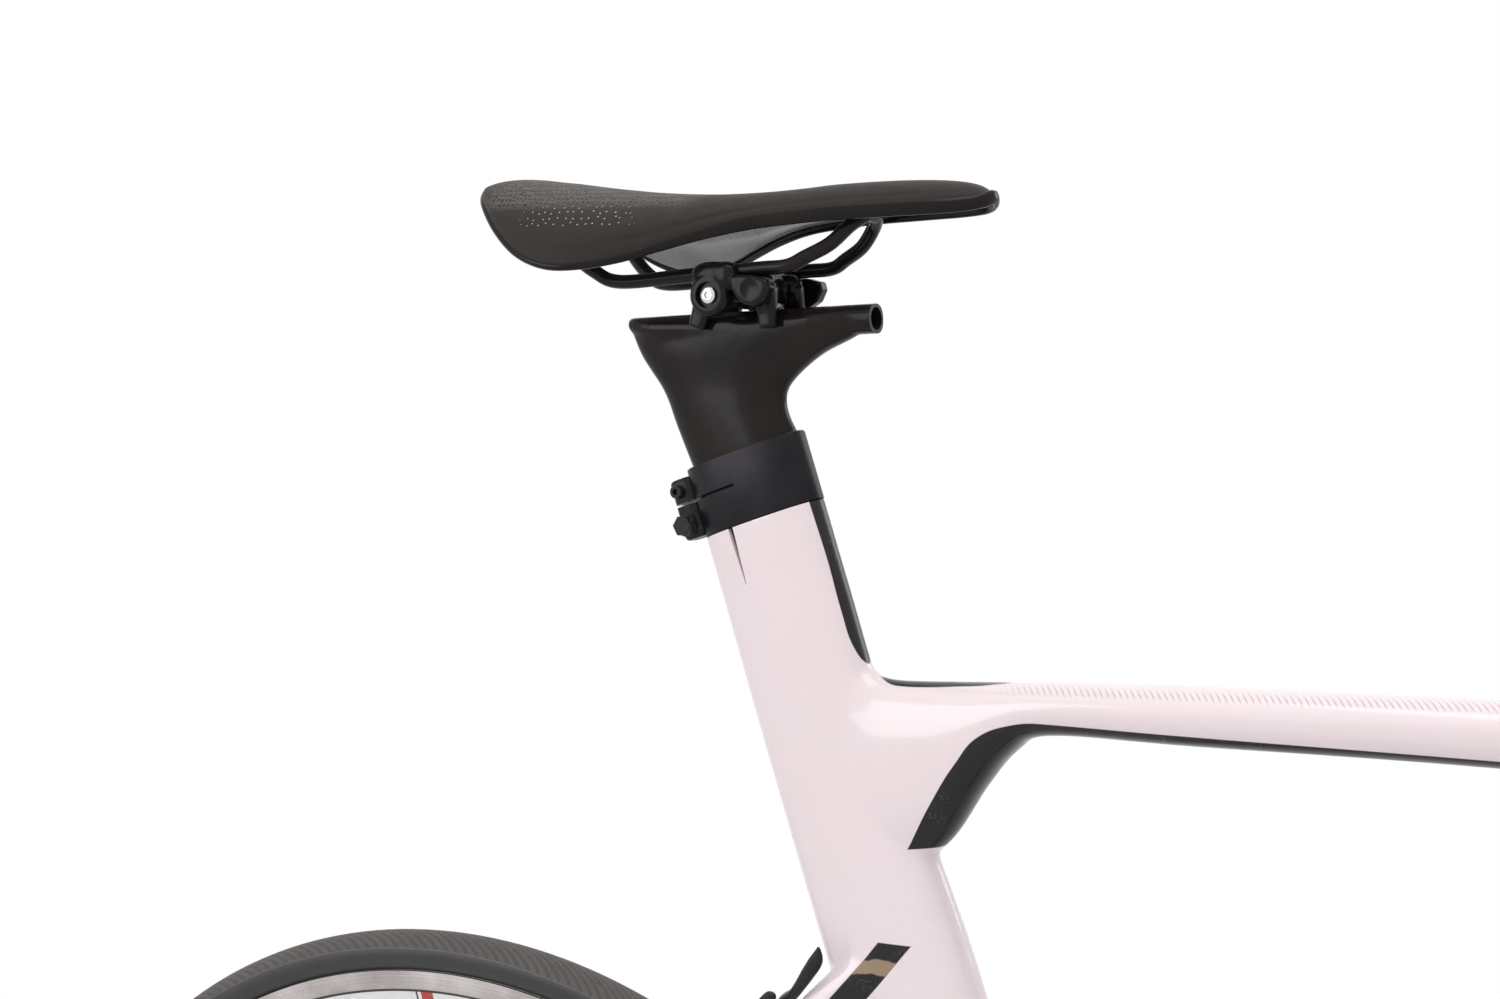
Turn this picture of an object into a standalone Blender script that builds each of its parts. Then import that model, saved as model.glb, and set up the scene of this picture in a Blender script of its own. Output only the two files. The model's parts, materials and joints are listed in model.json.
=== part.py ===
"""A road racing bicycle with rim brakes, an aero frame and an aero seatpost.

Units are metres. +X points forward, +Y to the rider's left, +Z up. The origin lies on the ground,
midway between the two axles. Each moving piece hangs from an empty on its joint's axis.
"""
import math

import bpy
from mathutils import Matrix, Vector

# Driving dimensions of the bicycle
CLEARANCE = 0.0003
WHEELBASE = 0.985
RIM_RADIUS = 0.3149
TYRE_HEIGHT = 0.0201
TYRE_RADIUS = RIM_RADIUS + TYRE_HEIGHT
TYRE_SECTION = 0.0116
STAY_ROOM = 0.070
CHAINSTAY_LENGTH = TYRE_RADIUS + STAY_ROOM
BOTTOM_BRACKET_DROP = 0.070
SEAT_LEAN = math.radians(18.7)
SEAT_TUBE_LENGTH = 0.7026
HEAD_ANGLE = math.radians(73.0)
FORK_OFFSET = 0.043
FORK_ROOM = 0.033
FORK_LENGTH = TYRE_RADIUS + FORK_ROOM
HEAD_TUBE_LENGTH = 0.174

# Axes and fixed points worked out from them
SIDE = Vector((0, 1, 0))
FORWARD = Vector((1, 0, 0))
UP = Vector((0, 0, 1))
REAR_AXLE = Vector((-WHEELBASE / 2, 0, TYRE_RADIUS))
FRONT_AXLE = Vector((WHEELBASE / 2, 0, TYRE_RADIUS))
CHAINSTAY_REACH = math.sqrt(CHAINSTAY_LENGTH**2 - BOTTOM_BRACKET_DROP**2)
BOTTOM_BRACKET = REAR_AXLE + Vector((CHAINSTAY_REACH, 0, -BOTTOM_BRACKET_DROP))
SEAT_UP = Vector((-math.sin(SEAT_LEAN), 0, math.cos(SEAT_LEAN)))
SEAT_FORE = Vector((math.cos(SEAT_LEAN), 0, math.sin(SEAT_LEAN)))
SEAT_TOP = BOTTOM_BRACKET + SEAT_UP * SEAT_TUBE_LENGTH
STEER_UP = Vector((-math.cos(HEAD_ANGLE), 0, math.sin(HEAD_ANGLE)))
STEER_FORE = Vector((math.sin(HEAD_ANGLE), 0, math.cos(HEAD_ANGLE)))
STEER_FOOT = FRONT_AXLE - STEER_FORE * FORK_OFFSET
HEAD_BOTTOM = STEER_FOOT + STEER_UP * FORK_LENGTH
HEAD_TOP = HEAD_BOTTOM + STEER_UP * HEAD_TUBE_LENGTH

# Wheels
WHEEL_STEPS = 32
RIM_HALF_WIDTH = 0.0098
BRAKE_TRACK_HEIGHT = 0.0096
RIM_DEPTH = 0.0270
AXLE_RADIUS = 0.0050
FRONT_SPOKES = 16
REAR_SPOKES = 20
SPOKE_HALF_WIDTH = 0.0011
SPOKE_HALF_THICKNESS = 0.0005
SPOKE_END_GAP = CLEARANCE + 0.0002
FRONT_DROPOUT_FACE = 0.0500
REAR_DROPOUT_FACE = 0.0650
DROPOUT_THICKNESS = 0.0060

# Drive train
CHAIN_PITCH = 0.0127
CHAIN_HALF_HEIGHT = 0.0024
CHAIN_HALF_WIDTH = 0.0027
CHAIN_PLANE = -0.0470
LARGE_TEETH = 50
SMALL_TEETH = 34
RING_THICKNESS = 0.0026
RING_SPACING = 0.0070
RING_INNER_RADIUS = 0.0490
SPROCKET_TEETH = (12, 13, 14, 15, 16, 17, 19, 21, 23, 25)
SPROCKET_SPACING = 0.00395
CHAIN_SPROCKET = 3
PULLEY_TEETH = 11
GUIDE_PULLEY = Vector((0.0140, 0, -0.0890))
CAGE_LENGTH = 0.0560
CAGE_ANGLE = math.radians(-65.0)
CRANK_LENGTH = 0.1725
SPINDLE_RADIUS = 0.0120
SHELL_HALF_WIDTH = 0.0340
SHELL_RADIUS = 0.0235
SHELL_BORE = 0.0173
CUP_WIDTH = 0.0075
ROUND_FIT_SIDES = 14
ROUND_FIT_FLAT = math.cos(math.pi / ROUND_FIT_SIDES)

# Seat tube, band, seatpost and saddle
POST_CHORD = 0.0605
POST_THICKNESS = 0.0200
POST_INSERTION = 0.1000
POST_BORE_DEPTH = 0.1500
SEAT_WALL = 0.0010
BAND_WALL = 0.0016
BAND_HEIGHT = 0.0350
BAND_UPPER_HEIGHT = 0.0165
RAIL_RADIUS = 0.0035
RAIL_SPACING = 0.0440
CLAMP_HALF_LENGTH = 0.0210
SADDLE_SHELL_THICKNESS = 0.0022

# Steering, handlebar and controls
STEERER_RADIUS = 0.0143
BEARING_RADIUS = 0.0206
BEARING_HEIGHT = 0.0070
SPACER_HEIGHT = 0.0150
SPACER_RADIUS = 0.0180
STEM_CLAMP_HEIGHT = 0.0400
STEM_LENGTH = 0.1000
STEM_RISE = math.radians(9.0)
BAR_CLAMP_RADIUS = 0.0159
BAR_RADIUS = 0.0119
BAR_HALF_WIDTH = 0.2050
BAR_REACH = 0.0800
BAR_DROP = 0.1280
TAPE_THICKNESS = 0.0026

FINISHES = {}


def clear_scene():
    """Start from an empty scene."""
    for old in list(bpy.data.objects):
        bpy.data.objects.remove(old)


def finish(name, colour, roughness, metallic=0.0):
    """A plain material, made once and shared by its name."""
    if name not in FINISHES:
        material = bpy.data.materials.new(name)
        material.use_nodes = True
        shader = material.node_tree.nodes["Principled BSDF"]
        shader.inputs["Base Color"].default_value = (*colour, 1.0)
        shader.inputs["Roughness"].default_value = roughness
        shader.inputs["Metallic"].default_value = metallic
        material.diffuse_color = (*colour, 1.0)
        FINISHES[name] = material
    return FINISHES[name]


def gloss_white():
    return finish("gloss_white_paint", (0.88, 0.84, 0.84), 0.18)


def gloss_black():
    return finish("gloss_black", (0.015, 0.015, 0.017), 0.15)


def matte_black():
    return finish("matte_black", (0.02, 0.02, 0.022), 0.45)


def silver():
    return finish("silver_aluminium", (0.75, 0.75, 0.76), 0.28, 1.0)


def steel():
    return finish("brushed_steel", (0.60, 0.60, 0.61), 0.30, 1.0)


def rubber():
    return finish("black_rubber", (0.03, 0.03, 0.032), 0.75)


# Shapes: each is a pair of corner points and faces, closed, with its faces outward


def oriented(points, faces):
    """Turn the faces outward: the volume they enclose has to come out positive."""
    volume = 0.0
    for face in faces:
        first = points[face[0]]
        for second, third in zip(face[1:], face[2:]):
            volume += first.dot(points[second].cross(points[third]))
    if volume < 0:
        faces = [tuple(reversed(face)) for face in faces]
    return points, faces


def together(*shapes):
    """Several separate solids as one shape."""
    points = []
    faces = []
    for shape_points, shape_faces in shapes:
        start = len(points)
        points.extend(shape_points)
        faces.extend(tuple(start + corner for corner in face) for face in shape_faces)
    return points, faces


def moved(shape, matrix):
    """The shape carried by a matrix."""
    points, faces = shape
    return oriented([matrix @ point for point in points], faces)


def mirrored(shape):
    """The shape on the other side of the bicycle."""
    return moved(shape, Matrix.Diagonal((1, -1, 1, 1)))


def loft(rings, closed=False):
    """A skin over rings that have the same number of points."""
    count = len(rings[0])
    points = [Vector(point) for ring in rings for point in ring]
    faces = []
    spans = len(rings) if closed else len(rings) - 1
    for span in range(spans):
        here = span * count
        there = (span + 1) % len(rings) * count
        for corner in range(count):
            following = (corner + 1) % count
            faces.append((here + corner, here + following, there + following, there + corner))
    if not closed:
        faces.append(tuple(reversed(range(count))))
        faces.append(tuple(range(len(points) - count, len(points))))
    return oriented(points, faces)


def oval(centre, across, along, half_across, half_along, count, power=1.0):
    """A ring of points; a power under 1 squares its corners."""
    ring = []
    for step in range(count):
        angle = 2 * math.pi * step / count
        cosine = math.copysign(abs(math.cos(angle)) ** power, math.cos(angle))
        sine = math.copysign(abs(math.sin(angle)) ** power, math.sin(angle))
        ring.append(centre + across * half_across * cosine + along * half_along * sine)
    return ring


def square_frame(axis):
    """Two directions square to the axis and to each other."""
    across = axis.cross(UP if abs(axis.z) < 0.9 else FORWARD).normalized()
    return across, axis.cross(across).normalized()


def rod(start, end, radius, sides=16, end_radius=None):
    """A round bar between two points, straight or tapered."""
    axis = (end - start).normalized()
    across, along = square_frame(axis)
    last = radius if end_radius is None else end_radius
    return loft([
        oval(start, across, along, radius, radius, sides),
        oval(end, across, along, last, last, sides),
    ])


def turned(outline, centre, axis=SIDE, steps=24):
    """A ring turned round an axis from a closed outline of (radius, place along the axis)."""
    across, along = square_frame(axis)
    rings = []
    for step in range(steps):
        angle = 2 * math.pi * step / steps
        outward = across * math.cos(angle) + along * math.sin(angle)
        rings.append([centre + outward * radius + axis * place for radius, place in outline])
    return loft(rings, closed=True)


def stacked(outline, centre, axis=SIDE, steps=24):
    """A solid turned piece with flat ends, from (radius, place along the axis)."""
    across, along = square_frame(axis)
    return loft([
        oval(centre + axis * place, across, along, radius, radius, steps)
        for radius, place in outline
    ])


def box(low, high):
    """A block between two opposite corners."""
    corners = [(low[0], low[1]), (high[0], low[1]), (high[0], high[1]), (low[0], high[1])]
    return loft([[Vector((x, y, z)) for x, y in corners] for z in (low[2], high[2])])


def prism(outline, low, high):
    """A plate from an outline of (x, z) in the bicycle's middle plane, between two places in y."""
    return loft([[Vector((x, y, z)) for x, z in outline] for y in (low, high)])


def thinned(path, degrees=8.0):
    """The path without the points where it turns by less than an angle."""
    kept = [path[0]]
    for point, following in zip(path[1:], path[2:]):
        before = (point - kept[-1]).normalized()
        if before.angle((following - point).normalized()) > math.radians(degrees):
            kept.append(point)
    return [*kept, path[-1]]


def smooth_path(knots, spans):
    """Points on a smooth curve through the knots."""
    knots = [Vector(knot) for knot in knots]
    padded = [knots[0] * 2 - knots[1], *knots, knots[-1] * 2 - knots[-2]]
    path = []
    for index in range(1, len(padded) - 2):
        before, start, end, after = padded[index - 1:index + 3]
        for step in range(spans):
            t = step / spans
            path.append(0.5 * (
                2 * start + (end - before) * t
                + (2 * before - 5 * start + 4 * end - after) * t**2
                + (3 * start - before - 3 * end + after) * t**3
            ))
    path.append(knots[-1])
    return path


def path_frames(path, side=None):
    """A direction, an across and an along vector at each point of a path."""
    frames = []
    across = side
    for index, point in enumerate(path):
        before = path[max(index - 1, 0)]
        after = path[min(index + 1, len(path) - 1)]
        direction = (after - before).normalized()
        if across is None:
            across = square_frame(direction)[0]
        base = side if side is not None else across
        along = direction.cross(base).normalized()
        across = along.cross(direction).normalized()
        frames.append((point, across, along))
    return frames


def sweep(path, sizes, sides=12, side=None, power=1.0):
    """A bar along a path; sizes gives half its width and half its depth at each point."""
    rings = []
    for (point, across, along), (wide, deep) in zip(path_frames(path, side), sizes):
        rings.append(oval(point, across, along, wide, deep, sides, power))
    return loft(rings)


def round_sweep(path, radius, sides=8):
    """A round bar of one radius along a path."""
    return sweep(path, [(radius, radius)] * len(path), sides)


def tube_rings(frames, radii, extra, sides):
    """Rings round the frames of a path, larger than its radii by an extra."""
    return [oval(point, across, along, radius + extra, radius + extra, sides)
            for (point, across, along), radius in zip(frames, radii)]


def sleeve(frames, radii, thickness, sides):
    """A tube with an open bore round a bar, from the frames and radii of that bar."""
    outer = tube_rings(frames, radii, thickness, sides)
    inner = tube_rings(frames, radii, CLEARANCE, sides)
    return loft(outer + inner[::-1], closed=True)


def steady(start, end, steps):
    """Evenly spaced pairs of sizes from one pair to another."""
    return [
        tuple(a + (b - a) * step / (steps - 1) for a, b in zip(start, end))
        for step in range(steps)
    ]


def loose_object(shape):
    """A throwaway object that holds a shape."""
    mesh = bpy.data.meshes.new("work")
    mesh.from_pydata([tuple(point) for point in shape[0]], [], shape[1])
    made = bpy.data.objects.new("work", mesh)
    made.hide_render = True
    made.display_type = "WIRE"
    bpy.context.scene.collection.objects.link(made)
    return made


def merged(shapes, cuts=()):
    """One solid: the shapes joined, with the cuts taken away."""
    work = loose_object(shapes[0])
    tools = []
    steps = [(shape, "UNION") for shape in shapes[1:]] + [(cut, "DIFFERENCE") for cut in cuts]
    for shape, operation in steps:
        tool = loose_object(shape)
        tools.append(tool)
        modifier = work.modifiers.new("join", "BOOLEAN")
        modifier.operation = operation
        modifier.object = tool
        modifier.solver = "EXACT"
    graph = bpy.context.evaluated_depsgraph_get()
    mesh = bpy.data.meshes.new_from_object(work.evaluated_get(graph))
    points = [vertex.co.copy() for vertex in mesh.vertices]
    faces = [tuple(polygon.vertices) for polygon in mesh.polygons]
    for used in (work, *tools):
        bpy.data.objects.remove(used)
    return points, faces


def carrier(name, place, parent=None):
    """An empty on a joint's axis, which carries the pieces that move with it."""
    empty = bpy.data.objects.new(name, None)
    empty.empty_display_size = 0.03
    bpy.context.scene.collection.objects.link(empty)
    empty["place"] = place
    empty.location = place
    if parent is not None:
        empty.parent = parent
        empty.location = place - Vector(parent["place"])
    return empty


def piece(name, shape, material, held_by, crease=35.0):
    """One named sub-part, with its origin on the axis of what carries it."""
    origin = Vector(held_by["place"])
    mesh = bpy.data.meshes.new(name)
    mesh.from_pydata([tuple(point - origin) for point in shape[0]], [], shape[1])
    mesh.materials.append(material)
    mesh.shade_smooth()
    mesh.set_sharp_from_angle(angle=math.radians(crease))
    made = bpy.data.objects.new(name, mesh)
    bpy.context.scene.collection.objects.link(made)
    made.parent = held_by
    return made


# The frame


def seat_ring(down, rearward, forward, half_width, count=16):
    """A ring square to the seat tube, at a distance down from its top."""
    centre = SEAT_TOP - SEAT_UP * down + SEAT_FORE * (forward - rearward) / 2
    return oval(centre, SEAT_FORE, SIDE, (forward + rearward) / 2, half_width, count, 0.8)


def post_ring(down, spare=0.0):
    """The seatpost's straight section, grown by a margin all round."""
    half_chord = POST_CHORD / 2 + spare
    return seat_ring(down, half_chord, half_chord, POST_THICKNESS / 2 + spare)


LEDGE_MARGIN = CLEARANCE + SEAT_WALL
BAND_BORE_MARGIN = LEDGE_MARGIN + CLEARANCE
BAND_OUTER_MARGIN = BAND_BORE_MARGIN + BAND_WALL
FRAME_TOP_DOWN = BAND_UPPER_HEIGHT + CLEARANCE
LEDGE_DOWN = BAND_HEIGHT + CLEARANCE


def seat_tube():
    """The aero seat tube, narrow where the rear tyre runs close behind it."""
    flush = POST_CHORD / 2 + BAND_OUTER_MARGIN
    flush_width = POST_THICKNESS / 2 + BAND_OUTER_MARGIN
    stations = (
        (0.080, flush, flush, flush_width),
        (0.150, flush, 0.034, 0.0140),
        (0.270, 0.0320, 0.0422, 0.0160),
        (0.370, 0.0275, 0.0375, 0.0170),
        (0.450, 0.0160, 0.0320, 0.0170),
        (0.530, 0.0125, 0.0272, 0.0173),
        (0.620, 0.0240, 0.0250, 0.0190),
        (SEAT_TUBE_LENGTH, 0.0200, 0.0200, 0.0200),
    )
    rings = [
        post_ring(FRAME_TOP_DOWN, LEDGE_MARGIN),
        post_ring(LEDGE_DOWN, LEDGE_MARGIN),
        seat_ring(LEDGE_DOWN, flush, flush, flush_width),
    ]
    rings += [seat_ring(*station) for station in stations]
    return loft(rings)


def top_tube():
    """The top tube, flared into the seat tube above and in a long gusset below."""
    stations = (
        (0.0515, -0.0625, -0.1955, 0.0110),
        (0.0587, -0.0803, -0.1950, 0.0120),
        (0.0641, -0.0945, -0.1935, 0.0130),
        (0.0712, -0.1037, -0.1915, 0.0138),
        (0.0820, -0.1073, -0.1895, 0.0144),
        (0.1103, -0.1065, -0.1842, 0.0154),
        (0.1294, -0.1055, -0.1564, 0.0161),
        (0.1450, -0.1048, -0.1375, 0.0165),
        (0.1650, -0.1037, -0.1277, 0.0171),
        (0.2355, -0.1005, -0.1270, 0.0180),
        (0.3665, -0.0975, -0.1255, 0.0185),
    )
    rings = []
    for ahead, top, bottom, half_width in stations:
        centre = SEAT_TOP + Vector((ahead, 0, (top + bottom) / 2))
        rings.append(oval(centre, SIDE, UP, half_width, (top - bottom) / 2, 16, 0.8))
    head_stations = ((-0.100, -0.0040, -0.0380, 0.0195), (0.004, -0.0020, -0.0480, 0.0205))
    for ahead, top, bottom, half_width in head_stations:
        centre = HEAD_TOP + Vector((ahead, 0, (top + bottom) / 2))
        rings.append(oval(centre, SIDE, UP, half_width, (top - bottom) / 2, 16, 0.8))
    return loft(rings)


HEAD_RADIUS = 0.0242


def running_bore(radius):
    """The corner radius of a many-sided bore whose flats clear a round piece as it turns."""
    return (radius + CLEARANCE) / ROUND_FIT_FLAT


def head_tube():
    """The head tube round the steerer and its two bearings."""
    outline = ((HEAD_RADIUS, 0), (0.0230, 0.070), (HEAD_RADIUS, HEAD_TUBE_LENGTH))
    return stacked(outline, HEAD_BOTTOM, STEER_UP, 18)


DOWN_TUBE_ROOM = 0.0060


def beyond_front_tyre(point, depth):
    """The point, or one further from the front axle if the tyre needs that room."""
    away = point - FRONT_AXLE
    needed = TYRE_RADIUS + DOWN_TUBE_ROOM + depth
    return FRONT_AXLE + away * max(1.0, needed / away.length)


def down_tube():
    """The down tube: slim at the head, where the fork's crown turns below it, then deep."""
    start = HEAD_BOTTOM + STEER_UP * 0.0480
    stations = (
        (0.00, 0.0185, 0.0200), (0.20, 0.0200, 0.0245), (0.45, 0.0215, 0.0295),
        (0.85, 0.0270, 0.0270), (0.97, 0.0300, 0.0210),
    )
    path = [beyond_front_tyre(start.lerp(BOTTOM_BRACKET, share), deep)
            for share, _, deep in stations]
    return sweep(path, [(wide, deep) for _, wide, deep in stations], 12, SIDE, 0.85)


def right_chainstay():
    """The chainstay between the chainrings and the rear tyre."""
    stations = (
        (0.965, 0.0200, 0.0110, 0.0170),
        (0.770, 0.0298, 0.0068, 0.0150),
        (0.500, 0.0475, 0.0062, 0.0110),
        (0.250, 0.0590, 0.0052, 0.0095),
        (0.020, 0.0680, 0.0027, 0.0095),
    )
    along = BOTTOM_BRACKET - REAR_AXLE
    path = [REAR_AXLE + along * share - SIDE * out for share, out, _, _ in stations]
    return sweep(path, [(wide, deep) for _, _, wide, deep in stations], 8, SIDE)


BRAKE_ROOM = 0.0275
BRAKE_REACH = TYRE_RADIUS + BRAKE_ROOM


def right_seatstay():
    """The bladed seatstay from the side of the seat tube; along and up are shares of the brake's reach."""
    stations = (
        (0.6897, 0.0090, 0.9545, 0.0080, 0.0150),
        (0.6207, 0.0165, 0.8910, 0.0072, 0.0135),
        (0.5600, 0.0265, 0.8083, 0.0060, 0.0120),
        (0.4138, 0.0400, 0.5959, 0.0054, 0.0105),
        (0.2207, 0.0535, 0.3255, 0.0048, 0.0092),
        (0.0110, 0.0680, 0.0221, 0.0027, 0.0085),
    )
    path = [REAR_AXLE + Vector((along * BRAKE_REACH, -out, up * BRAKE_REACH))
            for along, out, up, _, _ in stations]
    return sweep(path, [(wide, deep) for _, _, _, wide, deep in stations], 8, SIDE)


REAR_BRAKE_RADIAL = Vector((0.564, 0, 0.826)).normalized()
FRONT_BRAKE_RADIAL = (HEAD_BOTTOM - STEER_UP * 0.012 - FRONT_AXLE).normalized()
REAR_BRAKE_OUTWARD = Vector((-REAR_BRAKE_RADIAL.z, 0, REAR_BRAKE_RADIAL.x))
FRONT_BRAKE_OUTWARD = Vector((FRONT_BRAKE_RADIAL.z, 0, -FRONT_BRAKE_RADIAL.x))
BRIDGE = REAR_AXLE + REAR_BRAKE_RADIAL * BRAKE_REACH
BRAKE_STUD_RADIUS = 0.0030
BRAKE_STUD_LENGTH = 0.0190
REAR_ARM_STANDOFF = 0.0125
FRONT_ARM_STANDOFF = 0.0270


def brake_bridge():
    """The bridge between the seatstays that carries the rear brake."""
    path = [BRIDGE + SIDE * place for place in (-0.0270, 0.0270)]
    return sweep(path, [(0.0085, 0.0065)] * 2, 8, REAR_BRAKE_RADIAL)


def brake_stud(axle, radial, outward, standoff):
    """The bolt that the two arms of a brake turn on."""
    start = axle + radial * BRAKE_REACH
    return rod(start, start + outward * (standoff + BRAKE_STUD_LENGTH), BRAKE_STUD_RADIUS, 8)


def right_dropout():
    """The plate that holds the rear axle, with its slot open below."""
    return stacked(((0.0160, -REAR_DROPOUT_FACE - DROPOUT_THICKNESS), (0.0160, -REAR_DROPOUT_FACE)),
                   REAR_AXLE, SIDE, 12)


HANGER_BOLT = REAR_AXLE + Vector((0.0120, 0, -0.0290))


def derailleur_hanger():
    """The tab below the right dropout that the rear derailleur bolts to."""
    outline = ((0.0120, -0.0085), (0.0165, 0.0020), (0.0080, 0.0140), (0.0015, -0.0340),
               (0.0070, -0.0385), (0.0160, -0.0380), (0.0205, -0.0300))
    corners = sorted(outline, key=lambda corner: math.atan2(corner[1] + 0.013, corner[0] - 0.011))
    places = [(REAR_AXLE.x + x, REAR_AXLE.z + z) for x, z in corners]
    return prism(places, -REAR_DROPOUT_FACE - DROPOUT_THICKNESS, -REAR_DROPOUT_FACE)


def axle_slot(axle, face, drop):
    """The cut that the axle slides up into."""
    slot = AXLE_RADIUS + CLEARANCE
    low = axle + Vector((-slot, face, -drop))
    high = axle + Vector((slot, face + 2 * DROPOUT_THICKNESS, 0))
    tip = stacked(((slot, face), (slot, face + 2 * DROPOUT_THICKNESS)), axle, SIDE, 8)
    return low, high, tip


def slot_cuts(axle, faces, drop):
    """Cuts for both dropouts of a wheel."""
    cuts = []
    for face in faces:
        low, high, tip = axle_slot(axle, face, drop)
        cuts += [box(low, high), tip]
    return cuts


def clamp_slit():
    """The narrow pointed slit that lets the top of the seat tube close on the post."""
    slit_rearward = 0.0130
    slit_end_down = 0.0640
    rings = []
    for down, half_width in ((0.010, 0.0016), (0.040, 0.0013), (slit_end_down, 0.0002)):
        centre = SEAT_TOP - SEAT_UP * down - SEAT_FORE * slit_rearward
        rings.append([
            centre + SEAT_FORE * across + SIDE * out
            for across, out in ((-half_width, -0.03), (half_width, -0.03),
                                (half_width, 0.03), (-half_width, 0.03))
        ])
    return loft(rings)


def frame():
    """The frame in one piece, with its bores for the post, the steerer and the crank axle."""
    left_dropout_face = REAR_DROPOUT_FACE - DROPOUT_THICKNESS / 2
    right_dropout_face = -REAR_DROPOUT_FACE - 1.5 * DROPOUT_THICKNESS
    steerer_bore = STEERER_RADIUS + 0.0025
    pocket = BEARING_RADIUS + CLEARANCE
    pocket_height = BEARING_HEIGHT + CLEARANCE
    solids = [
        seat_tube(), top_tube(), down_tube(), head_tube(),
        stacked(((SHELL_RADIUS, -SHELL_HALF_WIDTH), (SHELL_RADIUS, SHELL_HALF_WIDTH)),
                BOTTOM_BRACKET, SIDE, 18),
        right_chainstay(), mirrored(right_chainstay()),
        right_seatstay(), mirrored(right_seatstay()),
        brake_bridge(), right_dropout(), mirrored(right_dropout()), derailleur_hanger(),
        brake_stud(REAR_AXLE, REAR_BRAKE_RADIAL, REAR_BRAKE_OUTWARD, REAR_ARM_STANDOFF),
    ]
    cuts = [
        loft([post_ring(down, CLEARANCE) for down in (-0.005, POST_BORE_DEPTH)]),
        clamp_slit(),
        rod(HEAD_BOTTOM - STEER_UP * 0.02, HEAD_TOP + STEER_UP * 0.02, steerer_bore,
            ROUND_FIT_SIDES),
        rod(HEAD_BOTTOM - STEER_UP * 0.02, HEAD_BOTTOM + STEER_UP * pocket_height, pocket,
            ROUND_FIT_SIDES),
        rod(HEAD_TOP - STEER_UP * pocket_height, HEAD_TOP + STEER_UP * 0.02, pocket,
            ROUND_FIT_SIDES),
        rod(BOTTOM_BRACKET - SIDE * 0.05, BOTTOM_BRACKET + SIDE * 0.05, SHELL_BORE,
            ROUND_FIT_SIDES),
        *slot_cuts(REAR_AXLE, (left_dropout_face, right_dropout_face), 0.030),
    ]
    return merged(solids, cuts)


BAND_LUG_HALF_WIDTH = 0.0075
BAND_LUG_HALF_DEPTH = 0.0070
BAND_BOLT_RADIUS = 0.0020
UPPER_BOLT_DOWN = 0.0090
LOWER_BOLT_DOWN = 0.0265


def band_bolt_centre(down):
    """The middle of a cross bolt, behind the post."""
    return SEAT_TOP - SEAT_UP * down - SEAT_FORE * (POST_CHORD / 2 + BAND_LUG_HALF_DEPTH + 0.0015)


def seat_clamp_band():
    """The band that closes the seat tube: its upper part grips the post, its lower part the tube."""
    outer = loft([post_ring(down, BAND_OUTER_MARGIN) for down in (0.0, BAND_HEIGHT)])
    lug_path = [SEAT_TOP - SEAT_UP * down - SEAT_FORE * (POST_CHORD / 2 + BAND_LUG_HALF_DEPTH)
                for down in (0.0030, BAND_HEIGHT - 0.0015)]
    lug = sweep(lug_path, [(BAND_LUG_HALF_WIDTH, BAND_LUG_HALF_DEPTH)] * 2, 8, SIDE, 0.6)
    upper_bore = loft([post_ring(down, CLEARANCE) for down in (-0.005, BAND_HEIGHT + 0.005)])
    lower_bore = loft([post_ring(down, BAND_BORE_MARGIN)
                       for down in (BAND_UPPER_HEIGHT, BAND_HEIGHT + 0.005)])
    split_half = 0.0008
    split = loft([[
        SEAT_TOP - SEAT_UP * down - SEAT_FORE * back + SIDE * out
        for back, out in ((POST_CHORD / 2 - 0.006, -split_half), (POST_CHORD / 2 + 0.02, -split_half),
                          (POST_CHORD / 2 + 0.02, split_half), (POST_CHORD / 2 - 0.006, split_half))
    ] for down in (-0.005, BAND_HEIGHT + 0.005)])
    ring_slot = loft([[
        SEAT_TOP - SEAT_UP * down - SEAT_FORE * back + SIDE * out
        for back, out in ((0.004, -0.03), (0.05, -0.03), (0.05, 0.03), (0.004, 0.03))
    ] for down in (BAND_UPPER_HEIGHT - 0.0014, BAND_UPPER_HEIGHT)])
    bolt_holes = [
        rod(centre - SIDE * 0.03, centre + SIDE * 0.03, BAND_BOLT_RADIUS + CLEARANCE, 12)
        for centre in (band_bolt_centre(UPPER_BOLT_DOWN), band_bolt_centre(LOWER_BOLT_DOWN))
    ]
    return merged([outer, lug], [upper_bore, lower_bore, split, ring_slot, *bolt_holes])


def band_bolt(down, head_radius, head_length):
    """A cross bolt of the band, with its head on the right and its nut on the left."""
    seat = BAND_LUG_HALF_WIDTH + CLEARANCE
    outline = ((head_radius, -seat - head_length), (head_radius, -seat), (BAND_BOLT_RADIUS, -seat),
               (BAND_BOLT_RADIUS, seat), (head_radius, seat), (head_radius, seat + head_length))
    return stacked(outline, band_bolt_centre(down), SIDE, 8)


# Bearings and fixed pieces of the frame


def bearing(centre, height):
    """A headset bearing in its pocket, round the steerer."""
    inner = running_bore(STEERER_RADIUS)
    outline = ((inner, 0), (BEARING_RADIUS, 0), (BEARING_RADIUS, height), (inner, height))
    return turned(outline, centre, STEER_UP, ROUND_FIT_SIDES)


def bottom_bracket_cup():
    """The right bearing cup: a sleeve in the shell and a flange against its face."""
    bore = running_bore(SPINDLE_RADIUS)
    sleeve_radius = SHELL_BORE - CLEARANCE
    face = -SHELL_HALF_WIDTH - CLEARANCE
    outline = ((bore, face - CUP_WIDTH), (0.0205, face - CUP_WIDTH), (0.0205, face),
               (sleeve_radius, face), (sleeve_radius, face + 0.014), (bore, face + 0.014))
    return turned(outline, BOTTOM_BRACKET, SIDE, ROUND_FIT_SIDES)


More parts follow.
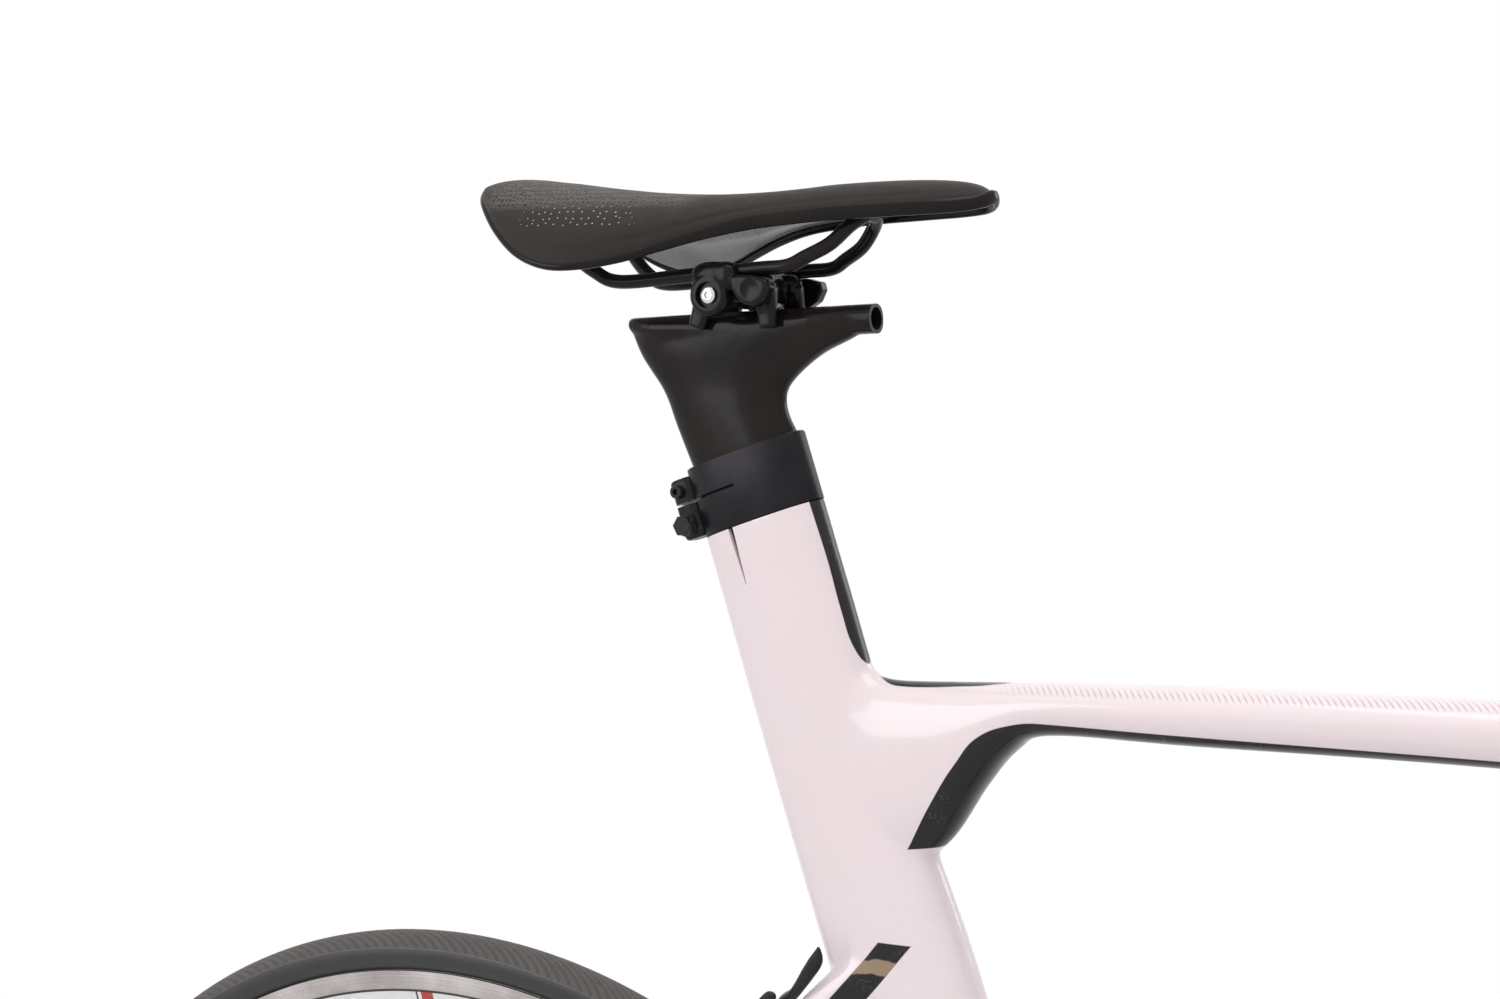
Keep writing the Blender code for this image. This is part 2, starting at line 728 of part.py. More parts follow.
CAM_RADIUS = 0.0062
CAM_HALF_HEIGHT = 0.0070
CAM_SEAT_LENGTH = 0.0060
CAM_SEAT_RADIUS = 0.0070


def axle_and_skewer(centre, face, thickness):
    """A wheel's axle, lying in both dropouts, with the skewer's nut on the right."""
    outside = face + thickness
    outline = ((0.0030, -outside - 0.0150), (0.0072, -outside - 0.0130),
               (0.0080, -outside - CLEARANCE), (AXLE_RADIUS, -outside - CLEARANCE),
               (AXLE_RADIUS, outside + CLEARANCE), (CAM_SEAT_RADIUS, outside + CLEARANCE),
               (CAM_SEAT_RADIUS, outside + CAM_SEAT_LENGTH))
    return stacked(outline, centre, SIDE, 8)


def release_cam(centre, face):
    """The middle of a quick-release cam, on the left."""
    return centre + SIDE * (face + DROPOUT_THICKNESS + CAM_SEAT_LENGTH + CLEARANCE + CAM_RADIUS)


def release_lever(centre, face):
    """The quick-release cam on its upright pin and its curved lever, closed beside the dropout."""
    cam = release_cam(centre, face)
    drum = stacked(((CAM_RADIUS, -CAM_HALF_HEIGHT), (CAM_RADIUS, CAM_HALF_HEIGHT)), cam, UP, 14)
    knots = [cam, cam + Vector((-0.0200, 0.0030, 0.0)), cam + Vector((-0.0400, 0.0015, 0.0)),
             cam + Vector((-0.0560, 0.0030, 0.0))]
    blade = sweep(knots, steady((0.0030, 0.0060), (0.0022, 0.0052), len(knots)), 8, SIDE)
    return merged([drum, blade])


# Seatpost and saddle


def seat_point(ahead, up, out=0.0):
    """A point ahead of and above the top of the seat tube."""
    return SEAT_TOP + Vector((ahead, out, up))


def spanned_ring(rearmost, foremost, half_width, power=0.8, count=16):
    """A ring between its rearmost and foremost points, given as (ahead, up)."""
    rear_end = seat_point(*rearmost)
    fore_end = seat_point(*foremost)
    along = (fore_end - rear_end) / 2
    return oval((rear_end + fore_end) / 2, along.normalized(), SIDE, along.length, half_width,
                count, power)


POST_HEAD_SLOPE = 0.0443
POST_HEAD_UP = 0.0681
HORN_REACH = 0.0722
HORN_RADIUS = 0.0073
HORN_BORE_RADIUS = 0.0055
HORN_BORE_DEPTH = 0.0380


def post_head_top(ahead):
    """The height of the head's flat top."""
    return POST_HEAD_UP + POST_HEAD_SLOPE * ahead


def seatpost():
    """The aero seatpost: a straight wing section, a waist, and a long head with a forward horn."""
    half_width = POST_THICKNESS / 2
    stations = (
        ((-0.0385, 0.0119), (0.0243, 0.0176), half_width),
        ((-0.0430, 0.0230), (0.0227, 0.0249), half_width),
        ((-0.0475, 0.0310), (0.0243, 0.0310), half_width),
        ((-0.0535, 0.0385), (0.0310, 0.0382), half_width + 0.0002),
        ((-0.0595, 0.0465), (0.0440, 0.0476), half_width + 0.0004),
        ((-0.0640, 0.0555), (0.0620, 0.0560), half_width + 0.0006),
    )
    rings = [post_ring(POST_INSERTION), post_ring(0.0)]
    rings += [spanned_ring(*station) for station in stations]
    blade = loft(rings)
    head_stations = (
        (-0.0665, 0.0048, 0.0030),
        (-0.0620, 0.0085, 0.0075),
        (-0.0450, 0.0130, 0.0104),
        (0.0000, 0.0150, 0.0110),
        (0.0400, 0.0150, 0.0100),
        (0.0600, 2 * HORN_RADIUS, HORN_RADIUS + 0.0003),
        (HORN_REACH, 2 * HORN_RADIUS, HORN_RADIUS),
    )
    head_rings = []
    for ahead, height, wide in head_stations:
        centre = seat_point(ahead, post_head_top(ahead) - height / 2)
        head_rings.append(oval(centre, SIDE, UP, wide, height / 2, 16, 0.85))
    horn_end = seat_point(HORN_REACH + 0.005, post_head_top(HORN_REACH + 0.005) - HORN_RADIUS)
    horn_start = seat_point(HORN_REACH - HORN_BORE_DEPTH,
                            post_head_top(HORN_REACH - HORN_BORE_DEPTH) - HORN_RADIUS)
    return merged([blade, loft(head_rings)], [rod(horn_start, horn_end, HORN_BORE_RADIUS, 12)])


RAIL_SLOPE = 0.066
RAIL_UP = 0.0864
CLAMP_AHEAD = 0.0065
TILT_AXIS = seat_point(CLAMP_AHEAD, RAIL_UP + RAIL_SLOPE * CLAMP_AHEAD)
RAIL_DIRECTION = Vector((1, 0, RAIL_SLOPE)).normalized()
CLAMP_BOLT_AHEAD = -0.0032
CLAMP_BOLT_UP = 0.0753
CLAMP_BOLT_RADIUS = 0.0028
CRADLE_HALF_LENGTH = 0.0260


def rail_height(ahead):
    """The height of the straight part of the rails."""
    return RAIL_UP + RAIL_SLOPE * ahead


def rail_groove(side):
    """The cut that a rail lies in."""
    middle = TILT_AXIS + SIDE * side * RAIL_SPACING / 2
    return rod(middle - RAIL_DIRECTION * 0.06, middle + RAIL_DIRECTION * 0.06,
               RAIL_RADIUS + CLEARANCE, 16)


def clamp_bolt_hole():
    """The hole across the clamp for its bolt."""
    centre = seat_point(CLAMP_BOLT_AHEAD, CLAMP_BOLT_UP)
    return rod(centre - SIDE * 0.05, centre + SIDE * 0.05, CLAMP_BOLT_RADIUS + CLEARANCE, 12)


def saddle_cradle():
    """The cradle between the rails, which rocks on the post's head and straddles it with four feet."""
    rocker_radius = TILT_AXIS.z - SEAT_TOP.z - post_head_top(CLAMP_AHEAD) - CLEARANCE
    outline = []
    for step in range(7):
        angle = math.radians(-38 + 76 * step / 6)
        outline.append((TILT_AXIS.x + rocker_radius * math.sin(angle),
                        TILT_AXIS.z - rocker_radius * math.cos(angle)))
    shoulder = outline[0][1]
    middle = SEAT_TOP.x
    top = TILT_AXIS.z + RAIL_RADIUS + 0.0010
    outline += [(middle + CRADLE_HALF_LENGTH, shoulder), (middle + CRADLE_HALF_LENGTH, top),
                (middle - CRADLE_HALF_LENGTH, top - 0.003), (middle - CRADLE_HALF_LENGTH, shoulder)]
    reach = RAIL_SPACING / 2 - CLEARANCE / 2
    solids = [prism(outline, -reach, reach)]
    for ahead in (-0.0210, 0.0190):
        for side in (-1, 1):
            inner, outer = 0.0117, 0.0165
            low = seat_point(ahead - 0.005, 0.0600, min(side * inner, side * outer))
            high = seat_point(ahead + 0.005, 0.0760, max(side * inner, side * outer))
            solids.append(box(low, high))
    return merged(solids, [rail_groove(-1), rail_groove(1), clamp_bolt_hole()])


def right_rail_cheek():
    """The outer cheek that presses the right rail against the cradle."""
    inner = -RAIL_SPACING / 2 - CLEARANCE / 2
    start = TILT_AXIS - RAIL_DIRECTION * CLAMP_HALF_LENGTH
    end = TILT_AXIS + RAIL_DIRECTION * CLAMP_HALF_LENGTH
    outline = [(start.x, start.z - 0.0060), (end.x, end.z - 0.0060), (end.x, end.z + 0.0040),
               (end.x - 0.003, end.z + 0.0060), (start.x + 0.003, start.z + 0.0060),
               (start.x, start.z + 0.0040)]
    bar = prism(outline, inner - 0.0070, inner)
    boss_centre = seat_point(CLAMP_BOLT_AHEAD, CLAMP_BOLT_UP)
    boss = stacked(((0.0082, inner - 0.0085), (0.0090, inner - 0.0070), (0.0090, inner)),
                   boss_centre, SIDE, 12)
    lobe = stacked(((0.0080, inner - 0.0075), (0.0100, inner - 0.0050), (0.0100, inner)),
                   seat_point(0.0165, 0.0765), SIDE, 12)
    return merged([bar, boss, lobe], [rail_groove(-1), clamp_bolt_hole()])


def rail_clamp_bolt():
    """The cross bolt of the rail clamp."""
    seat = RAIL_SPACING / 2 + 0.0085 + 2 * CLEARANCE
    outline = ((0.0040, -seat - 0.0030), (0.0050, -seat - 0.0020), (0.0050, -seat),
               (CLAMP_BOLT_RADIUS, -seat), (CLAMP_BOLT_RADIUS, seat), (0.0050, seat),
               (0.0050, seat + 0.0030))
    return stacked(outline, seat_point(CLAMP_BOLT_AHEAD, CLAMP_BOLT_UP), SIDE, 10)


def saddle_rails():
    """The two rails, one bent rod that turns round inside the nose."""
    out = RAIL_SPACING / 2
    rear_bend = [
        seat_point(-0.0935, 0.1105, 0.0315), seat_point(-0.0850, 0.0990, 0.0288),
        seat_point(-0.0720, 0.0870, 0.0245), seat_point(-0.0580, rail_height(-0.0580), out),
        seat_point(-0.0480, rail_height(-0.0480), out),
    ]
    front_bend = [
        seat_point(0.0360, rail_height(0.0360), out), seat_point(0.0450, 0.0930, 0.0200),
        seat_point(0.0560, 0.0990, 0.0165), seat_point(0.0645, 0.1078, 0.0120),
        seat_point(0.0690, 0.1124, 0.0055),
    ]
    half = thinned(smooth_path(rear_bend, 3)) + thinned(smooth_path(front_bend, 3))
    other = [Vector((point.x, -point.y, point.z)) for point in reversed(half)]
    return round_sweep(half + other, RAIL_RADIUS, 8)


SADDLE_STATIONS = (
    (-0.1315, 0.0300, 0.1325, 0.1285),
    (-0.1285, 0.0400, 0.1340, 0.1245),
    (-0.1215, 0.0490, 0.1355, 0.1185),
    (-0.1085, 0.0575, 0.1350, 0.1065),
    (-0.0925, 0.0635, 0.1331, 0.0950),
    (-0.0745, 0.0660, 0.1309, 0.0885),
    (-0.0565, 0.0640, 0.1289, 0.0880),
    (-0.0385, 0.0570, 0.1271, 0.0910),
    (-0.0205, 0.0480, 0.1260, 0.0965),
    (-0.0025, 0.0395, 0.1255, 0.1018),
    (0.0175, 0.0320, 0.1259, 0.1063),
    (0.0375, 0.0275, 0.1268, 0.1087),
    (0.0615, 0.0240, 0.1280, 0.1105),
    (0.0875, 0.0210, 0.1285, 0.1115),
    (0.1095, 0.0180, 0.1278, 0.1123),
    (0.1235, 0.0140, 0.1258, 0.1133),
    (0.1305, 0.0080, 0.1220, 0.1150),
    (0.1328, 0.0030, 0.1190, 0.1165),
)
SADDLE_RIM = 0.0027
SHELL_FIT = 0.0015
SADDLE_PADDING = 0.0130
SADDLE_EDGE = 0.0032
CHANNEL_DEPTH = 0.0035
CHANNEL_HALF_WIDTH = 0.0110


def saddle_arch(half_width, top, edge, dip, ahead, count=9):
    """Half-round points from the left edge over the crown to the right edge."""
    points = []
    for step in range(count):
        angle = math.pi * step / (count - 1) - math.pi / 2
        out = -half_width * math.copysign(abs(math.sin(angle)) ** 0.85, math.sin(angle))
        lift = max(math.cos(angle), 0.0) ** 0.85
        channel = dip * math.exp(-((out / CHANNEL_HALF_WIDTH) ** 2))
        points.append(seat_point(ahead, edge + (top - edge) * lift - channel, out))
    return points


def channel_dip(ahead):
    """The depth of the relief channel, which fades out towards the tail and the nose."""
    return CHANNEL_DEPTH * max(0.0, 1 - ((ahead + 0.035) / 0.085) ** 2)


def saddle_cover():
    """The padded cover: a crowned wave, wide behind and slim in front, hollow below."""
    rings = []
    for ahead, half_width, top, edge in SADDLE_STATIONS:
        lower = edge + SADDLE_RIM
        height = max(top - lower, 0.0012)
        padding = min(SADDLE_PADDING, 0.6 * height)
        thin = min(SADDLE_EDGE, 0.5 * half_width)
        outer = saddle_arch(half_width, lower + height, lower, channel_dip(ahead), ahead)
        inner = saddle_arch(half_width - thin, lower + height - padding, lower, 0.0, ahead)
        rings.append(outer + inner[::-1])
    return loft(rings)


def saddle_shell():
    """The moulded shell under the cover, with the glossy rim that shows below its edge."""
    rings = []
    for ahead, half_width, top, edge in SADDLE_STATIONS[1:-2]:
        lower = edge + SADDLE_RIM
        height = max(top - lower, 0.0012)
        padding = min(SADDLE_PADDING, 0.6 * height)
        thin = min(SADDLE_EDGE, 0.5 * half_width)
        wall = min(SADDLE_SHELL_THICKNESS, 0.3 * (height - padding))
        inside = half_width - thin - SHELL_FIT
        crown = lower + height - padding - SHELL_FIT
        outer = saddle_arch(inside, crown, lower, 0.0, ahead, 7)
        inner = saddle_arch(inside - wall, crown - wall, lower, 0.0, ahead, 7)
        rim_top = lower - CLEARANCE
        left = [seat_point(ahead, edge, half_width - 0.0006),
                seat_point(ahead, rim_top, half_width - 0.0002)]
        right = [seat_point(ahead, rim_top, -half_width + 0.0002),
                 seat_point(ahead, edge, -half_width + 0.0006)]
        below_right = [seat_point(ahead, edge, -inside + wall)]
        below_left = [seat_point(ahead, edge, inside - wall)]
        outer[0].z = SEAT_TOP.z + rim_top
        outer[-1].z = SEAT_TOP.z + rim_top
        rings.append(left + outer + right + below_right + inner[::-1] + below_left)
    return loft(rings)


# Wheels


def tyre(centre):
    """A tyre seated on its rim."""
    core = TYRE_RADIUS - TYRE_SECTION
    outline = []
    for degrees in (-135, -90, -45, 0, 45, 90, 135):
        angle = math.radians(degrees)
        outline.append((core + TYRE_SECTION * math.cos(angle), TYRE_SECTION * math.sin(angle)))
    return turned(outline, centre, SIDE, WHEEL_STEPS)


def rim(centre):
    """A rim with flat brake tracks, tapering towards the hub."""
    track = RIM_RADIUS - BRAKE_TRACK_HEIGHT
    inner = RIM_RADIUS - RIM_DEPTH
    outline = ((RIM_RADIUS, -RIM_HALF_WIDTH), (RIM_RADIUS, RIM_HALF_WIDTH),
               (track, RIM_HALF_WIDTH), (inner, 0.0030), (inner, -0.0030),
               (track, -RIM_HALF_WIDTH))
    return turned(outline, centre, SIDE, WHEEL_STEPS)


def rim_inside(angle):
    """The distance from the axle to the rim's many-sided inner face, at an angle."""
    side = 2 * math.pi / WHEEL_STEPS
    from_middle = (angle % side) - side / 2
    flat = (RIM_RADIUS - RIM_DEPTH) * math.cos(side / 2)
    return flat / math.cos(from_middle)


def spoke(centre, hub_radius, hub_out, hub_angle, rim_angle):
    """A flat spoke from a flange to the rim."""
    reach = rim_inside(rim_angle) - SPOKE_END_GAP
    start = centre + Vector((hub_radius * math.cos(hub_angle), hub_out,
                             hub_radius * math.sin(hub_angle)))
    end = centre + Vector((reach * math.cos(rim_angle), 0, reach * math.sin(rim_angle)))
    direction = (end - start).normalized()
    wide = direction.cross(SIDE).normalized()
    thin = direction.cross(wide).normalized()
    rings = []
    for point in (start, end):
        rings.append([
            point + wide * SPOKE_HALF_WIDTH * a + thin * SPOKE_HALF_THICKNESS * b
            for a, b in ((-1, -1), (1, -1), (1, 1), (-1, 1))
        ])
    return loft(rings)


def front_hub_and_spokes():
    """The front hub with radial spokes, laced to its two flanges in turn."""
    bore = AXLE_RADIUS + CLEARANCE
    end = FRONT_DROPOUT_FACE - CLEARANCE
    outline = ((bore, -end), (0.0080, -end), (0.0175, -0.0385),
               (0.0175, -0.0355), (0.0095, -0.0335), (0.0095, 0.0335), (0.0175, 0.0355),
               (0.0175, 0.0385), (0.0080, end), (bore, end))
    spokes = []
    for index in range(FRONT_SPOKES):
        angle = 2 * math.pi * index / FRONT_SPOKES
        flange = 0.0370 if index % 2 else -0.0370
        spokes.append(spoke(FRONT_AXLE, 0.0150, flange, angle, angle))
    return merged([turned(outline, FRONT_AXLE, SIDE, 12), *spokes])


def rear_hub_and_spokes():
    """The rear hub: crossed spokes beside the cassette and radial ones on the other side."""
    bore = AXLE_RADIUS + CLEARANCE
    end = REAR_DROPOUT_FACE - CLEARANCE
    outline = ((bore, -0.0200), (0.0150, -0.0200), (0.0260, -0.0195), (0.0260, -0.0165),
               (0.0130, -0.0140), (0.0130, 0.0330), (0.0220, 0.0350), (0.0220, 0.0375),
               (0.0080, end), (bore, end))
    spokes = []
    half = REAR_SPOKES // 2
    for index in range(half):
        angle = 2 * math.pi * index / half
        lean = math.radians(72.0) * (1 if index % 2 else -1)
        layer = -0.0170 if index % 2 else -0.0190
        spokes.append(spoke(REAR_AXLE, 0.0235, layer, angle, angle + lean))
        spokes.append(spoke(REAR_AXLE, 0.0195, 0.0362, angle + math.pi / half,
                            angle + math.pi / half))
    return merged([turned(outline, REAR_AXLE, SIDE, 12), *spokes])


# Cassette, cranks, chainrings and chain


def pitch_radius(teeth):
    """The radius that a chain's pins follow round a toothed wheel."""
    return CHAIN_PITCH / (2 * math.sin(math.pi / teeth))


ROOT_DEPTH = CHAIN_HALF_HEIGHT + 0.0004
SPROCKET_HALF = 0.00085


def cassette():
    """The freehub and its sprockets, stepped from large by the spokes to small by the dropout."""
    bore = AXLE_RADIUS + CLEARANCE
    outline = [(bore, -0.0203), (0.0170, -0.0203)]
    last = CHAIN_PLANE - SPROCKET_SPACING * (CHAIN_SPROCKET - len(SPROCKET_TEETH) + 1)
    outline.append((0.0170, last + SPROCKET_HALF))
    face = last + SPROCKET_HALF
    for index in reversed(range(len(SPROCKET_TEETH))):
        radius = pitch_radius(SPROCKET_TEETH[index]) - ROOT_DEPTH
        outer_face = CHAIN_PLANE - SPROCKET_SPACING * (CHAIN_SPROCKET - index) - SPROCKET_HALF
        outline += [(radius, face), (radius, outer_face)]
        face = outer_face
    end = -REAR_DROPOUT_FACE + CLEARANCE
    outline += [(0.0140, face), (0.0085, end), (bore, end)]
    return turned(outline, REAR_AXLE, SIDE, 13)


BOLT_CIRCLE = 0.0550
RING_BOLT_RADIUS = 0.0040
SPIDER_ARMS = 4
BOSS_FACE = SHELL_HALF_WIDTH + CUP_WIDTH + 2 * CLEARANCE
ARM_CENTRES = ((0.0, 0.0560), (0.050, 0.0575), (0.140, 0.0620), (CRANK_LENGTH, 0.0630))
ARM_SIZES = ((0.0055, 0.0150), (0.0058, 0.0135), (0.0055, 0.0108), (0.0055, 0.0100))
EYE_FACE = 0.0690
PEDAL_SPINDLE_RADIUS = 0.0045
PEDAL_SPINDLE_END = 0.1200
PEDAL_INNER_FACE = EYE_FACE + 2 * CLEARANCE
PEDAL_OUTER_FACE = 0.1300


def spider_angle(arm):
    """The angle of a spider arm."""
    return 2 * math.pi * (arm + 0.5) / SPIDER_ARMS


def crank_arm(forward, outward):
    """A crank arm with its boss, its eye and the pedal's spindle."""
    path = [BOTTOM_BRACKET + FORWARD * forward * along + SIDE * outward * out
            for along, out in ARM_CENTRES]
    eye = BOTTOM_BRACKET + FORWARD * forward * CRANK_LENGTH
    axis = SIDE * outward
    return [
        stacked(((0.0190, BOSS_FACE), (0.0190, 0.0570), (0.0160, 0.0620)),
                BOTTOM_BRACKET, axis, 16),
        sweep(path, ARM_SIZES, 8, SIDE, 0.8),
        stacked(((0.0125, 0.0570), (0.0125, EYE_FACE)), eye, axis, 14),
        rod(eye + axis * 0.060, eye + axis * PEDAL_SPINDLE_END, PEDAL_SPINDLE_RADIUS, 10),
    ]


def crank_right():
    """The right crank with its spider and the axle through the bottom bracket."""
    shapes = crank_arm(1, -1)
    shapes.append(rod(BOTTOM_BRACKET - SIDE * 0.050, BOTTOM_BRACKET + SIDE * 0.052,
                      SPINDLE_RADIUS, ROUND_FIT_SIDES))
    holes = []
    outer = CHAIN_PLANE + RING_THICKNESS / 2 + CLEARANCE
    for arm in range(SPIDER_ARMS):
        angle = spider_angle(arm)
        out = Vector((math.cos(angle), 0, math.sin(angle)))
        across = Vector((-out.z, 0, out.x))
        outline = []
        for reach, half in ((0.0120, 0.0110), (0.0400, 0.0070), (0.0600, 0.0065)):
            outline.append(out * reach + across * half)
            outline.insert(0, out * reach - across * half)
        places = [(BOTTOM_BRACKET.x + point.x, BOTTOM_BRACKET.z + point.z) for point in outline]
        shapes.append(prism(places, outer, -BOSS_FACE))
        bolt = BOTTOM_BRACKET + out * BOLT_CIRCLE
        holes.append(rod(bolt - SIDE * 0.036, bolt - SIDE * 0.052,
                         RING_BOLT_RADIUS + 2 * CLEARANCE, 8))
    return merged(shapes, holes)


def crank_left():
    """The left crank, clamped on the end of the axle."""
    bore = rod(BOTTOM_BRACKET, BOTTOM_BRACKET + SIDE * (0.052 + CLEARANCE),
               SPINDLE_RADIUS + CLEARANCE, ROUND_FIT_SIDES)
    return merged(crank_arm(-1, 1), [bore])


def chainrings():
    """The two chainrings, held together by their bolts."""
    shapes = []
    rings = ((LARGE_TEETH, CHAIN_PLANE), (SMALL_TEETH, CHAIN_PLANE + RING_SPACING))
    for teeth, plane in rings:
        outer = pitch_radius(teeth) - ROOT_DEPTH
        half = RING_THICKNESS / 2
        outline = ((RING_INNER_RADIUS, plane - half), (outer, plane - half),
                   (outer, plane + half), (RING_INNER_RADIUS, plane + half))
        shapes.append(turned(outline, BOTTOM_BRACKET, SIDE, 26))
    for arm in range(SPIDER_ARMS):
        angle = spider_angle(arm)
        bolt = BOTTOM_BRACKET + Vector((math.cos(angle), 0, math.sin(angle))) * BOLT_CIRCLE
        shapes.append(rod(bolt + SIDE * (CHAIN_PLANE - 0.0020), bolt + SIDE * (CHAIN_PLANE + 0.0090),
                          RING_BOLT_RADIUS, 6))
    return merged(shapes)


def pedal(forward, outward):
    """A pedal: a tube on its spindle and a platform."""
    eye = BOTTOM_BRACKET + FORWARD * forward * CRANK_LENGTH
    axis = SIDE * outward
    tube = stacked(((0.0085, PEDAL_INNER_FACE), (0.0100, PEDAL_INNER_FACE + 0.006),
                    (0.0100, PEDAL_OUTER_FACE)), eye, axis, 16)
    outline = []
    for along, up in ((-0.045, -0.003), (-0.030, -0.0070), (0.030, -0.0070), (0.046, -0.002),
                      (0.046, 0.004), (0.030, 0.0085), (-0.030, 0.0085), (-0.045, 0.004)):
        outline.append((eye.x + along, eye.z + up))
    faces = sorted((outward * (PEDAL_INNER_FACE + 0.010), outward * PEDAL_OUTER_FACE))
    bore = rod(eye, eye + axis * (PEDAL_SPINDLE_END + CLEARANCE),
               PEDAL_SPINDLE_RADIUS + CLEARANCE, 12)
    return merged([tube, prism(outline, *faces)], [bore])


def tension_offset():
    """Where the tension pulley sits from the guide pulley."""
    return Vector((math.cos(CAGE_ANGLE), 0, math.sin(CAGE_ANGLE))) * CAGE_LENGTH


GUIDE_CENTRE = REAR_AXLE + GUIDE_PULLEY
TENSION_CENTRE = GUIDE_CENTRE + tension_offset()


def chain_path(step_degrees):
    """Points of the chain's closed path: sprocket, chainring, tension pulley, guide pulley."""
    wheels = (
        (REAR_AXLE, pitch_radius(SPROCKET_TEETH[CHAIN_SPROCKET]), -1),
        (BOTTOM_BRACKET, pitch_radius(LARGE_TEETH), -1),
        (TENSION_CENTRE, pitch_radius(PULLEY_TEETH), -1),
        (GUIDE_CENTRE, pitch_radius(PULLEY_TEETH), 1),
    )
    normals = []
    for index, (centre, radius, turn) in enumerate(wheels):
        other, other_radius, other_turn = wheels[(index + 1) % len(wheels)]
        gap = other - centre
        lean = math.atan2(gap.z, gap.x)
        swing = math.asin((turn * radius - other_turn * other_radius) / math.hypot(gap.x, gap.z))
        normals.append(lean + swing - math.pi / 2)
    path = []
    for index, (centre, radius, turn) in enumerate(wheels):
        start = normals[index - 1]
        end = normals[index]
        wrap = (turn * (end - start)) % (2 * math.pi) * turn
        steps = max(1, math.ceil(abs(math.degrees(wrap)) / step_degrees[index]))
        for step in range(steps + 1):
            angle = start + wrap * step / steps
            outward = Vector((math.cos(angle), 0, math.sin(angle)))
            path.append(centre + outward * radius * turn)
    return path


def chain():
    """The chain as a closed band; its links bend round the wheels."""
    path = [point + SIDE * CHAIN_PLANE for point in chain_path((15, 7.5, 15, 15))]
    rings = []
    for index, point in enumerate(path):
        direction = (path[(index + 1) % len(path)] - path[index - 1]).normalized()
        outward = Vector((-direction.z, 0, direction.x)) * CHAIN_HALF_HEIGHT
        side = SIDE * CHAIN_HALF_WIDTH
        rings.append([point + outward - side, point + outward + side,
                      point - outward + side, point - outward - side])
    return loft(rings, closed=True)


# Derailleurs

LINK_NEAR = REAR_AXLE.x + 0.0215
LINK_FAR = REAR_AXLE.x + 0.0265
UPPER_PIVOT_Z = REAR_AXLE.z - 0.0370
LOWER_PIVOT_Z = REAR_AXLE.z - 0.0770
LINK_OUTER_Y = -0.0810
LINK_INNER_Y = -0.0730
LINK_LEAN = 0.0100
LINK_HALF_WIDTH = 0.0024
LINK_PIN_RADIUS = 0.0015
KNUCKLE_RADIUS = 0.0085


def link_pins(out, height):
    """The two hinge pins on a knuckle, which point forward."""
    pins = []
    for place in (LINK_OUTER_Y + out, LINK_INNER_Y + out):
        start = Vector((LINK_NEAR - 0.0020, place, height))
        pins.append(rod(start, Vector((LINK_FAR + 0.0010, place, height)), LINK_PIN_RADIUS, 8))
    return pins


def derailleur_upper_knuckle():
    """The body bolted to the hanger, with the two upper hinge pins."""
    face = REAR_DROPOUT_FACE + DROPOUT_THICKNESS + CLEARANCE
    block = box((REAR_AXLE.x + 0.0060, -0.0860, UPPER_PIVOT_Z - 0.0060),
                (LINK_NEAR - CLEARANCE, -face, UPPER_PIVOT_Z + 0.0060))
    barrel = stacked(((0.0095, -0.0870), (0.0100, -0.0850), (0.0100, -face)), HANGER_BOLT, SIDE, 16)
    return merged([barrel, block, *link_pins(0.0, UPPER_PIVOT_Z)])


def derailleur_link(out):
    """One of the two links of the rear derailleur's parallelogram."""
    top = Vector((0, out, UPPER_PIVOT_Z))
    bottom = Vector((0, out + LINK_LEAN, LOWER_PIVOT_Z))
    down = (bottom - top).normalized()
    lean = math.atan2(down.z, down.y)
    outline = []
    for centre, turn in ((top, math.pi), (bottom, 0.0)):
        for step in range(5):
            angle = lean + turn - math.pi / 2 + math.pi * step / 4
            outline.append(centre + Vector((0, math.cos(angle), math.sin(angle))) * LINK_HALF_WIDTH)
    rings = [[point + FORWARD * place for point in outline] for place in (LINK_NEAR, LINK_FAR)]
    holes = []
    for centre in (top, bottom):
        holes.append(rod(centre + FORWARD * (LINK_NEAR - 0.01), centre + FORWARD * (LINK_FAR + 0.01),
                         LINK_PIN_RADIUS + CLEARANCE, 8))
    return merged([loft(rings)], holes)


CAGE_PLATE_INNER = 0.0052
CAGE_PLATE_OUTER = 0.0064
PULLEY_AXLE_RADIUS = 0.0030
KNUCKLE_FACE = CHAIN_PLANE - CAGE_PLATE_OUTER - 0.0006


def derailleur_lower_knuckle():
    """The lower body, with the lower hinge pins and the bore for the cage's pivot."""
    barrel = stacked(((KNUCKLE_RADIUS, KNUCKLE_FACE - 0.0170), (KNUCKLE_RADIUS, KNUCKLE_FACE)),
                     GUIDE_CENTRE, SIDE, 16)
    block = box((REAR_AXLE.x + 0.0080, -0.0760, LOWER_PIVOT_Z - 0.0070),
                (LINK_NEAR - CLEARANCE, -0.0590, LOWER_PIVOT_Z + 0.0060))
    bore = rod(GUIDE_CENTRE + SIDE * (KNUCKLE_FACE - 0.0120), GUIDE_CENTRE + SIDE * KNUCKLE_FACE * 0.9,
               PULLEY_AXLE_RADIUS + CLEARANCE, 12)
    return merged([barrel, block, *link_pins(LINK_LEAN, LOWER_PIVOT_Z)], [bore])


def cage_outline(half_width):
    """A plate shape round the centres of the two pulleys."""
    along = tension_offset().normalized()
    lean = math.atan2(along.z, along.x)
    places = []
    for centre, turn in ((GUIDE_CENTRE, math.pi), (TENSION_CENTRE, 0.0)):
        for step in range(5):
            angle = lean + turn - math.pi / 2 + math.pi * step / 4
            places.append((centre.x + half_width * math.cos(angle),
                           centre.z + half_width * math.sin(angle)))
    return places


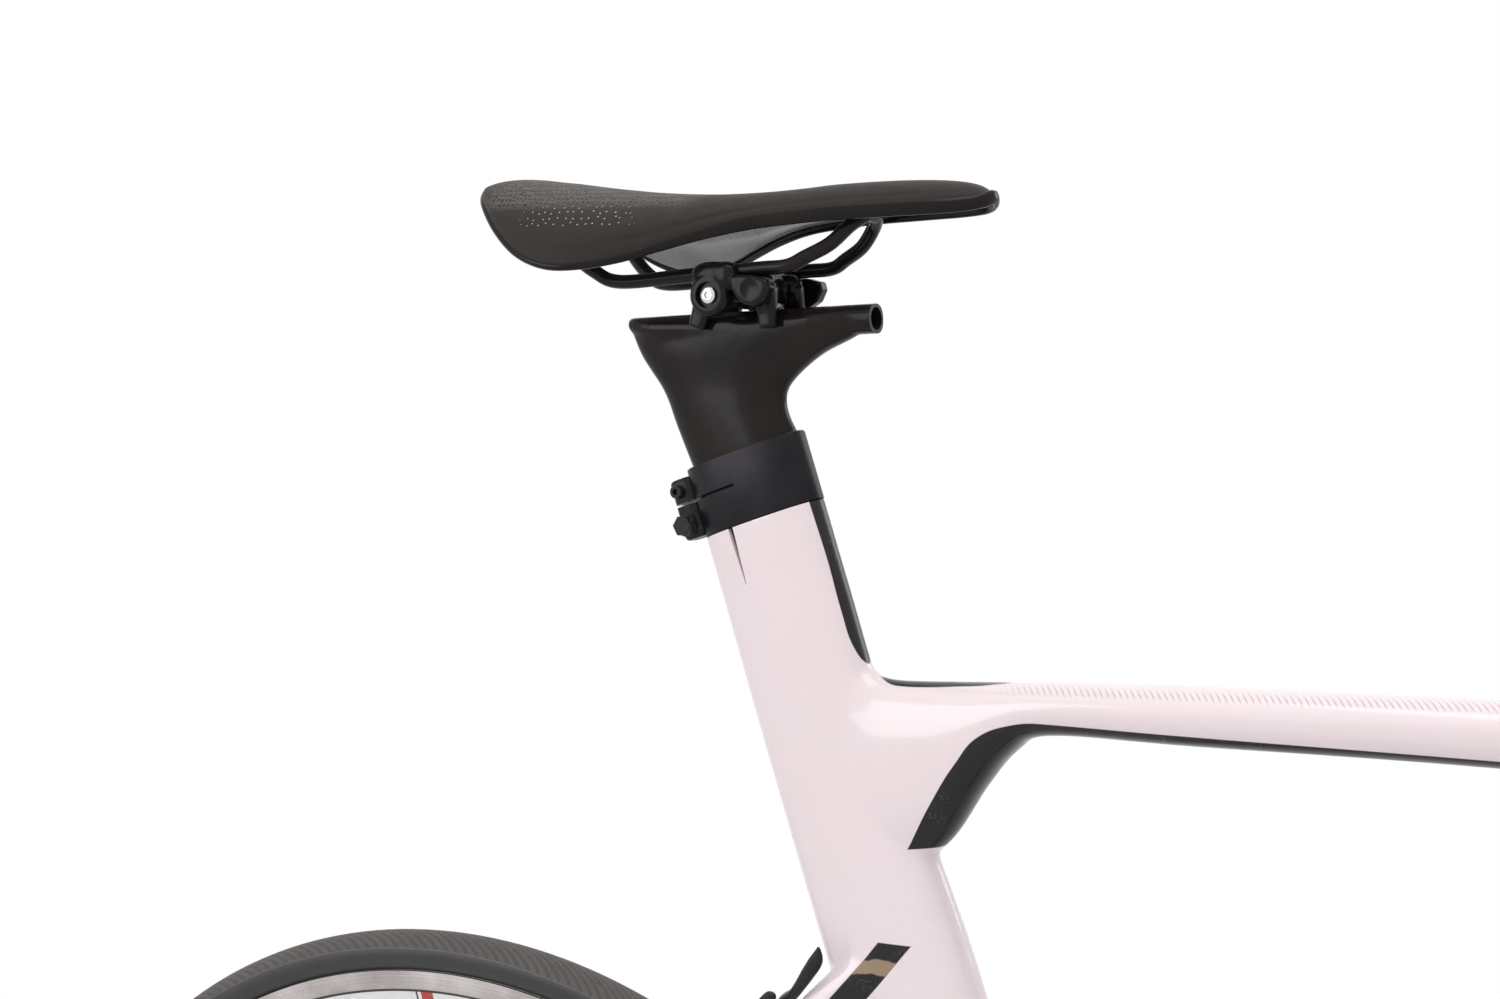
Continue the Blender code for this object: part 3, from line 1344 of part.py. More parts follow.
def derailleur_cage():
    """The two cage plates, joined by the axles of the pulleys."""
    shapes = []
    for side in (-1, 1):
        faces = sorted((CHAIN_PLANE + side * CAGE_PLATE_INNER, CHAIN_PLANE + side * CAGE_PLATE_OUTER))
        shapes.append(prism(cage_outline(0.0085), *faces))
    ends = (CHAIN_PLANE - CAGE_PLATE_OUTER, CHAIN_PLANE + CAGE_PLATE_OUTER)
    shapes.append(rod(GUIDE_CENTRE + SIDE * (KNUCKLE_FACE - 0.0110),
                      GUIDE_CENTRE + SIDE * (ends[1] + 0.0008), PULLEY_AXLE_RADIUS, 8))
    shapes.append(rod(TENSION_CENTRE + SIDE * (ends[0] - 0.0008),
                      TENSION_CENTRE + SIDE * (ends[1] + 0.0008), PULLEY_AXLE_RADIUS, 8))
    return merged(shapes)


def pulley(centre):
    """A jockey wheel."""
    bore = PULLEY_AXLE_RADIUS + CLEARANCE
    outer = pitch_radius(PULLEY_TEETH) - ROOT_DEPTH
    plane = CHAIN_PLANE
    outline = ((bore, plane - 0.0035), (0.0085, plane - 0.0035), (outer, plane - 0.0012),
               (outer, plane + 0.0012), (0.0085, plane + 0.0035), (bore, plane + 0.0035))
    return turned(outline, centre, SIDE, 13)


FRONT_SHIFT_PIVOT = BOTTOM_BRACKET + Vector((-0.0430, -0.0310, 0.1470))
SHIFT_PIN_RADIUS = 0.0018


def front_derailleur_body():
    """The bracket on the seat tube, forked round the cage's arm, with its hinge pin."""
    pivot = FRONT_SHIFT_PIVOT
    block = box((pivot.x - 0.0150, pivot.y - 0.0050, pivot.z - 0.0100),
                (pivot.x + 0.0150, -0.0184, pivot.z + 0.0130))
    gap = box((pivot.x - 0.0078, pivot.y - 0.0100, pivot.z - 0.0150),
              (pivot.x + 0.0078, pivot.y + 0.0062, pivot.z + 0.0072))
    pin = rod(pivot - FORWARD * 0.0120, pivot + FORWARD * 0.0120, SHIFT_PIN_RADIUS, 10)
    return merged([merged([block], [gap]), pin])


def front_derailleur_cage():
    """The two plates beside the chain, their bridge, and the arm up to the hinge."""
    centre = BOTTOM_BRACKET
    top = 0.1130
    reach = 0.1070
    places = [(-0.0300, top), (-0.0850, top)]
    for along in (-0.0850, -0.0700, -0.0550, -0.0400, -0.0300):
        low = math.sqrt(reach**2 - along**2)
        places.append((along, max(low, 0.0900)))
    outline = [(centre.x + x, centre.z + z) for x, z in places]
    shapes = []
    for plane in (-0.0425, -0.0515):
        shapes.append(prism(outline, plane - 0.0006, plane + 0.0006))
    shapes.append(box((centre.x - 0.0620, -0.0521, centre.z + top - 0.0010),
                      (centre.x - 0.0360, -0.0419, centre.z + top + 0.0010)))
    pivot = FRONT_SHIFT_PIVOT
    foot = Vector((pivot.x, -0.0450, centre.z + top))
    path = [pivot, pivot.lerp(foot, 0.5) + Vector((0, -0.002, 0)), foot]
    shapes.append(sweep(path, [(0.0068, 0.0026)] * 3, 8, FORWARD, 0.7))
    shapes.append(rod(pivot - FORWARD * 0.0072, pivot + FORWARD * 0.0072, 0.0045, 12))
    hole = rod(pivot - FORWARD * 0.02, pivot + FORWARD * 0.02, SHIFT_PIN_RADIUS + CLEARANCE, 10)
    return merged(shapes, [hole])


# Brakes

ARM_HALF_LAYER = 0.0040
ARM_HALF_WIDTH = 0.0048
PAD_FACE = 0.0116
PAD_INSET = 0.0041
PAD_RADIUS = RIM_RADIUS - PAD_INSET


def brake_place(axle, radial, outward, layer, out, reach):
    """A point of a brake arm: beside the wheel's plane and at a distance from the axle."""
    return axle + radial * reach + SIDE * out + outward * layer


def brake_arm(axle, radial, outward, standoff, side):
    """One caliper arm with its block, by the side that its block is on."""
    layer = standoff + CLEARANCE + ARM_HALF_LAYER
    if side < 0:
        layer += 2 * ARM_HALF_LAYER + CLEARANCE
    leg = [(0.022, -0.0545), (0.026, -0.0305), (0.020, -0.0085), (0.0, 0.0)]
    knots = [*leg, (-0.012, 0.0225), (-0.020, 0.0575)]
    extra = []
    if side < 0:
        knots = [*leg, (-0.011, 0.0065)]
        extra = [(0.017, -0.0065), (0.026, 0.0155), (0.027, 0.0295)]
    shapes = []
    for line in (knots, extra):
        if line:
            places = [brake_place(axle, radial, outward, layer, side * out, BRAKE_REACH + above)
                      for out, above in line]
            path = thinned(smooth_path(places, 2), 14.0)
            sizes = steady((ARM_HALF_WIDTH, ARM_HALF_LAYER), (0.0036, ARM_HALF_LAYER * 0.9), len(path))
            rings = []
            for (point, _, along), (wide, deep) in zip(path_frames(path, outward), sizes):
                rings.append(oval(point, along, outward, wide, deep, 8, 0.8))
            shapes.append(loft(rings))
    pivot = brake_place(axle, radial, outward, layer, 0, BRAKE_REACH)
    shapes.append(stacked(((0.0085, -ARM_HALF_LAYER), (0.0085, ARM_HALF_LAYER)), pivot, outward, 12))
    block_layer = standoff + 0.0025
    block_reach = math.sqrt(PAD_RADIUS**2 - block_layer**2)
    stud_reach = math.sqrt(PAD_RADIUS**2 - layer**2)
    stud_end = brake_place(axle, radial, outward, layer, side * 0.0215, stud_reach)
    block_middle = brake_place(axle, radial, outward, block_layer, side * (PAD_FACE + 0.0030),
                               block_reach)
    half = ((radial, 0.0038), (SIDE, 0.0030), (outward, 0.0230))
    rings = []
    for end in (-1, 1):
        rings.append([block_middle + outward * half[2][1] * end + radial * half[0][1] * a
                      + SIDE * half[1][1] * b for a, b in ((-1, -1), (1, -1), (1, 1), (-1, 1))])
    shapes.append(loft(rings))
    inner_end = Vector(stud_end)
    inner_end.y = side * (PAD_FACE + 0.0040)
    shapes.append(rod(inner_end, stud_end + SIDE * side * 0.004, 0.0032, 6))
    bore = rod(pivot - outward * 0.02, pivot + outward * 0.02, BRAKE_STUD_RADIUS + CLEARANCE, 8)
    return merged(shapes, [bore])


# Fork, stem and handlebar


def steer_point(up, ahead, out=0.0):
    """A point up the steering axis from the foot of the head tube, ahead of it and to one side."""
    return HEAD_BOTTOM + STEER_UP * up + STEER_FORE * ahead + SIDE * out


def fork_blade():
    """The right blade, from the crown to its dropout."""
    foot = -FORK_LENGTH
    tip = FRONT_DROPOUT_FACE + DROPOUT_THICKNESS / 2
    stations = (
        (-0.0140, 0.0010, 0.0130, 0.0090, 0.0185),
        (-0.0260, 0.0025, 0.0245, 0.0085, 0.0180),
        (-0.0520, 0.0055, 0.0290, 0.0072, 0.0175),
        (foot + 0.1980, FORK_OFFSET - 0.0240, 0.0355, 0.0058, 0.0150),
        (foot + 0.0780, FORK_OFFSET - 0.0105, tip - 0.0075, 0.0046, 0.0115),
        (foot + 0.0100, FORK_OFFSET - 0.0020, tip, 0.0027, 0.0090),
    )
    path = [steer_point(up, ahead, -out) for up, ahead, out, _, _ in stations]
    return sweep(path, [(wide, deep) for _, _, _, wide, deep in stations], 8, SIDE)


SPACER_FOOT = HEAD_TUBE_LENGTH + CLEARANCE
STEM_FOOT = SPACER_FOOT + SPACER_HEIGHT + CLEARANCE
STEM_TOP = STEM_FOOT + STEM_CLAMP_HEIGHT
STEERER_TOP = STEM_TOP - 0.0030


def fork():
    """The fork in one piece: steerer, crown, two blades, dropouts and the brake's stud."""
    outer = FRONT_DROPOUT_FACE + DROPOUT_THICKNESS
    crown_path = [steer_point(-0.0130, 0.0005, out) for out in (-0.0230, 0.0230)]
    dropout = stacked(((0.0120, -outer), (0.0120, -FRONT_DROPOUT_FACE)), FRONT_AXLE, SIDE, 12)
    shapes = [
        rod(steer_point(-0.0120, 0), steer_point(STEERER_TOP, 0), STEERER_RADIUS,
            ROUND_FIT_SIDES),
        rod(steer_point(-0.0200, 0), steer_point(-CLEARANCE, 0), 0.0200, 14),
        sweep(crown_path, [(0.0200, 0.0095)] * 2, 8, STEER_FORE, 0.8),
        fork_blade(), mirrored(fork_blade()), dropout, mirrored(dropout),
        brake_stud(FRONT_AXLE, FRONT_BRAKE_RADIAL, FRONT_BRAKE_OUTWARD, FRONT_ARM_STANDOFF),
    ]
    faces = (FRONT_DROPOUT_FACE - DROPOUT_THICKNESS / 2,
             -FRONT_DROPOUT_FACE - 1.5 * DROPOUT_THICKNESS)
    return merged(shapes, slot_cuts(FRONT_AXLE, faces, 0.025))


def headset_spacer():
    """The spacer between the upper bearing and the stem."""
    bore = STEERER_RADIUS + CLEARANCE
    outline = ((bore, 0), (SPACER_RADIUS, 0), (SPACER_RADIUS, SPACER_HEIGHT), (bore, SPACER_HEIGHT))
    return turned(outline, steer_point(SPACER_FOOT, 0), STEER_UP, ROUND_FIT_SIDES)


def headset_top_cap():
    """The cap on the stem with its bolt head."""
    outline = ((0.0178, 0), (0.0178, 0.0030), (0.0060, 0.0055), (0.0045, 0.0075))
    return stacked(outline, steer_point(STEM_TOP + CLEARANCE, 0), STEER_UP, 14)


STEM_DIRECTION = Vector((math.cos(STEM_RISE), 0, math.sin(STEM_RISE)))
STEM_NORMAL = Vector((-math.sin(STEM_RISE), 0, math.cos(STEM_RISE)))
STEM_MIDDLE = HEAD_BOTTOM + STEER_UP * (STEM_FOOT + STEM_CLAMP_HEIGHT / 2)
BAR_CENTRE = STEM_MIDDLE + STEM_DIRECTION * STEM_LENGTH
BAR_CLAMP_OUTER = BAR_CLAMP_RADIUS + 0.0045
BAR_CLAMP_HALF_WIDTH = 0.0200


def front_of_bar(start, end):
    """A block that holds everything ahead of the bar's middle, from one distance to another."""
    rings = []
    for out in (-0.03, 0.03):
        rings.append([BAR_CENTRE + STEM_DIRECTION * ahead + STEM_NORMAL * up + SIDE * out
                      for ahead, up in ((start, -0.04), (end, -0.04), (end, 0.04), (start, 0.04))])
    return loft(rings)


def bar_clamp_drum():
    """The solid drum that the two halves of the bar clamp are cut from."""
    half = BAR_CLAMP_HALF_WIDTH
    return stacked(((BAR_CLAMP_OUTER, -half), (BAR_CLAMP_OUTER, half)), BAR_CENTRE, SIDE, 16)


def bar_clamp_bore():
    """The bore of the bar clamp."""
    return rod(BAR_CENTRE - SIDE * 0.03, BAR_CENTRE + SIDE * 0.03, BAR_CLAMP_RADIUS + 2 * CLEARANCE, 16)


def stem():
    """The stem, clamped round the steerer, with the rear half of the bar clamp."""
    clamp = stacked(((0.0190, STEM_FOOT), (0.0190, STEM_TOP)), HEAD_BOTTOM, STEER_UP, 16)
    path = [STEM_MIDDLE + STEM_DIRECTION * along for along in (0.010, 0.050, STEM_LENGTH - 0.012)]
    arm = sweep(path, [(0.0170, 0.0180), (0.0150, 0.0155), (0.0180, 0.0155)], 10, SIDE, 0.8)
    bore = rod(steer_point(STEM_FOOT - 0.01, 0), steer_point(STEM_TOP + 0.01, 0),
               STEERER_RADIUS + CLEARANCE, ROUND_FIT_SIDES)
    return merged([clamp, arm, bar_clamp_drum()],
                  [bore, bar_clamp_bore(), front_of_bar(0.0006, 0.05)])


def stem_faceplate():
    """The front half of the bar clamp."""
    return merged([bar_clamp_drum()], [bar_clamp_bore(), front_of_bar(-0.05, 0.0018)])


def bar_point(ahead, up, out):
    """A point of the handlebar from the middle of its clamp."""
    return BAR_CENTRE + Vector((ahead, out, up))


def bar_path():
    """The centre line of the handlebar's right half, from the stem to the end of the drop."""
    tops = [bar_point(0.0, 0.0, -out) for out in (0.0, 0.0400, 0.0620, 0.0760)]
    bends = (
        (0.0, 0.0, 0.1050), (0.0, -0.0005, 0.1500), (0.0060, -0.0010, 0.1840),
        (0.0270, -0.0020, 0.2010), (0.0560, -0.0060, 0.2050), (0.0760, -0.0190, 0.2050),
        (BAR_REACH, -0.0420, 0.2055), (0.0700, -0.0760, 0.2065), (0.0430, -0.1060, 0.2075),
        (0.0090, -0.1230, 0.2085), (-0.0250, -BAR_DROP, 0.2090), (-0.0500, -BAR_DROP, 0.2090),
    )
    knots = [bar_point(ahead, up, -out) for ahead, up, out in bends]
    return tops + thinned(smooth_path(knots, 2), 14.0)


def bar_radius(point):
    """The bar's radius at a point: thick in the clamp, slim outside it."""
    share = min(max((abs(point.y) - 0.040) / 0.022, 0.0), 1.0)
    return BAR_CLAMP_RADIUS + (BAR_RADIUS - BAR_CLAMP_RADIUS) * share


BAR_SIDES = 8
TAPE_START = 3
BAR_FRAMES = path_frames(bar_path())
BAR_RADII = [bar_radius(point) for point, _, _ in BAR_FRAMES]


def handlebar():
    """The drop handlebar."""
    right = tube_rings(BAR_FRAMES, BAR_RADII, 0.0, BAR_SIDES)
    left = [[Vector((point.x, -point.y, point.z)) for point in ring] for ring in right[:0:-1]]
    return loft(left + right)


def bar_tape():
    """The tape round the right half of the bar."""
    return sleeve(BAR_FRAMES[TAPE_START:], BAR_RADII[TAPE_START:], TAPE_THICKNESS, BAR_SIDES)


LEVER_PIVOT = BAR_CENTRE + Vector((0.1130, -0.2050, 0.0040))
LEVER_ROOT_RADIUS = 0.0060
LEVER_ROOT_HALF = 0.0060
LEVER_PIN_RADIUS = 0.0015


def hood():
    """The right lever's body in its rubber hood, round the taped bar, with the lever's pin."""
    stations = (
        (0.0500, -0.0045, 0.0185, 0.0180), (0.0680, -0.0060, 0.0190, 0.0205),
        (0.0900, 0.0010, 0.0175, 0.0210), (0.1110, 0.0110, 0.0155, 0.0190),
        (0.1240, 0.0300, 0.0130, 0.0135), (0.1245, 0.0430, 0.0085, 0.0080),
    )
    path = [BAR_CENTRE + Vector((ahead, -0.2050, up)) for ahead, up, _, _ in stations]
    body = sweep(path, [(wide, deep) for _, _, wide, deep in stations], 10, SIDE, 0.85)
    bore = loft(tube_rings(BAR_FRAMES[TAPE_START:], BAR_RADII[TAPE_START:],
                           TAPE_THICKNESS + CLEARANCE, BAR_SIDES))
    width = SIDE * (LEVER_ROOT_HALF + 0.0005)
    slot_radius = LEVER_ROOT_RADIUS + 0.0008
    slot = rod(LEVER_PIVOT - width, LEVER_PIVOT + width, slot_radius, 16)
    mouth = box(LEVER_PIVOT - width + Vector((-slot_radius, 0, -0.0300)),
                LEVER_PIVOT + width + Vector((0.0300, 0, 0.0)))
    pin = rod(LEVER_PIVOT - SIDE * 0.0090, LEVER_PIVOT + SIDE * 0.0090, LEVER_PIN_RADIUS, 8)
    return merged([merged([body], [bore, slot, mouth]), pin])


def brake_lever():
    """The right brake lever's blade, hanging from its pin."""
    stations = (
        (0.0030, -0.0040, 0.0058, 0.0050), (0.0120, -0.0150, 0.0058, 0.0048),
        (0.0190, -0.0360, 0.0080, 0.0034), (0.0170, -0.0640, 0.0085, 0.0030),
        (0.0070, -0.0930, 0.0065, 0.0028), (0.0040, -0.1010, 0.0045, 0.0024),
    )
    path = [LEVER_PIVOT + Vector((ahead, 0, up)) for ahead, up, _, _ in stations]
    blade = sweep(path, [(wide, deep) for _, _, wide, deep in stations], 8, SIDE, 0.9)
    root = rod(LEVER_PIVOT - SIDE * LEVER_ROOT_HALF, LEVER_PIVOT + SIDE * LEVER_ROOT_HALF,
               LEVER_ROOT_RADIUS, 10)
    bore = rod(LEVER_PIVOT - SIDE * 0.02, LEVER_PIVOT + SIDE * 0.02,
               LEVER_PIN_RADIUS + CLEARANCE, 8)
    return merged([root, blade], [bore])


PADDLE_PIVOT = LEVER_PIVOT + Vector((0.0070, 0, -0.0260))
PADDLE_BOSS = 0.0028


def shift_paddle():
    """The gear paddle behind the right brake lever."""
    stations = (
        (-0.0010, 0.0030, 0.0050, 0.0022), (0.0, -0.0060, 0.0060, 0.0022),
        (0.0010, -0.0260, 0.0085, 0.0016), (-0.0060, -0.0440, 0.0060, 0.0014),
    )
    path = [PADDLE_PIVOT + Vector((ahead, 0.0015 * index, up))
            for index, (ahead, up, _, _) in enumerate(stations)]
    blade = sweep(path, [(wide, deep) for _, _, wide, deep in stations], 8, SIDE, 0.9)
    return merged([blade, rod(PADDLE_PIVOT, PADDLE_PIVOT + FORWARD * PADDLE_BOSS, 0.0030, 8)])


# The assembly: each group of pieces hangs from the empty on its joint


def build_frame_group():
    """The frame and everything fixed to it."""
    root = carrier("bicycle", Vector((0, 0, 0)))
    piece("frame", frame(), gloss_white(), root, 30.0)
    piece("seat_clamp_band", seat_clamp_band(), matte_black(), root)
    piece("seat_clamp_upper_bolt", band_bolt(UPPER_BOLT_DOWN, 0.0034, 0.0030), matte_black(), root)
    piece("seat_clamp_lower_bolt", band_bolt(LOWER_BOLT_DOWN, 0.0050, 0.0042), matte_black(), root)
    piece("headset_lower_bearing", bearing(HEAD_BOTTOM, BEARING_HEIGHT), steel(), root)
    piece("headset_upper_bearing", bearing(HEAD_TOP - STEER_UP * BEARING_HEIGHT, BEARING_HEIGHT),
          steel(), root)
    piece("bottom_bracket_cup_right", bottom_bracket_cup(), matte_black(), root)
    piece("bottom_bracket_cup_left", mirrored(bottom_bracket_cup()), matte_black(), root)
    piece("rear_axle", axle_and_skewer(REAR_AXLE, REAR_DROPOUT_FACE, DROPOUT_THICKNESS),
          steel(), root)
    piece("front_derailleur_body", front_derailleur_body(), silver(), root)
    piece("derailleur_upper_knuckle", derailleur_upper_knuckle(), matte_black(), root)
    return root


def build_seat_group(root):
    """The seatpost, the tilting clamp on its head and the saddle in that clamp."""
    post = carrier("seatpost_slide", Vector(SEAT_TOP), root)
    piece("seatpost", seatpost(), gloss_black(), post)
    tilt = carrier("saddle_tilt", Vector(TILT_AXIS), post)
    piece("saddle_cradle", saddle_cradle(), gloss_black(), tilt)
    piece("rail_clamp_right", right_rail_cheek(), gloss_black(), tilt)
    piece("rail_clamp_left", mirrored(right_rail_cheek()), gloss_black(), tilt)
    piece("rail_clamp_bolt", rail_clamp_bolt(), steel(), tilt)
    saddle = carrier("saddle_slide", Vector(TILT_AXIS), tilt)
    piece("saddle_rails", saddle_rails(), gloss_black(), saddle)
    piece("saddle_shell", saddle_shell(), gloss_black(), saddle)
    piece("saddle_cover", saddle_cover(), finish("black_microfibre", (0.035, 0.03, 0.03), 0.85), saddle)


def build_steering_group(root):
    """The fork, stem, handlebar and its controls, and the front wheel."""
    steering = carrier("steering", Vector(HEAD_BOTTOM), root)
    piece("fork", fork(), gloss_white(), steering)
    piece("headset_spacer", headset_spacer(), matte_black(), steering)
    piece("headset_top_cap", headset_top_cap(), matte_black(), steering)
    piece("stem", stem(), matte_black(), steering)
    piece("stem_faceplate", stem_faceplate(), matte_black(), steering)
    piece("handlebar", handlebar(), matte_black(), steering)
    piece("front_axle", axle_and_skewer(FRONT_AXLE, FRONT_DROPOUT_FACE, DROPOUT_THICKNESS),
          steel(), steering)
    for side, name in ((-1, "right"), (1, "left")):
        turn = Matrix.Diagonal((1, -side, 1, 1))
        piece("bar_tape_" + name, moved(bar_tape(), turn), finish("bar_tape", (0.03, 0.03, 0.03), 0.8),
              steering)
        piece("hood_" + name, moved(hood(), turn), rubber(), steering)
        lever = carrier("brake_lever_" + name + "_hinge", turn @ LEVER_PIVOT, steering)
        piece("brake_lever_" + name, moved(brake_lever(), turn), gloss_black(), lever)
        paddle = carrier("shift_paddle_" + name + "_hinge", turn @ PADDLE_PIVOT, lever)
        piece("shift_paddle_" + name, moved(shift_paddle(), turn), gloss_black(), paddle)
        pivot = brake_place(FRONT_AXLE, FRONT_BRAKE_RADIAL, FRONT_BRAKE_OUTWARD,
                            FRONT_ARM_STANDOFF, 0, BRAKE_REACH)
        arm = carrier("front_brake_" + name + "_hinge", pivot, steering)
        shape = brake_arm(FRONT_AXLE, FRONT_BRAKE_RADIAL, FRONT_BRAKE_OUTWARD,
                          FRONT_ARM_STANDOFF, side)
        piece("front_brake_arm_" + name, shape, gloss_black(), arm)
    cam = carrier("front_release_hinge", release_cam(FRONT_AXLE, FRONT_DROPOUT_FACE), steering)
    piece("front_release_lever", release_lever(FRONT_AXLE, FRONT_DROPOUT_FACE),
          silver(), cam)
    wheel = carrier("front_wheel", Vector(FRONT_AXLE), steering)
    piece("front_tyre", tyre(FRONT_AXLE), rubber(), wheel, 60.0)
    piece("front_rim", rim(FRONT_AXLE), silver(), wheel)
    piece("front_hub_and_spokes", front_hub_and_spokes(), steel(), wheel)


def build_rear_group(root):
    """The rear wheel, its release lever, the rear brake and the cassette."""
    wheel = carrier("rear_wheel", Vector(REAR_AXLE), root)
    piece("rear_tyre", tyre(REAR_AXLE), rubber(), wheel, 60.0)
    piece("rear_rim", rim(REAR_AXLE), silver(), wheel)
    piece("rear_hub_and_spokes", rear_hub_and_spokes(), steel(), wheel)
    cam = carrier("rear_release_hinge", release_cam(REAR_AXLE, REAR_DROPOUT_FACE), root)
    piece("rear_release_lever", release_lever(REAR_AXLE, REAR_DROPOUT_FACE),
          silver(), cam)
    for side, name in ((-1, "right"), (1, "left")):
        pivot = brake_place(REAR_AXLE, REAR_BRAKE_RADIAL, REAR_BRAKE_OUTWARD,
                            REAR_ARM_STANDOFF, 0, BRAKE_REACH)
        arm = carrier("rear_brake_" + name + "_hinge", pivot, root)
        shape = brake_arm(REAR_AXLE, REAR_BRAKE_RADIAL, REAR_BRAKE_OUTWARD, REAR_ARM_STANDOFF, side)
        piece("rear_brake_arm_" + name, shape, gloss_black(), arm)
    sprockets = carrier("cassette_spin", Vector(REAR_AXLE), root)
    piece("cassette", cassette(), steel(), sprockets)


def build_drive_group(root):
    """The cranks, chainrings, pedals, chain and the moving parts of both derailleurs."""
    crank = carrier("crank_spin", Vector(BOTTOM_BRACKET), root)
    piece("crank_right", crank_right(), gloss_black(), crank)
    piece("crank_left", crank_left(), gloss_black(), crank)
    piece("chainrings", chainrings(), silver(), crank)
    for name, forward, outward in (("right", 1, -1), ("left", -1, 1)):
        eye = BOTTOM_BRACKET + FORWARD * forward * CRANK_LENGTH + SIDE * outward * EYE_FACE
        spin = carrier("pedal_" + name + "_spin", eye, crank)
        piece("pedal_" + name, pedal(forward, outward), matte_black(), spin)
    piece("chain", chain(), steel(), root)
    cage = carrier("front_derailleur_hinge", FRONT_SHIFT_PIVOT, root)
    piece("front_derailleur_cage", front_derailleur_cage(), silver(), cage)
    middle = (LINK_NEAR + LINK_FAR) / 2
    links = {}
    for name, out in (("outer", LINK_OUTER_Y), ("inner", LINK_INNER_Y)):
        links[name] = carrier("derailleur_link_" + name + "_hinge",
                              Vector((middle, out, UPPER_PIVOT_Z)), root)
        piece("derailleur_link_" + name, derailleur_link(out), matte_black(), links[name])
    lower = carrier("lower_knuckle_hinge",
                    Vector((middle, LINK_OUTER_Y + LINK_LEAN, LOWER_PIVOT_Z)), links["outer"])
    piece("derailleur_lower_knuckle", derailleur_lower_knuckle(), matte_black(), lower)
    swing = carrier("derailleur_cage_hinge", GUIDE_CENTRE + SIDE * CHAIN_PLANE, lower)
    piece("derailleur_cage", derailleur_cage(), gloss_black(), swing)
    for name, centre in (("guide", GUIDE_CENTRE), ("tension", TENSION_CENTRE)):
        spin = carrier(name + "_pulley_spin", centre + SIDE * CHAIN_PLANE, swing)
        piece(name + "_pulley", pulley(centre), finish("pulley_black", (0.03, 0.03, 0.03), 0.5), spin)


clear_scene()
bicycle = build_frame_group()
build_seat_group(bicycle)
build_steering_group(bicycle)
build_rear_group(bicycle)
build_drive_group(bicycle)
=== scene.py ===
# %% [markdown]
# # A road bike in a white studio
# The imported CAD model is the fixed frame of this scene: it says where every piece sits and how it
# moves. This notebook dresses it. The pieces that the eye rests on are made again here with more
# points than a solid for simulation can carry, and the others keep their solid and get a finish.

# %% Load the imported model
import json
import math
import bmesh
import bpy
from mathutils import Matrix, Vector


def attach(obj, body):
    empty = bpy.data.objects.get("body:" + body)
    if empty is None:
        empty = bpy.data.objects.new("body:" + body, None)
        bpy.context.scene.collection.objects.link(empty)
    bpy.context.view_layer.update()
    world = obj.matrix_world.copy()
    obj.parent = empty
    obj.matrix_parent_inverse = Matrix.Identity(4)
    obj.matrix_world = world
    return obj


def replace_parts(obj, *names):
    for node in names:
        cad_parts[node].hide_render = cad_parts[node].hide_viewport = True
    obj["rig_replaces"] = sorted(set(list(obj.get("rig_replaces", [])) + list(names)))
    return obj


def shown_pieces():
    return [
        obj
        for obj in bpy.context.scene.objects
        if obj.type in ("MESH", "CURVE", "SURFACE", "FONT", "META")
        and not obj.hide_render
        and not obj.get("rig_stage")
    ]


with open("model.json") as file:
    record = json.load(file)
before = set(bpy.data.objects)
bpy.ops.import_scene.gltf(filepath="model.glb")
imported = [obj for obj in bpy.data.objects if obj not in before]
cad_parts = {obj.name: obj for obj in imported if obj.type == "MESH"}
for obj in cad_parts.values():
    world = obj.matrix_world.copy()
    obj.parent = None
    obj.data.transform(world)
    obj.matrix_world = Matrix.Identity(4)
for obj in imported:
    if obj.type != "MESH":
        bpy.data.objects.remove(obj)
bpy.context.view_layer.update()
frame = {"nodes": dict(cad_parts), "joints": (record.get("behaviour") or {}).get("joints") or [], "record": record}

# %% [markdown]
# ## The points that everything hangs on
# A bicycle is drawn from few points: two axles, the crank axle, the top of the seat tube and the
# steering axis. The joints of the model give most of them, so no piece is placed by eye. Forward is
# +X, the bicycle's left is +Y and up is +Z.

# %% Points and directions
joint_at = {joint["name"]: Vector(joint["pos_m"]) for joint in frame["joints"]
            if "pos_m" in joint}
body_of = {}
for body, nodes in frame["record"]["behaviour"]["bodies"].items():
    body_of.update({node: body for node in nodes})
SIDE = Vector((0, 1, 0))
UP = Vector((0, 0, 1))
FORWARD = Vector((1, 0, 0))
WHEEL_RADIUS = 0.335
HALF_BASE = 0.4925
REAR_AXLE = Vector((-HALF_BASE, 0, WHEEL_RADIUS))
FRONT_AXLE = Vector((HALF_BASE, 0, WHEEL_RADIUS))
CRANK_AXLE = Vector((-0.093595, 0, 0.265))
SEAT_TOP = Vector((-0.318858, 0, 0.930510))
SEAT_UP = Vector((-0.320613, 0, 0.947210))
SEAT_FORE = Vector((0.947210, 0, 0.320613))
STEER_UP = Vector((-0.292372, 0, 0.956305))
STEER_FORE = Vector((0.956305, 0, 0.292372))
HEAD_BOTTOM = Vector((0.343786, 0, 0.674348))
HEAD_TOP = HEAD_BOTTOM + STEER_UP * 0.174
BAR_CENTRE = Vector((0.3813, 0, 0.8904))


def seat_point(ahead, up, out=0.0):
    """A point from the top of the seat tube: forward, up and to the left."""
    return SEAT_TOP + Vector((ahead, out, up))


def steer_point(up, ahead, out=0.0):
    """A point up the steering axis from the foot of the head tube."""
    return HEAD_BOTTOM + STEER_UP * up + STEER_FORE * ahead + SIDE * out


# %% [markdown]
# ## The camera and the studio
# The photograph was taken from the chain side, a little ahead of the saddle and almost level. The
# camera stands where its perspective puts it. The backdrop is white only for the eye and for
# reflections, so the light on the bicycle itself stays soft and plain.

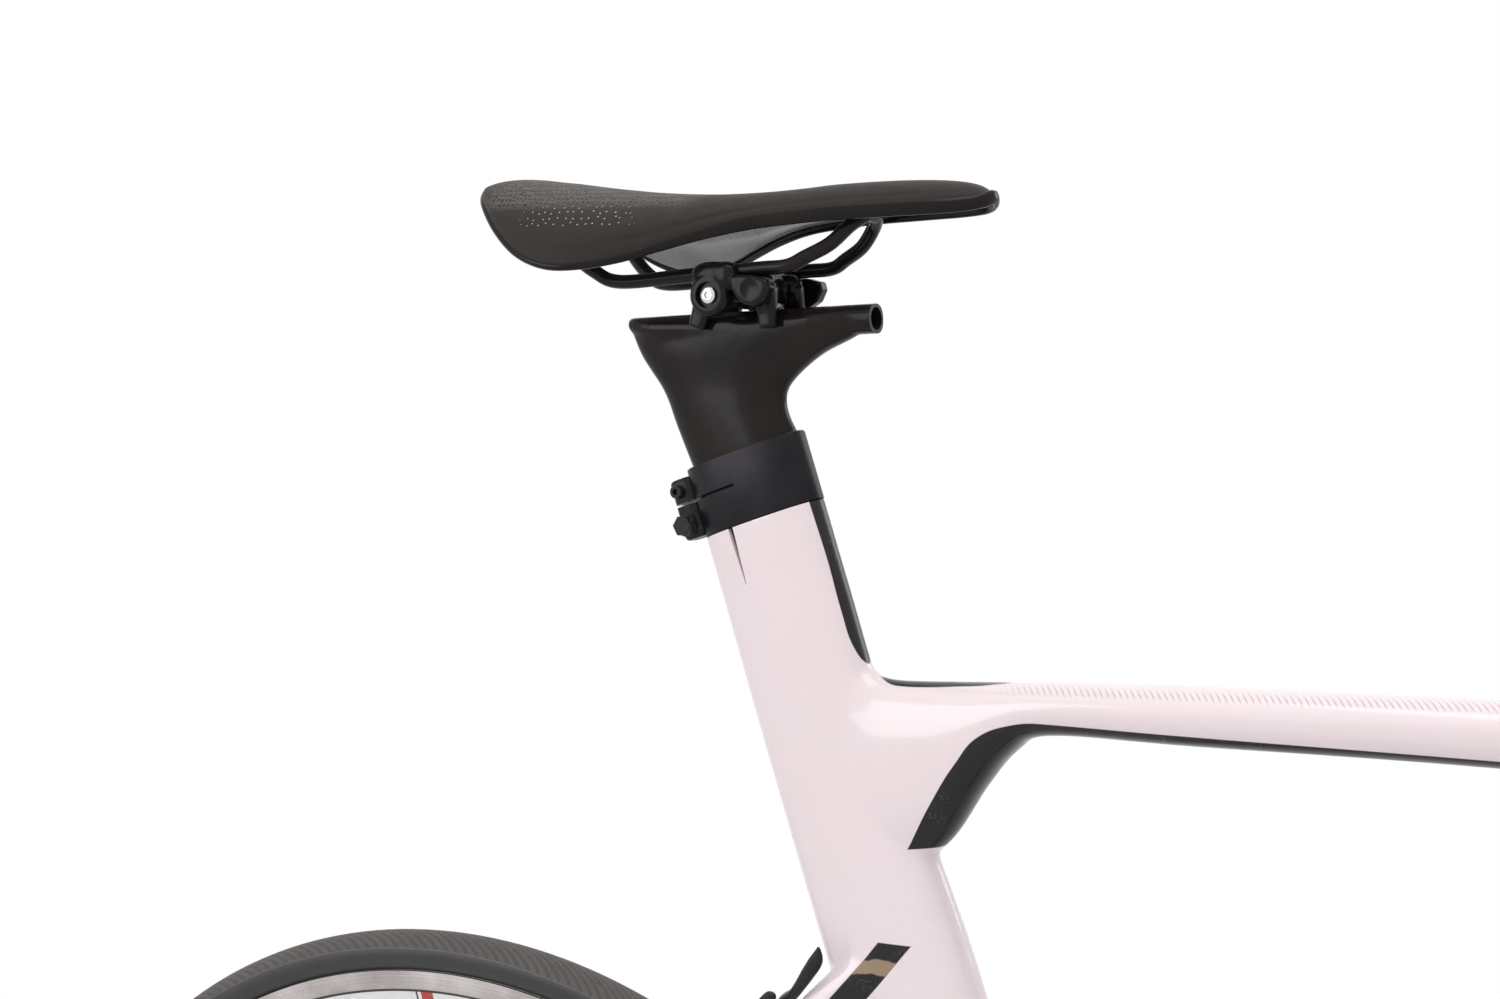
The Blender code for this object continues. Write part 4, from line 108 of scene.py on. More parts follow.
# %% Camera
lens = bpy.data.cameras.new("studio_camera")
lens.lens = 60
lens.sensor_width = 36
camera = bpy.data.objects.new("studio_camera", lens)
camera.location = (0.3053, -1.0542, 0.977)
camera.rotation_euler = (math.radians(86.70), math.radians(-0.06), math.radians(30.52))
bpy.context.scene.collection.objects.link(camera)
bpy.context.scene.camera = camera
bpy.context.scene.view_settings.view_transform = "Standard"
print("camera at", [round(value, 3) for value in camera.location])


# %% World and lamps
def lamp(name, place, aim, size, power, tint=(1, 1, 1)):
    """A soft square lamp that looks at a point."""
    light = bpy.data.lights.new(name, "AREA")
    light.shape = "SQUARE"
    light.size = size
    light.energy = power
    light.color = tint
    holder = bpy.data.objects.new(name, light)
    holder.location = place
    holder.rotation_euler = (Vector(aim) - Vector(place)).to_track_quat("-Z", "Y").to_euler()
    bpy.context.scene.collection.objects.link(holder)
    return holder


sky = bpy.data.worlds.new("studio")
bpy.context.scene.world = sky
sky.use_nodes = True
backdrop = sky.node_tree.nodes["Background"]
rays = sky.node_tree.nodes.new("ShaderNodeLightPath")
seen = sky.node_tree.nodes.new("ShaderNodeMath")
seen.operation = "MAXIMUM"
sky.node_tree.links.new(rays.outputs["Is Camera Ray"], seen.inputs[0])
sky.node_tree.links.new(rays.outputs["Is Transmission Ray"], seen.inputs[1])
glossy = sky.node_tree.nodes.new("ShaderNodeMath")
glossy.operation = "MAXIMUM"
sky.node_tree.links.new(seen.outputs[0], glossy.inputs[0])
sky.node_tree.links.new(rays.outputs["Is Glossy Ray"], glossy.inputs[1])
power = sky.node_tree.nodes.new("ShaderNodeMapRange")
power.inputs["To Min"].default_value = 0.58
power.inputs["To Max"].default_value = 1.0
sky.node_tree.links.new(glossy.outputs[0], power.inputs["Value"])
sky.node_tree.links.new(power.outputs[0], backdrop.inputs["Strength"])
backdrop.inputs["Color"].default_value = (1, 1, 1, 1)
lamp("overhead_softbox", (0.2, -0.6, 2.9), (0, 0, 0.6), 1.8, 26)
lamp("side_softbox", (-1.9, -2.1, 1.5), (-0.2, 0, 0.7), 1.3, 17)
lamp("far_softbox", (1.2, 2.4, 1.8), (0, 0, 0.6), 1.3, 13)

# %% [markdown]
# ## Making meshes
# Nearly every piece of a bicycle is a skin over rings: tubes, blades, a post, a saddle. One function
# makes more rings on a smooth curve through a few given ones, and another joins rings into a mesh.
# Turned pieces such as tyres and hubs are the same skin, closed on itself.


# %% Rings and skins
def eased(rows, steps):
    """More rows of numbers on a smooth curve through the given rows."""
    padded = [rows[0], *rows, rows[-1]]
    made = []
    for index in range(1, len(padded) - 2):
        for step in range(steps):
            t = step / steps
            made.append(tuple(
                0.5 * (2 * b + (c - a) * t + (2 * a - 5 * b + 4 * c - d) * t * t
                       + (3 * b - a - 3 * c + d) * t ** 3)
                for a, b, c, d in zip(*padded[index - 1:index + 3])))
    made.append(tuple(rows[-1]))
    return made


def oval(centre, across, along, wide, deep, sides=32, power=1.0):
    """A ring of points; a power under 1 squares its corners."""
    ring = []
    for step in range(sides):
        angle = math.tau * step / sides
        cosine = math.copysign(abs(math.cos(angle)) ** power, math.cos(angle))
        sine = math.copysign(abs(math.sin(angle)) ** power, math.sin(angle))
        ring.append(centre + across * wide * cosine + along * deep * sine)
    return ring


def mesh_object(name, points, faces, crease=42.0):
    """An object with outward faces, smooth except at edges sharper than the crease."""
    mesh = bpy.data.meshes.new(name)
    mesh.from_pydata([tuple(point) for point in points], [], faces)
    work = bmesh.new()
    work.from_mesh(mesh)
    bmesh.ops.recalc_face_normals(work, faces=work.faces)
    work.to_mesh(mesh)
    work.free()
    mesh.shade_smooth()
    mesh.set_sharp_from_angle(angle=math.radians(crease))
    thing = bpy.data.objects.new(name, mesh)
    bpy.context.scene.collection.objects.link(thing)
    return thing


def skin(name, rings, closed=False, crease=42.0):
    """A skin over rings with the same number of points."""
    count = len(rings[0])
    points = [point for ring in rings for point in ring]
    faces = []
    for span in range(len(rings) if closed else len(rings) - 1):
        here = span * count
        there = (span + 1) % len(rings) * count
        for corner in range(count):
            beside = (corner + 1) % count
            faces.append((here + corner, here + beside, there + beside, there + corner))
    if not closed:
        faces.append(tuple(reversed(range(count))))
        faces.append(tuple(range(len(points) - count, len(points))))
    return mesh_object(name, points, faces, crease)


def square_frame(axis):
    """Two directions square to an axis and to each other."""
    across = axis.cross(UP if abs(axis.z) < 0.9 else FORWARD).normalized()
    return across, axis.cross(across).normalized()


def turned(name, outline, centre, axis=SIDE, steps=64, closed=True, crease=42.0):
    """A piece turned round an axis from an outline of (radius, place along the axis)."""
    across, along = square_frame(axis)
    if not closed:
        rings = [oval(centre + axis * place, across, along, radius, radius, steps)
                 for radius, place in outline]
        return skin(name, rings, crease=crease)
    rings = []
    for step in range(steps):
        angle = math.tau * step / steps
        outward = across * math.cos(angle) + along * math.sin(angle)
        rings.append([centre + outward * radius + axis * place for radius, place in outline])
    return skin(name, rings, closed=True, crease=crease)


def path_frames(path, side=None):
    """A point, an across and an along direction at each point of a path."""
    frames = []
    across = side
    for index, point in enumerate(path):
        direction = (path[min(index + 1, len(path) - 1)] - path[max(index - 1, 0)]).normalized()
        if across is None:
            across = square_frame(direction)[0]
        along = direction.cross(side if side is not None else across).normalized()
        across = along.cross(direction).normalized()
        frames.append((point, across, along))
    return frames


def swept(name, path, sizes, sides=24, side=None, power=1.0):
    """A bar along a path, with half its width and half its depth at each point."""
    rings = [oval(point, across, along, wide, deep, sides, power)
             for (point, across, along), (wide, deep) in zip(path_frames(path, side), sizes)]
    return skin(name, rings)


def blade(name, rows, side=SIDE, steps=6, sides=28, power=1.0):
    """A bar from rows of (x, y, z, half width, half depth)."""
    fine = eased(rows, steps)
    return swept(name, [Vector(row[:3]) for row in fine], [row[3:] for row in fine], sides, side,
                 power)


def prism(name, outline, low, high):
    """A plate from an outline of (x, z) between two places in y."""
    return skin(name, [[Vector((x, y, z)) for x, z in outline] for y in (low, high)])


def mirrored(thing, name):
    """A copy of a piece on the other side of the bicycle."""
    points = [Vector((vertex.co.x, -vertex.co.y, vertex.co.z)) for vertex in thing.data.vertices]
    return mesh_object(name, points, [tuple(face.vertices) for face in thing.data.polygons])


def gathered(name, things, crease=42.0):
    """One object from several, which go away."""
    points = []
    faces = []
    for thing in things:
        start = len(points)
        points += [vertex.co.copy() for vertex in thing.data.vertices]
        faces += [tuple(start + corner for corner in face.vertices)
                  for face in thing.data.polygons]
        bpy.data.objects.remove(thing)
    return mesh_object(name, points, faces, crease)


# %% [markdown]
# A carbon frame has no seams where its tubes meet. The tubes are lofted one by one, then voxels melt
# them into one skin and a few rounds of smoothing make the fillets. Bores and slots are cut last, so
# that they stay crisp.


# %% Melting and cutting
def settled(thing):
    """The piece with its modifiers made part of its mesh."""
    shaped = thing.evaluated_get(bpy.context.evaluated_depsgraph_get())
    mesh = bpy.data.meshes.new_from_object(shaped)
    thing.modifiers.clear()
    thing.data = mesh
    return thing


def melted(thing, voxel, rounds):
    """One skin from overlapping shells, with smoothed joints."""
    melt = thing.modifiers.new("melt", "REMESH")
    melt.mode = "VOXEL"
    melt.voxel_size = voxel
    melt.use_smooth_shade = True
    ease = thing.modifiers.new("ease", "SMOOTH")
    ease.factor = 0.5
    ease.iterations = rounds
    return settled(thing)


def cut(thing, cutters, crease=42.0):
    """The piece without the space of the cutters, which go away."""
    for cutter in cutters:
        saw = thing.modifiers.new("saw", "BOOLEAN")
        saw.operation = "DIFFERENCE"
        saw.solver = "MANIFOLD"
        saw.object = cutter
    settled(thing)
    for cutter in cutters:
        bpy.data.objects.remove(cutter)
    thing.data.shade_smooth()
    thing.data.set_sharp_from_angle(angle=math.radians(crease))
    print(thing.name, len(thing.data.polygons), "faces after cutting")
    return thing


def rounded(thing, width, segments=2, angle=34.0):
    """The piece with small round edges, as moulding and tumbling leave them."""
    edge = thing.modifiers.new("edge", "BEVEL")
    edge.width = width
    edge.segments = segments
    edge.limit_method = "ANGLE"
    edge.angle_limit = math.radians(angle)
    edge.harden_normals = True
    return thing


# %% [markdown]
# ## Finishes
# Each finish is a node tree. What several of them need, such as fine grain, scuffs and dust, is a
# node group that is built once and placed with its own values. Object coordinates are metres on the
# bicycle, so a stripe is painted where it is on the real one.


# %% Node helpers
def work_out(tree, operation, *terms):
    """A Math node on sockets or numbers; its result."""
    step = tree.nodes.new("ShaderNodeMath")
    step.operation = operation
    for socket, term in zip(step.inputs, terms):
        if isinstance(term, (int, float)):
            socket.default_value = term
        else:
            tree.links.new(term, socket)
    return step.outputs[0]


def blended(tree, mask, first, second):
    """A colour between two, by a mask; each is a socket or a colour."""
    step = tree.nodes.new("ShaderNodeMix")
    step.data_type = "RGBA"
    if isinstance(mask, (int, float)):
        step.inputs[0].default_value = mask
    else:
        tree.links.new(mask, step.inputs[0])
    for index, colour in ((6, first), (7, second)):
        if isinstance(colour, tuple):
            step.inputs[index].default_value = (*colour, 1)
        else:
            tree.links.new(colour, step.inputs[index])
    return step.outputs[2]


def stepped(tree, value, edge, soft):
    """A mask that rises from 0 to 1 over a soft width round an edge."""
    step = tree.nodes.new("ShaderNodeMapRange")
    step.inputs["From Min"].default_value = edge - soft
    step.inputs["From Max"].default_value = edge + soft
    tree.links.new(value, step.inputs["Value"])
    return step.outputs[0]


def between(tree, value, low, high, soft):
    """A mask that is 1 between two values."""
    rise = stepped(tree, value, low, soft)
    return work_out(tree, "SUBTRACT", rise, stepped(tree, value, high, soft))


def places(tree):
    """The x, y and z of the surface on the bicycle, in metres, and the vector itself."""
    source = tree.nodes.new("ShaderNodeTexCoord")
    split = tree.nodes.new("ShaderNodeSeparateXYZ")
    tree.links.new(source.outputs["Object"], split.inputs[0])
    return (*split.outputs, source.outputs["Object"])


def shared(name, inputs, outputs):
    """An empty node group with named sockets: the tree, what goes in and what comes out."""
    tree = bpy.data.node_groups.new(name, "ShaderNodeTree")
    for label, value in inputs:
        socket = tree.interface.new_socket(name=label, in_out="INPUT",
                                           socket_type="NodeSocketFloat")
        socket.default_value = value
    for label in outputs:
        tree.interface.new_socket(name=label, in_out="OUTPUT", socket_type="NodeSocketFloat")
    return tree, tree.nodes.new("NodeGroupInput").outputs, tree.nodes.new("NodeGroupOutput").inputs


def noise(tree, scale, detail=3.0, rough=0.55):
    """A noise over the bicycle's own coordinates; its value."""
    step = tree.nodes.new("ShaderNodeTexNoise")
    step.inputs["Detail"].default_value = detail
    step.inputs["Roughness"].default_value = rough
    tree.links.new(places(tree)[3], step.inputs["Vector"])
    if isinstance(scale, (int, float)):
        step.inputs["Scale"].default_value = scale
    else:
        tree.links.new(scale, step.inputs["Scale"])
    return step.outputs[0]


def placed(tree, group, **values):
    """A shared group in a material, with its values; its outputs."""
    step = tree.nodes.new("ShaderNodeGroup")
    step.node_tree = group
    for label, value in values.items():
        step.inputs[label].default_value = value
    return step.outputs


# %% Shared groups: grain, scuffs and dust
grain, into, out = shared("grain", (("Size", 900.0), ("Low", 0.3), ("High", 0.5)),
                          ("Value", "Height"))
speck = noise(grain, into["Size"])
spread = grain.nodes.new("ShaderNodeMapRange")
spread.inputs["From Min"].default_value = 0.3
spread.inputs["From Max"].default_value = 0.7
grain.links.new(speck, spread.inputs["Value"])
grain.links.new(into["Low"], spread.inputs["To Min"])
grain.links.new(into["High"], spread.inputs["To Max"])
grain.links.new(spread.outputs[0], out["Value"])
grain.links.new(speck, out["Height"])

scuff, into, out = shared("scuff", (("Amount", 0.3), ("Size", 45.0)), ("Mask",))
patches = noise(scuff, into["Size"], 5.0, 0.7)
lines = noise(scuff, 700.0, 2.0, 0.6)
rubbed = work_out(scuff, "MULTIPLY", stepped(scuff, patches, 0.62, 0.06),
                  stepped(scuff, lines, 0.56, 0.05))
scuff.links.new(work_out(scuff, "MULTIPLY", rubbed, into["Amount"]), out["Mask"])

dust, into, out = shared("dust", (("Amount", 0.2),), ("Mask",))
facing = dust.nodes.new("ShaderNodeNewGeometry")
lean = dust.nodes.new("ShaderNodeSeparateXYZ")
dust.links.new(facing.outputs["Normal"], lean.inputs[0])
settle = work_out(dust, "MULTIPLY", stepped(dust, lean.outputs[2], 0.7, 0.3),
                  stepped(dust, noise(dust, 160.0, 4.0), 0.52, 0.14))
dust.links.new(work_out(dust, "MULTIPLY", settle, into["Amount"]), out["Mask"])
print("shared groups:", [group.name for group in bpy.data.node_groups])

# %% [markdown]
# One recipe serves the plain finishes: two close tones mixed by grain, a roughness that varies with
# it, a few scuffs that are lighter and rougher, and a little dust on what faces up.


# %% The plain finishes
def fresh(name):
    """A new material: itself, its tree and its shader."""
    finish = bpy.data.materials.new(name)
    finish.use_nodes = True
    return finish, finish.node_tree, finish.node_tree.nodes["Principled BSDF"]


def bumped(tree, shader, height, strength, distance):
    """A height on the surface as small bumps."""
    bump = tree.nodes.new("ShaderNodeBump")
    bump.inputs["Strength"].default_value = strength
    bump.inputs["Distance"].default_value = distance
    tree.links.new(height, bump.inputs["Height"])
    tree.links.new(bump.outputs[0], shader.inputs["Normal"])


def plain_finish(name, dark, light, rough, metallic=0.0, size=900.0, worn=0.3, worn_colour=None,
                 bump=0.15, coat=0.0, dusty=0.12, tint_size=30.0, shine=0.5):
    """A finish of two close tones with grain, scuffs and dust."""
    finish, tree, shader = fresh(name)
    fine = placed(tree, grain, Size=size, Low=rough[0], High=rough[1])
    rubs = placed(tree, scuff, Amount=worn)["Mask"]
    dusts = placed(tree, dust, Amount=dusty)["Mask"]
    tone = blended(tree, stepped(tree, noise(tree, tint_size), 0.5, 0.2), dark, light)
    tone = blended(tree, rubs, tone, worn_colour or tuple(min(1, c * 2 + 0.04) for c in light))
    tone = blended(tree, dusts, tone, (0.42, 0.40, 0.37))
    tree.links.new(tone, shader.inputs["Base Color"])
    gloss = work_out(tree, "ADD", fine["Value"], work_out(tree, "MULTIPLY", rubs, 0.25))
    tree.links.new(work_out(tree, "ADD", gloss, work_out(tree, "MULTIPLY", dusts, 0.3)),
                   shader.inputs["Roughness"])
    shader.inputs["Metallic"].default_value = metallic
    shader.inputs["Coat Weight"].default_value = coat
    shader.inputs["Coat Roughness"].default_value = 0.08
    shader.inputs["Specular IOR Level"].default_value = shine
    bumped(tree, shader, fine["Height"], bump, 0.0002)
    return finish


gloss_black = plain_finish("gloss black lacquer", (0.0075, 0.0065, 0.0060), (0.0150, 0.0115, 0.0100),
                           (0.16, 0.26), worn=0.08, worn_colour=(0.035, 0.032, 0.030), bump=0.03,
                           coat=0.05, dusty=0.04, size=500.0, tint_size=22.0, shine=0.13)
# The shell's grey tone is a painted reflection of the pale floor and backdrop; its grain, scuffs and dust are its
# own.
shell_painted_reflection_grey = plain_finish("saddle shell grey", (0.190, 0.186, 0.195), (0.240, 0.234, 0.245),
                          (0.20, 0.30), worn=0.2, worn_colour=(0.16, 0.16, 0.16), coat=0.3)
black_metal = plain_finish("black painted metal", (0.012, 0.012, 0.013), (0.022, 0.021, 0.022),
                           (0.30, 0.42), worn=0.25, worn_colour=(0.16, 0.16, 0.17), dusty=0.05,
                           shine=0.20)
anodised = plain_finish("black anodised alloy", (0.011, 0.0095, 0.011), (0.020, 0.018, 0.022),
                        (0.28, 0.40), metallic=0.55, worn=0.18, worn_colour=(0.12, 0.12, 0.13),
                        dusty=0.05, shine=0.22)
silver = plain_finish("polished alloy", (0.58, 0.58, 0.60), (0.70, 0.70, 0.71), (0.16, 0.28),
                      metallic=1.0, worn=0.4, worn_colour=(0.4, 0.4, 0.41), size=1400.0)
steel = plain_finish("plated steel", (0.38, 0.38, 0.39), (0.52, 0.51, 0.50), (0.22, 0.36),
                     metallic=1.0, worn=0.5, worn_colour=(0.22, 0.20, 0.18), size=1200.0)
black_plastic = plain_finish("moulded black plastic", (0.016, 0.016, 0.017),
                             (0.026, 0.026, 0.027), (0.42, 0.56), size=1600.0, bump=0.3)
hood_rubber = plain_finish("hood rubber", (0.014, 0.014, 0.014), (0.022, 0.021, 0.021),
                           (0.58, 0.72), size=2600.0, bump=0.5, worn=0.2)


def fitted(thing, body, finish, *nodes):
    """The piece with its finish, riding on its body, in place of the named nodes."""
    thing.data.materials.clear()
    thing.data.materials.append(finish)
    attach(thing, body)
    if nodes:
        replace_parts(thing, *nodes)
    return thing


# %% [markdown]
# ## The white paint
# The frame is glossy white with a cool pink tone. A black line runs down the front of the seat tube,
# turns with it into the top tube and fades out there. A second one follows the gusset and the
# underside of the top tube, and short bars mark the seatstays. Fine slanted ticks are printed on the
# top tube's upper side. All are masks of the place on the bicycle, so their edges are sharp at any
# distance, which an unwrapped texture would not give.


# %% White paint
def curve_mask(tree, along, value, points, low, high):
    """1 where the value is above a curve of (along, value) points."""
    start, end = points[0][0], points[-1][0]
    share = tree.nodes.new("ShaderNodeMapRange")
    share.inputs["From Min"].default_value = start
    share.inputs["From Max"].default_value = end
    tree.links.new(along, share.inputs["Value"])
    curve = tree.nodes.new("ShaderNodeFloatCurve")
    tree.links.new(share.outputs[0], curve.inputs["Value"])
    line = curve.mapping.curves[0]
    shown = [((x - start) / (end - start), (y - low) / (high - low)) for x, y in points]
    line.points[0].location = shown[0]
    line.points[1].location = shown[-1]
    for place in shown[1:-1]:
        line.points.new(*place)
    for point in line.points:
        point.handle_type = "AUTO_CLAMPED"
    curve.mapping.update()
    level = work_out(tree, "MULTIPLY_ADD", curve.outputs[0], high - low, low)
    return stepped(tree, work_out(tree, "SUBTRACT", value, level), 0.0, 0.0002)


def joined(tree, *masks):
    """All masks at once."""
    made = masks[0]
    for mask in masks[1:]:
        made = work_out(tree, "MULTIPLY", made, mask)
    return made


NOSE_LINE = ((0.0229, 0.0300), (0.0329, -0.0040), (0.0410, -0.0269), (0.0498, -0.0516),
             (0.0575, -0.0753), (0.0636, -0.0918), (0.0712, -0.1030), (0.0806, -0.1083),
             (0.0900, -0.1096), (0.1040, -0.1090), (0.1200, -0.1076), (0.1350, -0.1060),
             (0.1500, -0.1030), (0.1700, -0.0900))
GUSSET_LINE = ((0.0875, -0.1990), (0.0962, -0.1850), (0.1095, -0.1619), (0.1222, -0.1425),
               (0.1349, -0.1284), (0.1485, -0.1228), (0.1646, -0.1205), (0.2300, -0.1208),
               (0.3704, -0.1206), (0.5118, -0.1235), (0.6300, -0.1340))
TICK_STEP = 0.0031


def white_paint_finish():
    """The frame's paint, with its lines and ticks."""
    finish, tree, shader = fresh("white gloss paint")
    x, y, z, _ = places(tree)
    ahead = work_out(tree, "SUBTRACT", x, SEAT_TOP.x)
    up = work_out(tree, "SUBTRACT", z, SEAT_TOP.z)
    out = work_out(tree, "ABSOLUTE", y)
    nose = joined(tree, curve_mask(tree, ahead, up, NOSE_LINE, -0.2, 0.05),
                  between(tree, ahead, 0.020, 0.160, 0.0002), stepped(tree, up, -0.118, 0.001))
    above = curve_mask(tree, ahead, up, GUSSET_LINE, -0.25, 0.0)
    gusset = joined(tree, work_out(tree, "SUBTRACT", 1.0, above),
                    between(tree, ahead, 0.088, 0.620, 0.0003),
                    stepped(tree, work_out(tree, "MULTIPLY_ADD", ahead, -0.11, up), -0.1966,
                            0.0002))
    from_stay = work_out(tree, "SUBTRACT", work_out(tree, "MULTIPLY", ahead, 0.777),
                         work_out(tree, "MULTIPLY", up, 0.630))
    stay = joined(tree, between(tree, from_stay, 0.2097, 0.2230, 0.0002),
                  between(tree, up, -0.3300, -0.2310, 0.0002), stepped(tree, out, 0.0105, 0.0002))
    warp = work_out(tree, "MULTIPLY_ADD", noise(tree, 45.0), 0.012, up)
    tan = joined(tree, stay, between(tree, warp, -0.2420, -0.2350, 0.0004))
    black = work_out(tree, "MAXIMUM", work_out(tree, "MAXIMUM", nose, gusset), stay)
    slant = work_out(tree, "MULTIPLY_ADD", up, 0.31, work_out(tree, "MULTIPLY_ADD", out, -0.59,
                                                              ahead))
    tick = between(tree, work_out(tree, "FRACT", work_out(tree, "DIVIDE", slant, TICK_STEP)),
                   0.30, 0.56, 0.06)
    top_edge = work_out(tree, "ADD", up, work_out(tree, "MULTIPLY", ahead, -0.0330))
    ticks = joined(tree, tick, between(tree, top_edge, -0.1128, -0.1098, 0.0009),
                   between(tree, ahead, 0.150, 0.560, 0.012))
    tone = blended(tree, noise(tree, 6.0), (0.90, 0.765, 0.775), (0.90, 0.785, 0.825))
    tone = blended(tree, work_out(tree, "MULTIPLY", ticks, 0.55), tone, (0.34, 0.31, 0.27))
    tone = blended(tree, black, tone, (0.011, 0.0095, 0.0095))
    tone = blended(tree, work_out(tree, "MULTIPLY", tan, 0.8), tone, (0.42, 0.30, 0.20))
    rubs = placed(tree, scuff, Amount=0.10, Size=30.0)["Mask"]
    tone = blended(tree, rubs, tone, (0.50, 0.47, 0.46))
    dusts = placed(tree, dust, Amount=0.06)["Mask"]
    tree.links.new(blended(tree, dusts, tone, (0.42, 0.40, 0.37)), shader.inputs["Base Color"])
    peel = placed(tree, grain, Size=260.0, Low=0.16, High=0.24)
    tree.links.new(work_out(tree, "ADD", peel["Value"], work_out(tree, "MULTIPLY", rubs, 0.8)),
                   shader.inputs["Roughness"])
    tree.links.new(work_out(tree, "MULTIPLY_ADD", black, -0.46, 0.5), shader.inputs["Coat Weight"])
    shader.inputs["Coat Roughness"].default_value = 0.06
    shader.inputs["Specular IOR Level"].default_value = 0.30
    bumped(tree, shader, peel["Height"], 0.05, 0.0002)
    return finish


white_paint = white_paint_finish()

# %% [markdown]
# ## The saddle cover's finish
# The cover is dark brown microfibre, a soft matt cloth with a faint sheen. Small cells are pressed
# into its upper rear, and gold specks are strewn below them on each wing. The cells are a Voronoi
# pattern, kept to one area by masks; modelling thousands of dents would cost far more.


# %% Saddle microfibre
GOLD_FIRST, GOLD_LAST = -0.0890, -0.0360
GOLD_LOW, GOLD_HIGH = 0.1080, 0.1180
GOLD_SHARE = 0.75


def microfibre_finish():
    """The saddle's cover, with pressed cells and gold specks."""
    finish, tree, shader = fresh("saddle microfibre")
    x, y, z, spot = places(tree)
    ahead = work_out(tree, "SUBTRACT", x, SEAT_TOP.x)
    up = work_out(tree, "SUBTRACT", z, SEAT_TOP.z)
    out = work_out(tree, "ABSOLUTE", y)
    cells = tree.nodes.new("ShaderNodeTexVoronoi")
    cells.feature = "DISTANCE_TO_EDGE"
    cells.inputs["Scale"].default_value = 400.0
    cells.inputs["Randomness"].default_value = 0.45
    tree.links.new(spot, cells.inputs["Vector"])
    area = joined(tree, between(tree, ahead, -0.120, -0.014, 0.007),
                  between(tree, out, 0.010, 0.060, 0.004), stepped(tree, up, 0.1185, 0.0022))
    pressed = joined(tree, area, work_out(tree, "SUBTRACT", 1.0,
                                          stepped(tree, cells.outputs["Distance"], 0.17, 0.05)))
    spots = tree.nodes.new("ShaderNodeTexVoronoi")
    spots.voronoi_dimensions = "2D"
    spots.inputs["Scale"].default_value = 250.0
    spots.inputs["Randomness"].default_value = 0.55
    flat = tree.nodes.new("ShaderNodeCombineXYZ")
    tree.links.new(ahead, flat.inputs[0])
    tree.links.new(work_out(tree, "MULTIPLY", up, 1.4), flat.inputs[1])
    tree.links.new(flat.outputs[0], spots.inputs["Vector"])
    dots = work_out(tree, "SUBTRACT", 1.0, stepped(tree, spots.outputs["Distance"], 0.09, 0.03))
    band = joined(tree, between(tree, ahead, GOLD_FIRST, GOLD_LAST, 0.0060),
                  between(tree, up, GOLD_LOW, GOLD_HIGH, 0.0010), GOLD_SHARE)
    gold = joined(tree, band, dots, stepped(tree, out, 0.030, 0.002))
    fibre = placed(tree, grain, Size=3200.0, Low=0.60, High=0.78)
    tone = blended(tree, noise(tree, 40.0), (0.0145, 0.0105, 0.0094), (0.0215, 0.0158, 0.0144))
    tone = blended(tree, work_out(tree, "MULTIPLY", pressed, 0.75), tone, (0.105, 0.098, 0.092))
    tone = blended(tree, gold, tone, (0.80, 0.60, 0.36))
    rubs = placed(tree, dust, Amount=0.05)["Mask"]
    tree.links.new(blended(tree, rubs, tone, (0.30, 0.28, 0.26)), shader.inputs["Base Color"])
    tree.links.new(work_out(tree, "SUBTRACT", fibre["Value"], work_out(tree, "MULTIPLY", gold, 0.3)),
                   shader.inputs["Roughness"])
    shader.inputs["Sheen Weight"].default_value = 0.10
    shader.inputs["Sheen Roughness"].default_value = 0.45
    shader.inputs["Sheen Tint"].default_value = (0.75, 0.62, 0.56, 1)
    shader.inputs["Specular IOR Level"].default_value = 0.30
    relief = work_out(tree, "ADD", work_out(tree, "MULTIPLY", fibre["Height"], 0.25),
                      work_out(tree, "MULTIPLY", pressed, -0.8))
    bumped(tree, shader, relief, 0.6, 0.0004)
    return finish


microfibre = microfibre_finish()

# %% [markdown]
# ## Finishes for the wheels
# A tyre has a fine file tread in its middle and smooth sidewalls. A rim has bare brake tracks with
# round brush marks from the blocks, and a white body with thin lines. Both are functions of the
# distance from the axle. The two axles are the same distance from the middle of the bicycle, so the
# size of x serves both wheels with one finish.


# %% Tyre rubber and rim
def wheel_places(tree):
    """The distance from the axle, the angle round it and the distance from the wheel's plane."""
    x, y, z, _ = places(tree)
    along = work_out(tree, "SUBTRACT", work_out(tree, "ABSOLUTE", x), HALF_BASE)
    up = work_out(tree, "SUBTRACT", z, WHEEL_RADIUS)
    radius = work_out(tree, "SQRT", work_out(tree, "ADD", work_out(tree, "MULTIPLY", along, along),
                                             work_out(tree, "MULTIPLY", up, up)))
    return radius, work_out(tree, "ARCTAN2", up, along), work_out(tree, "ABSOLUTE", y), y


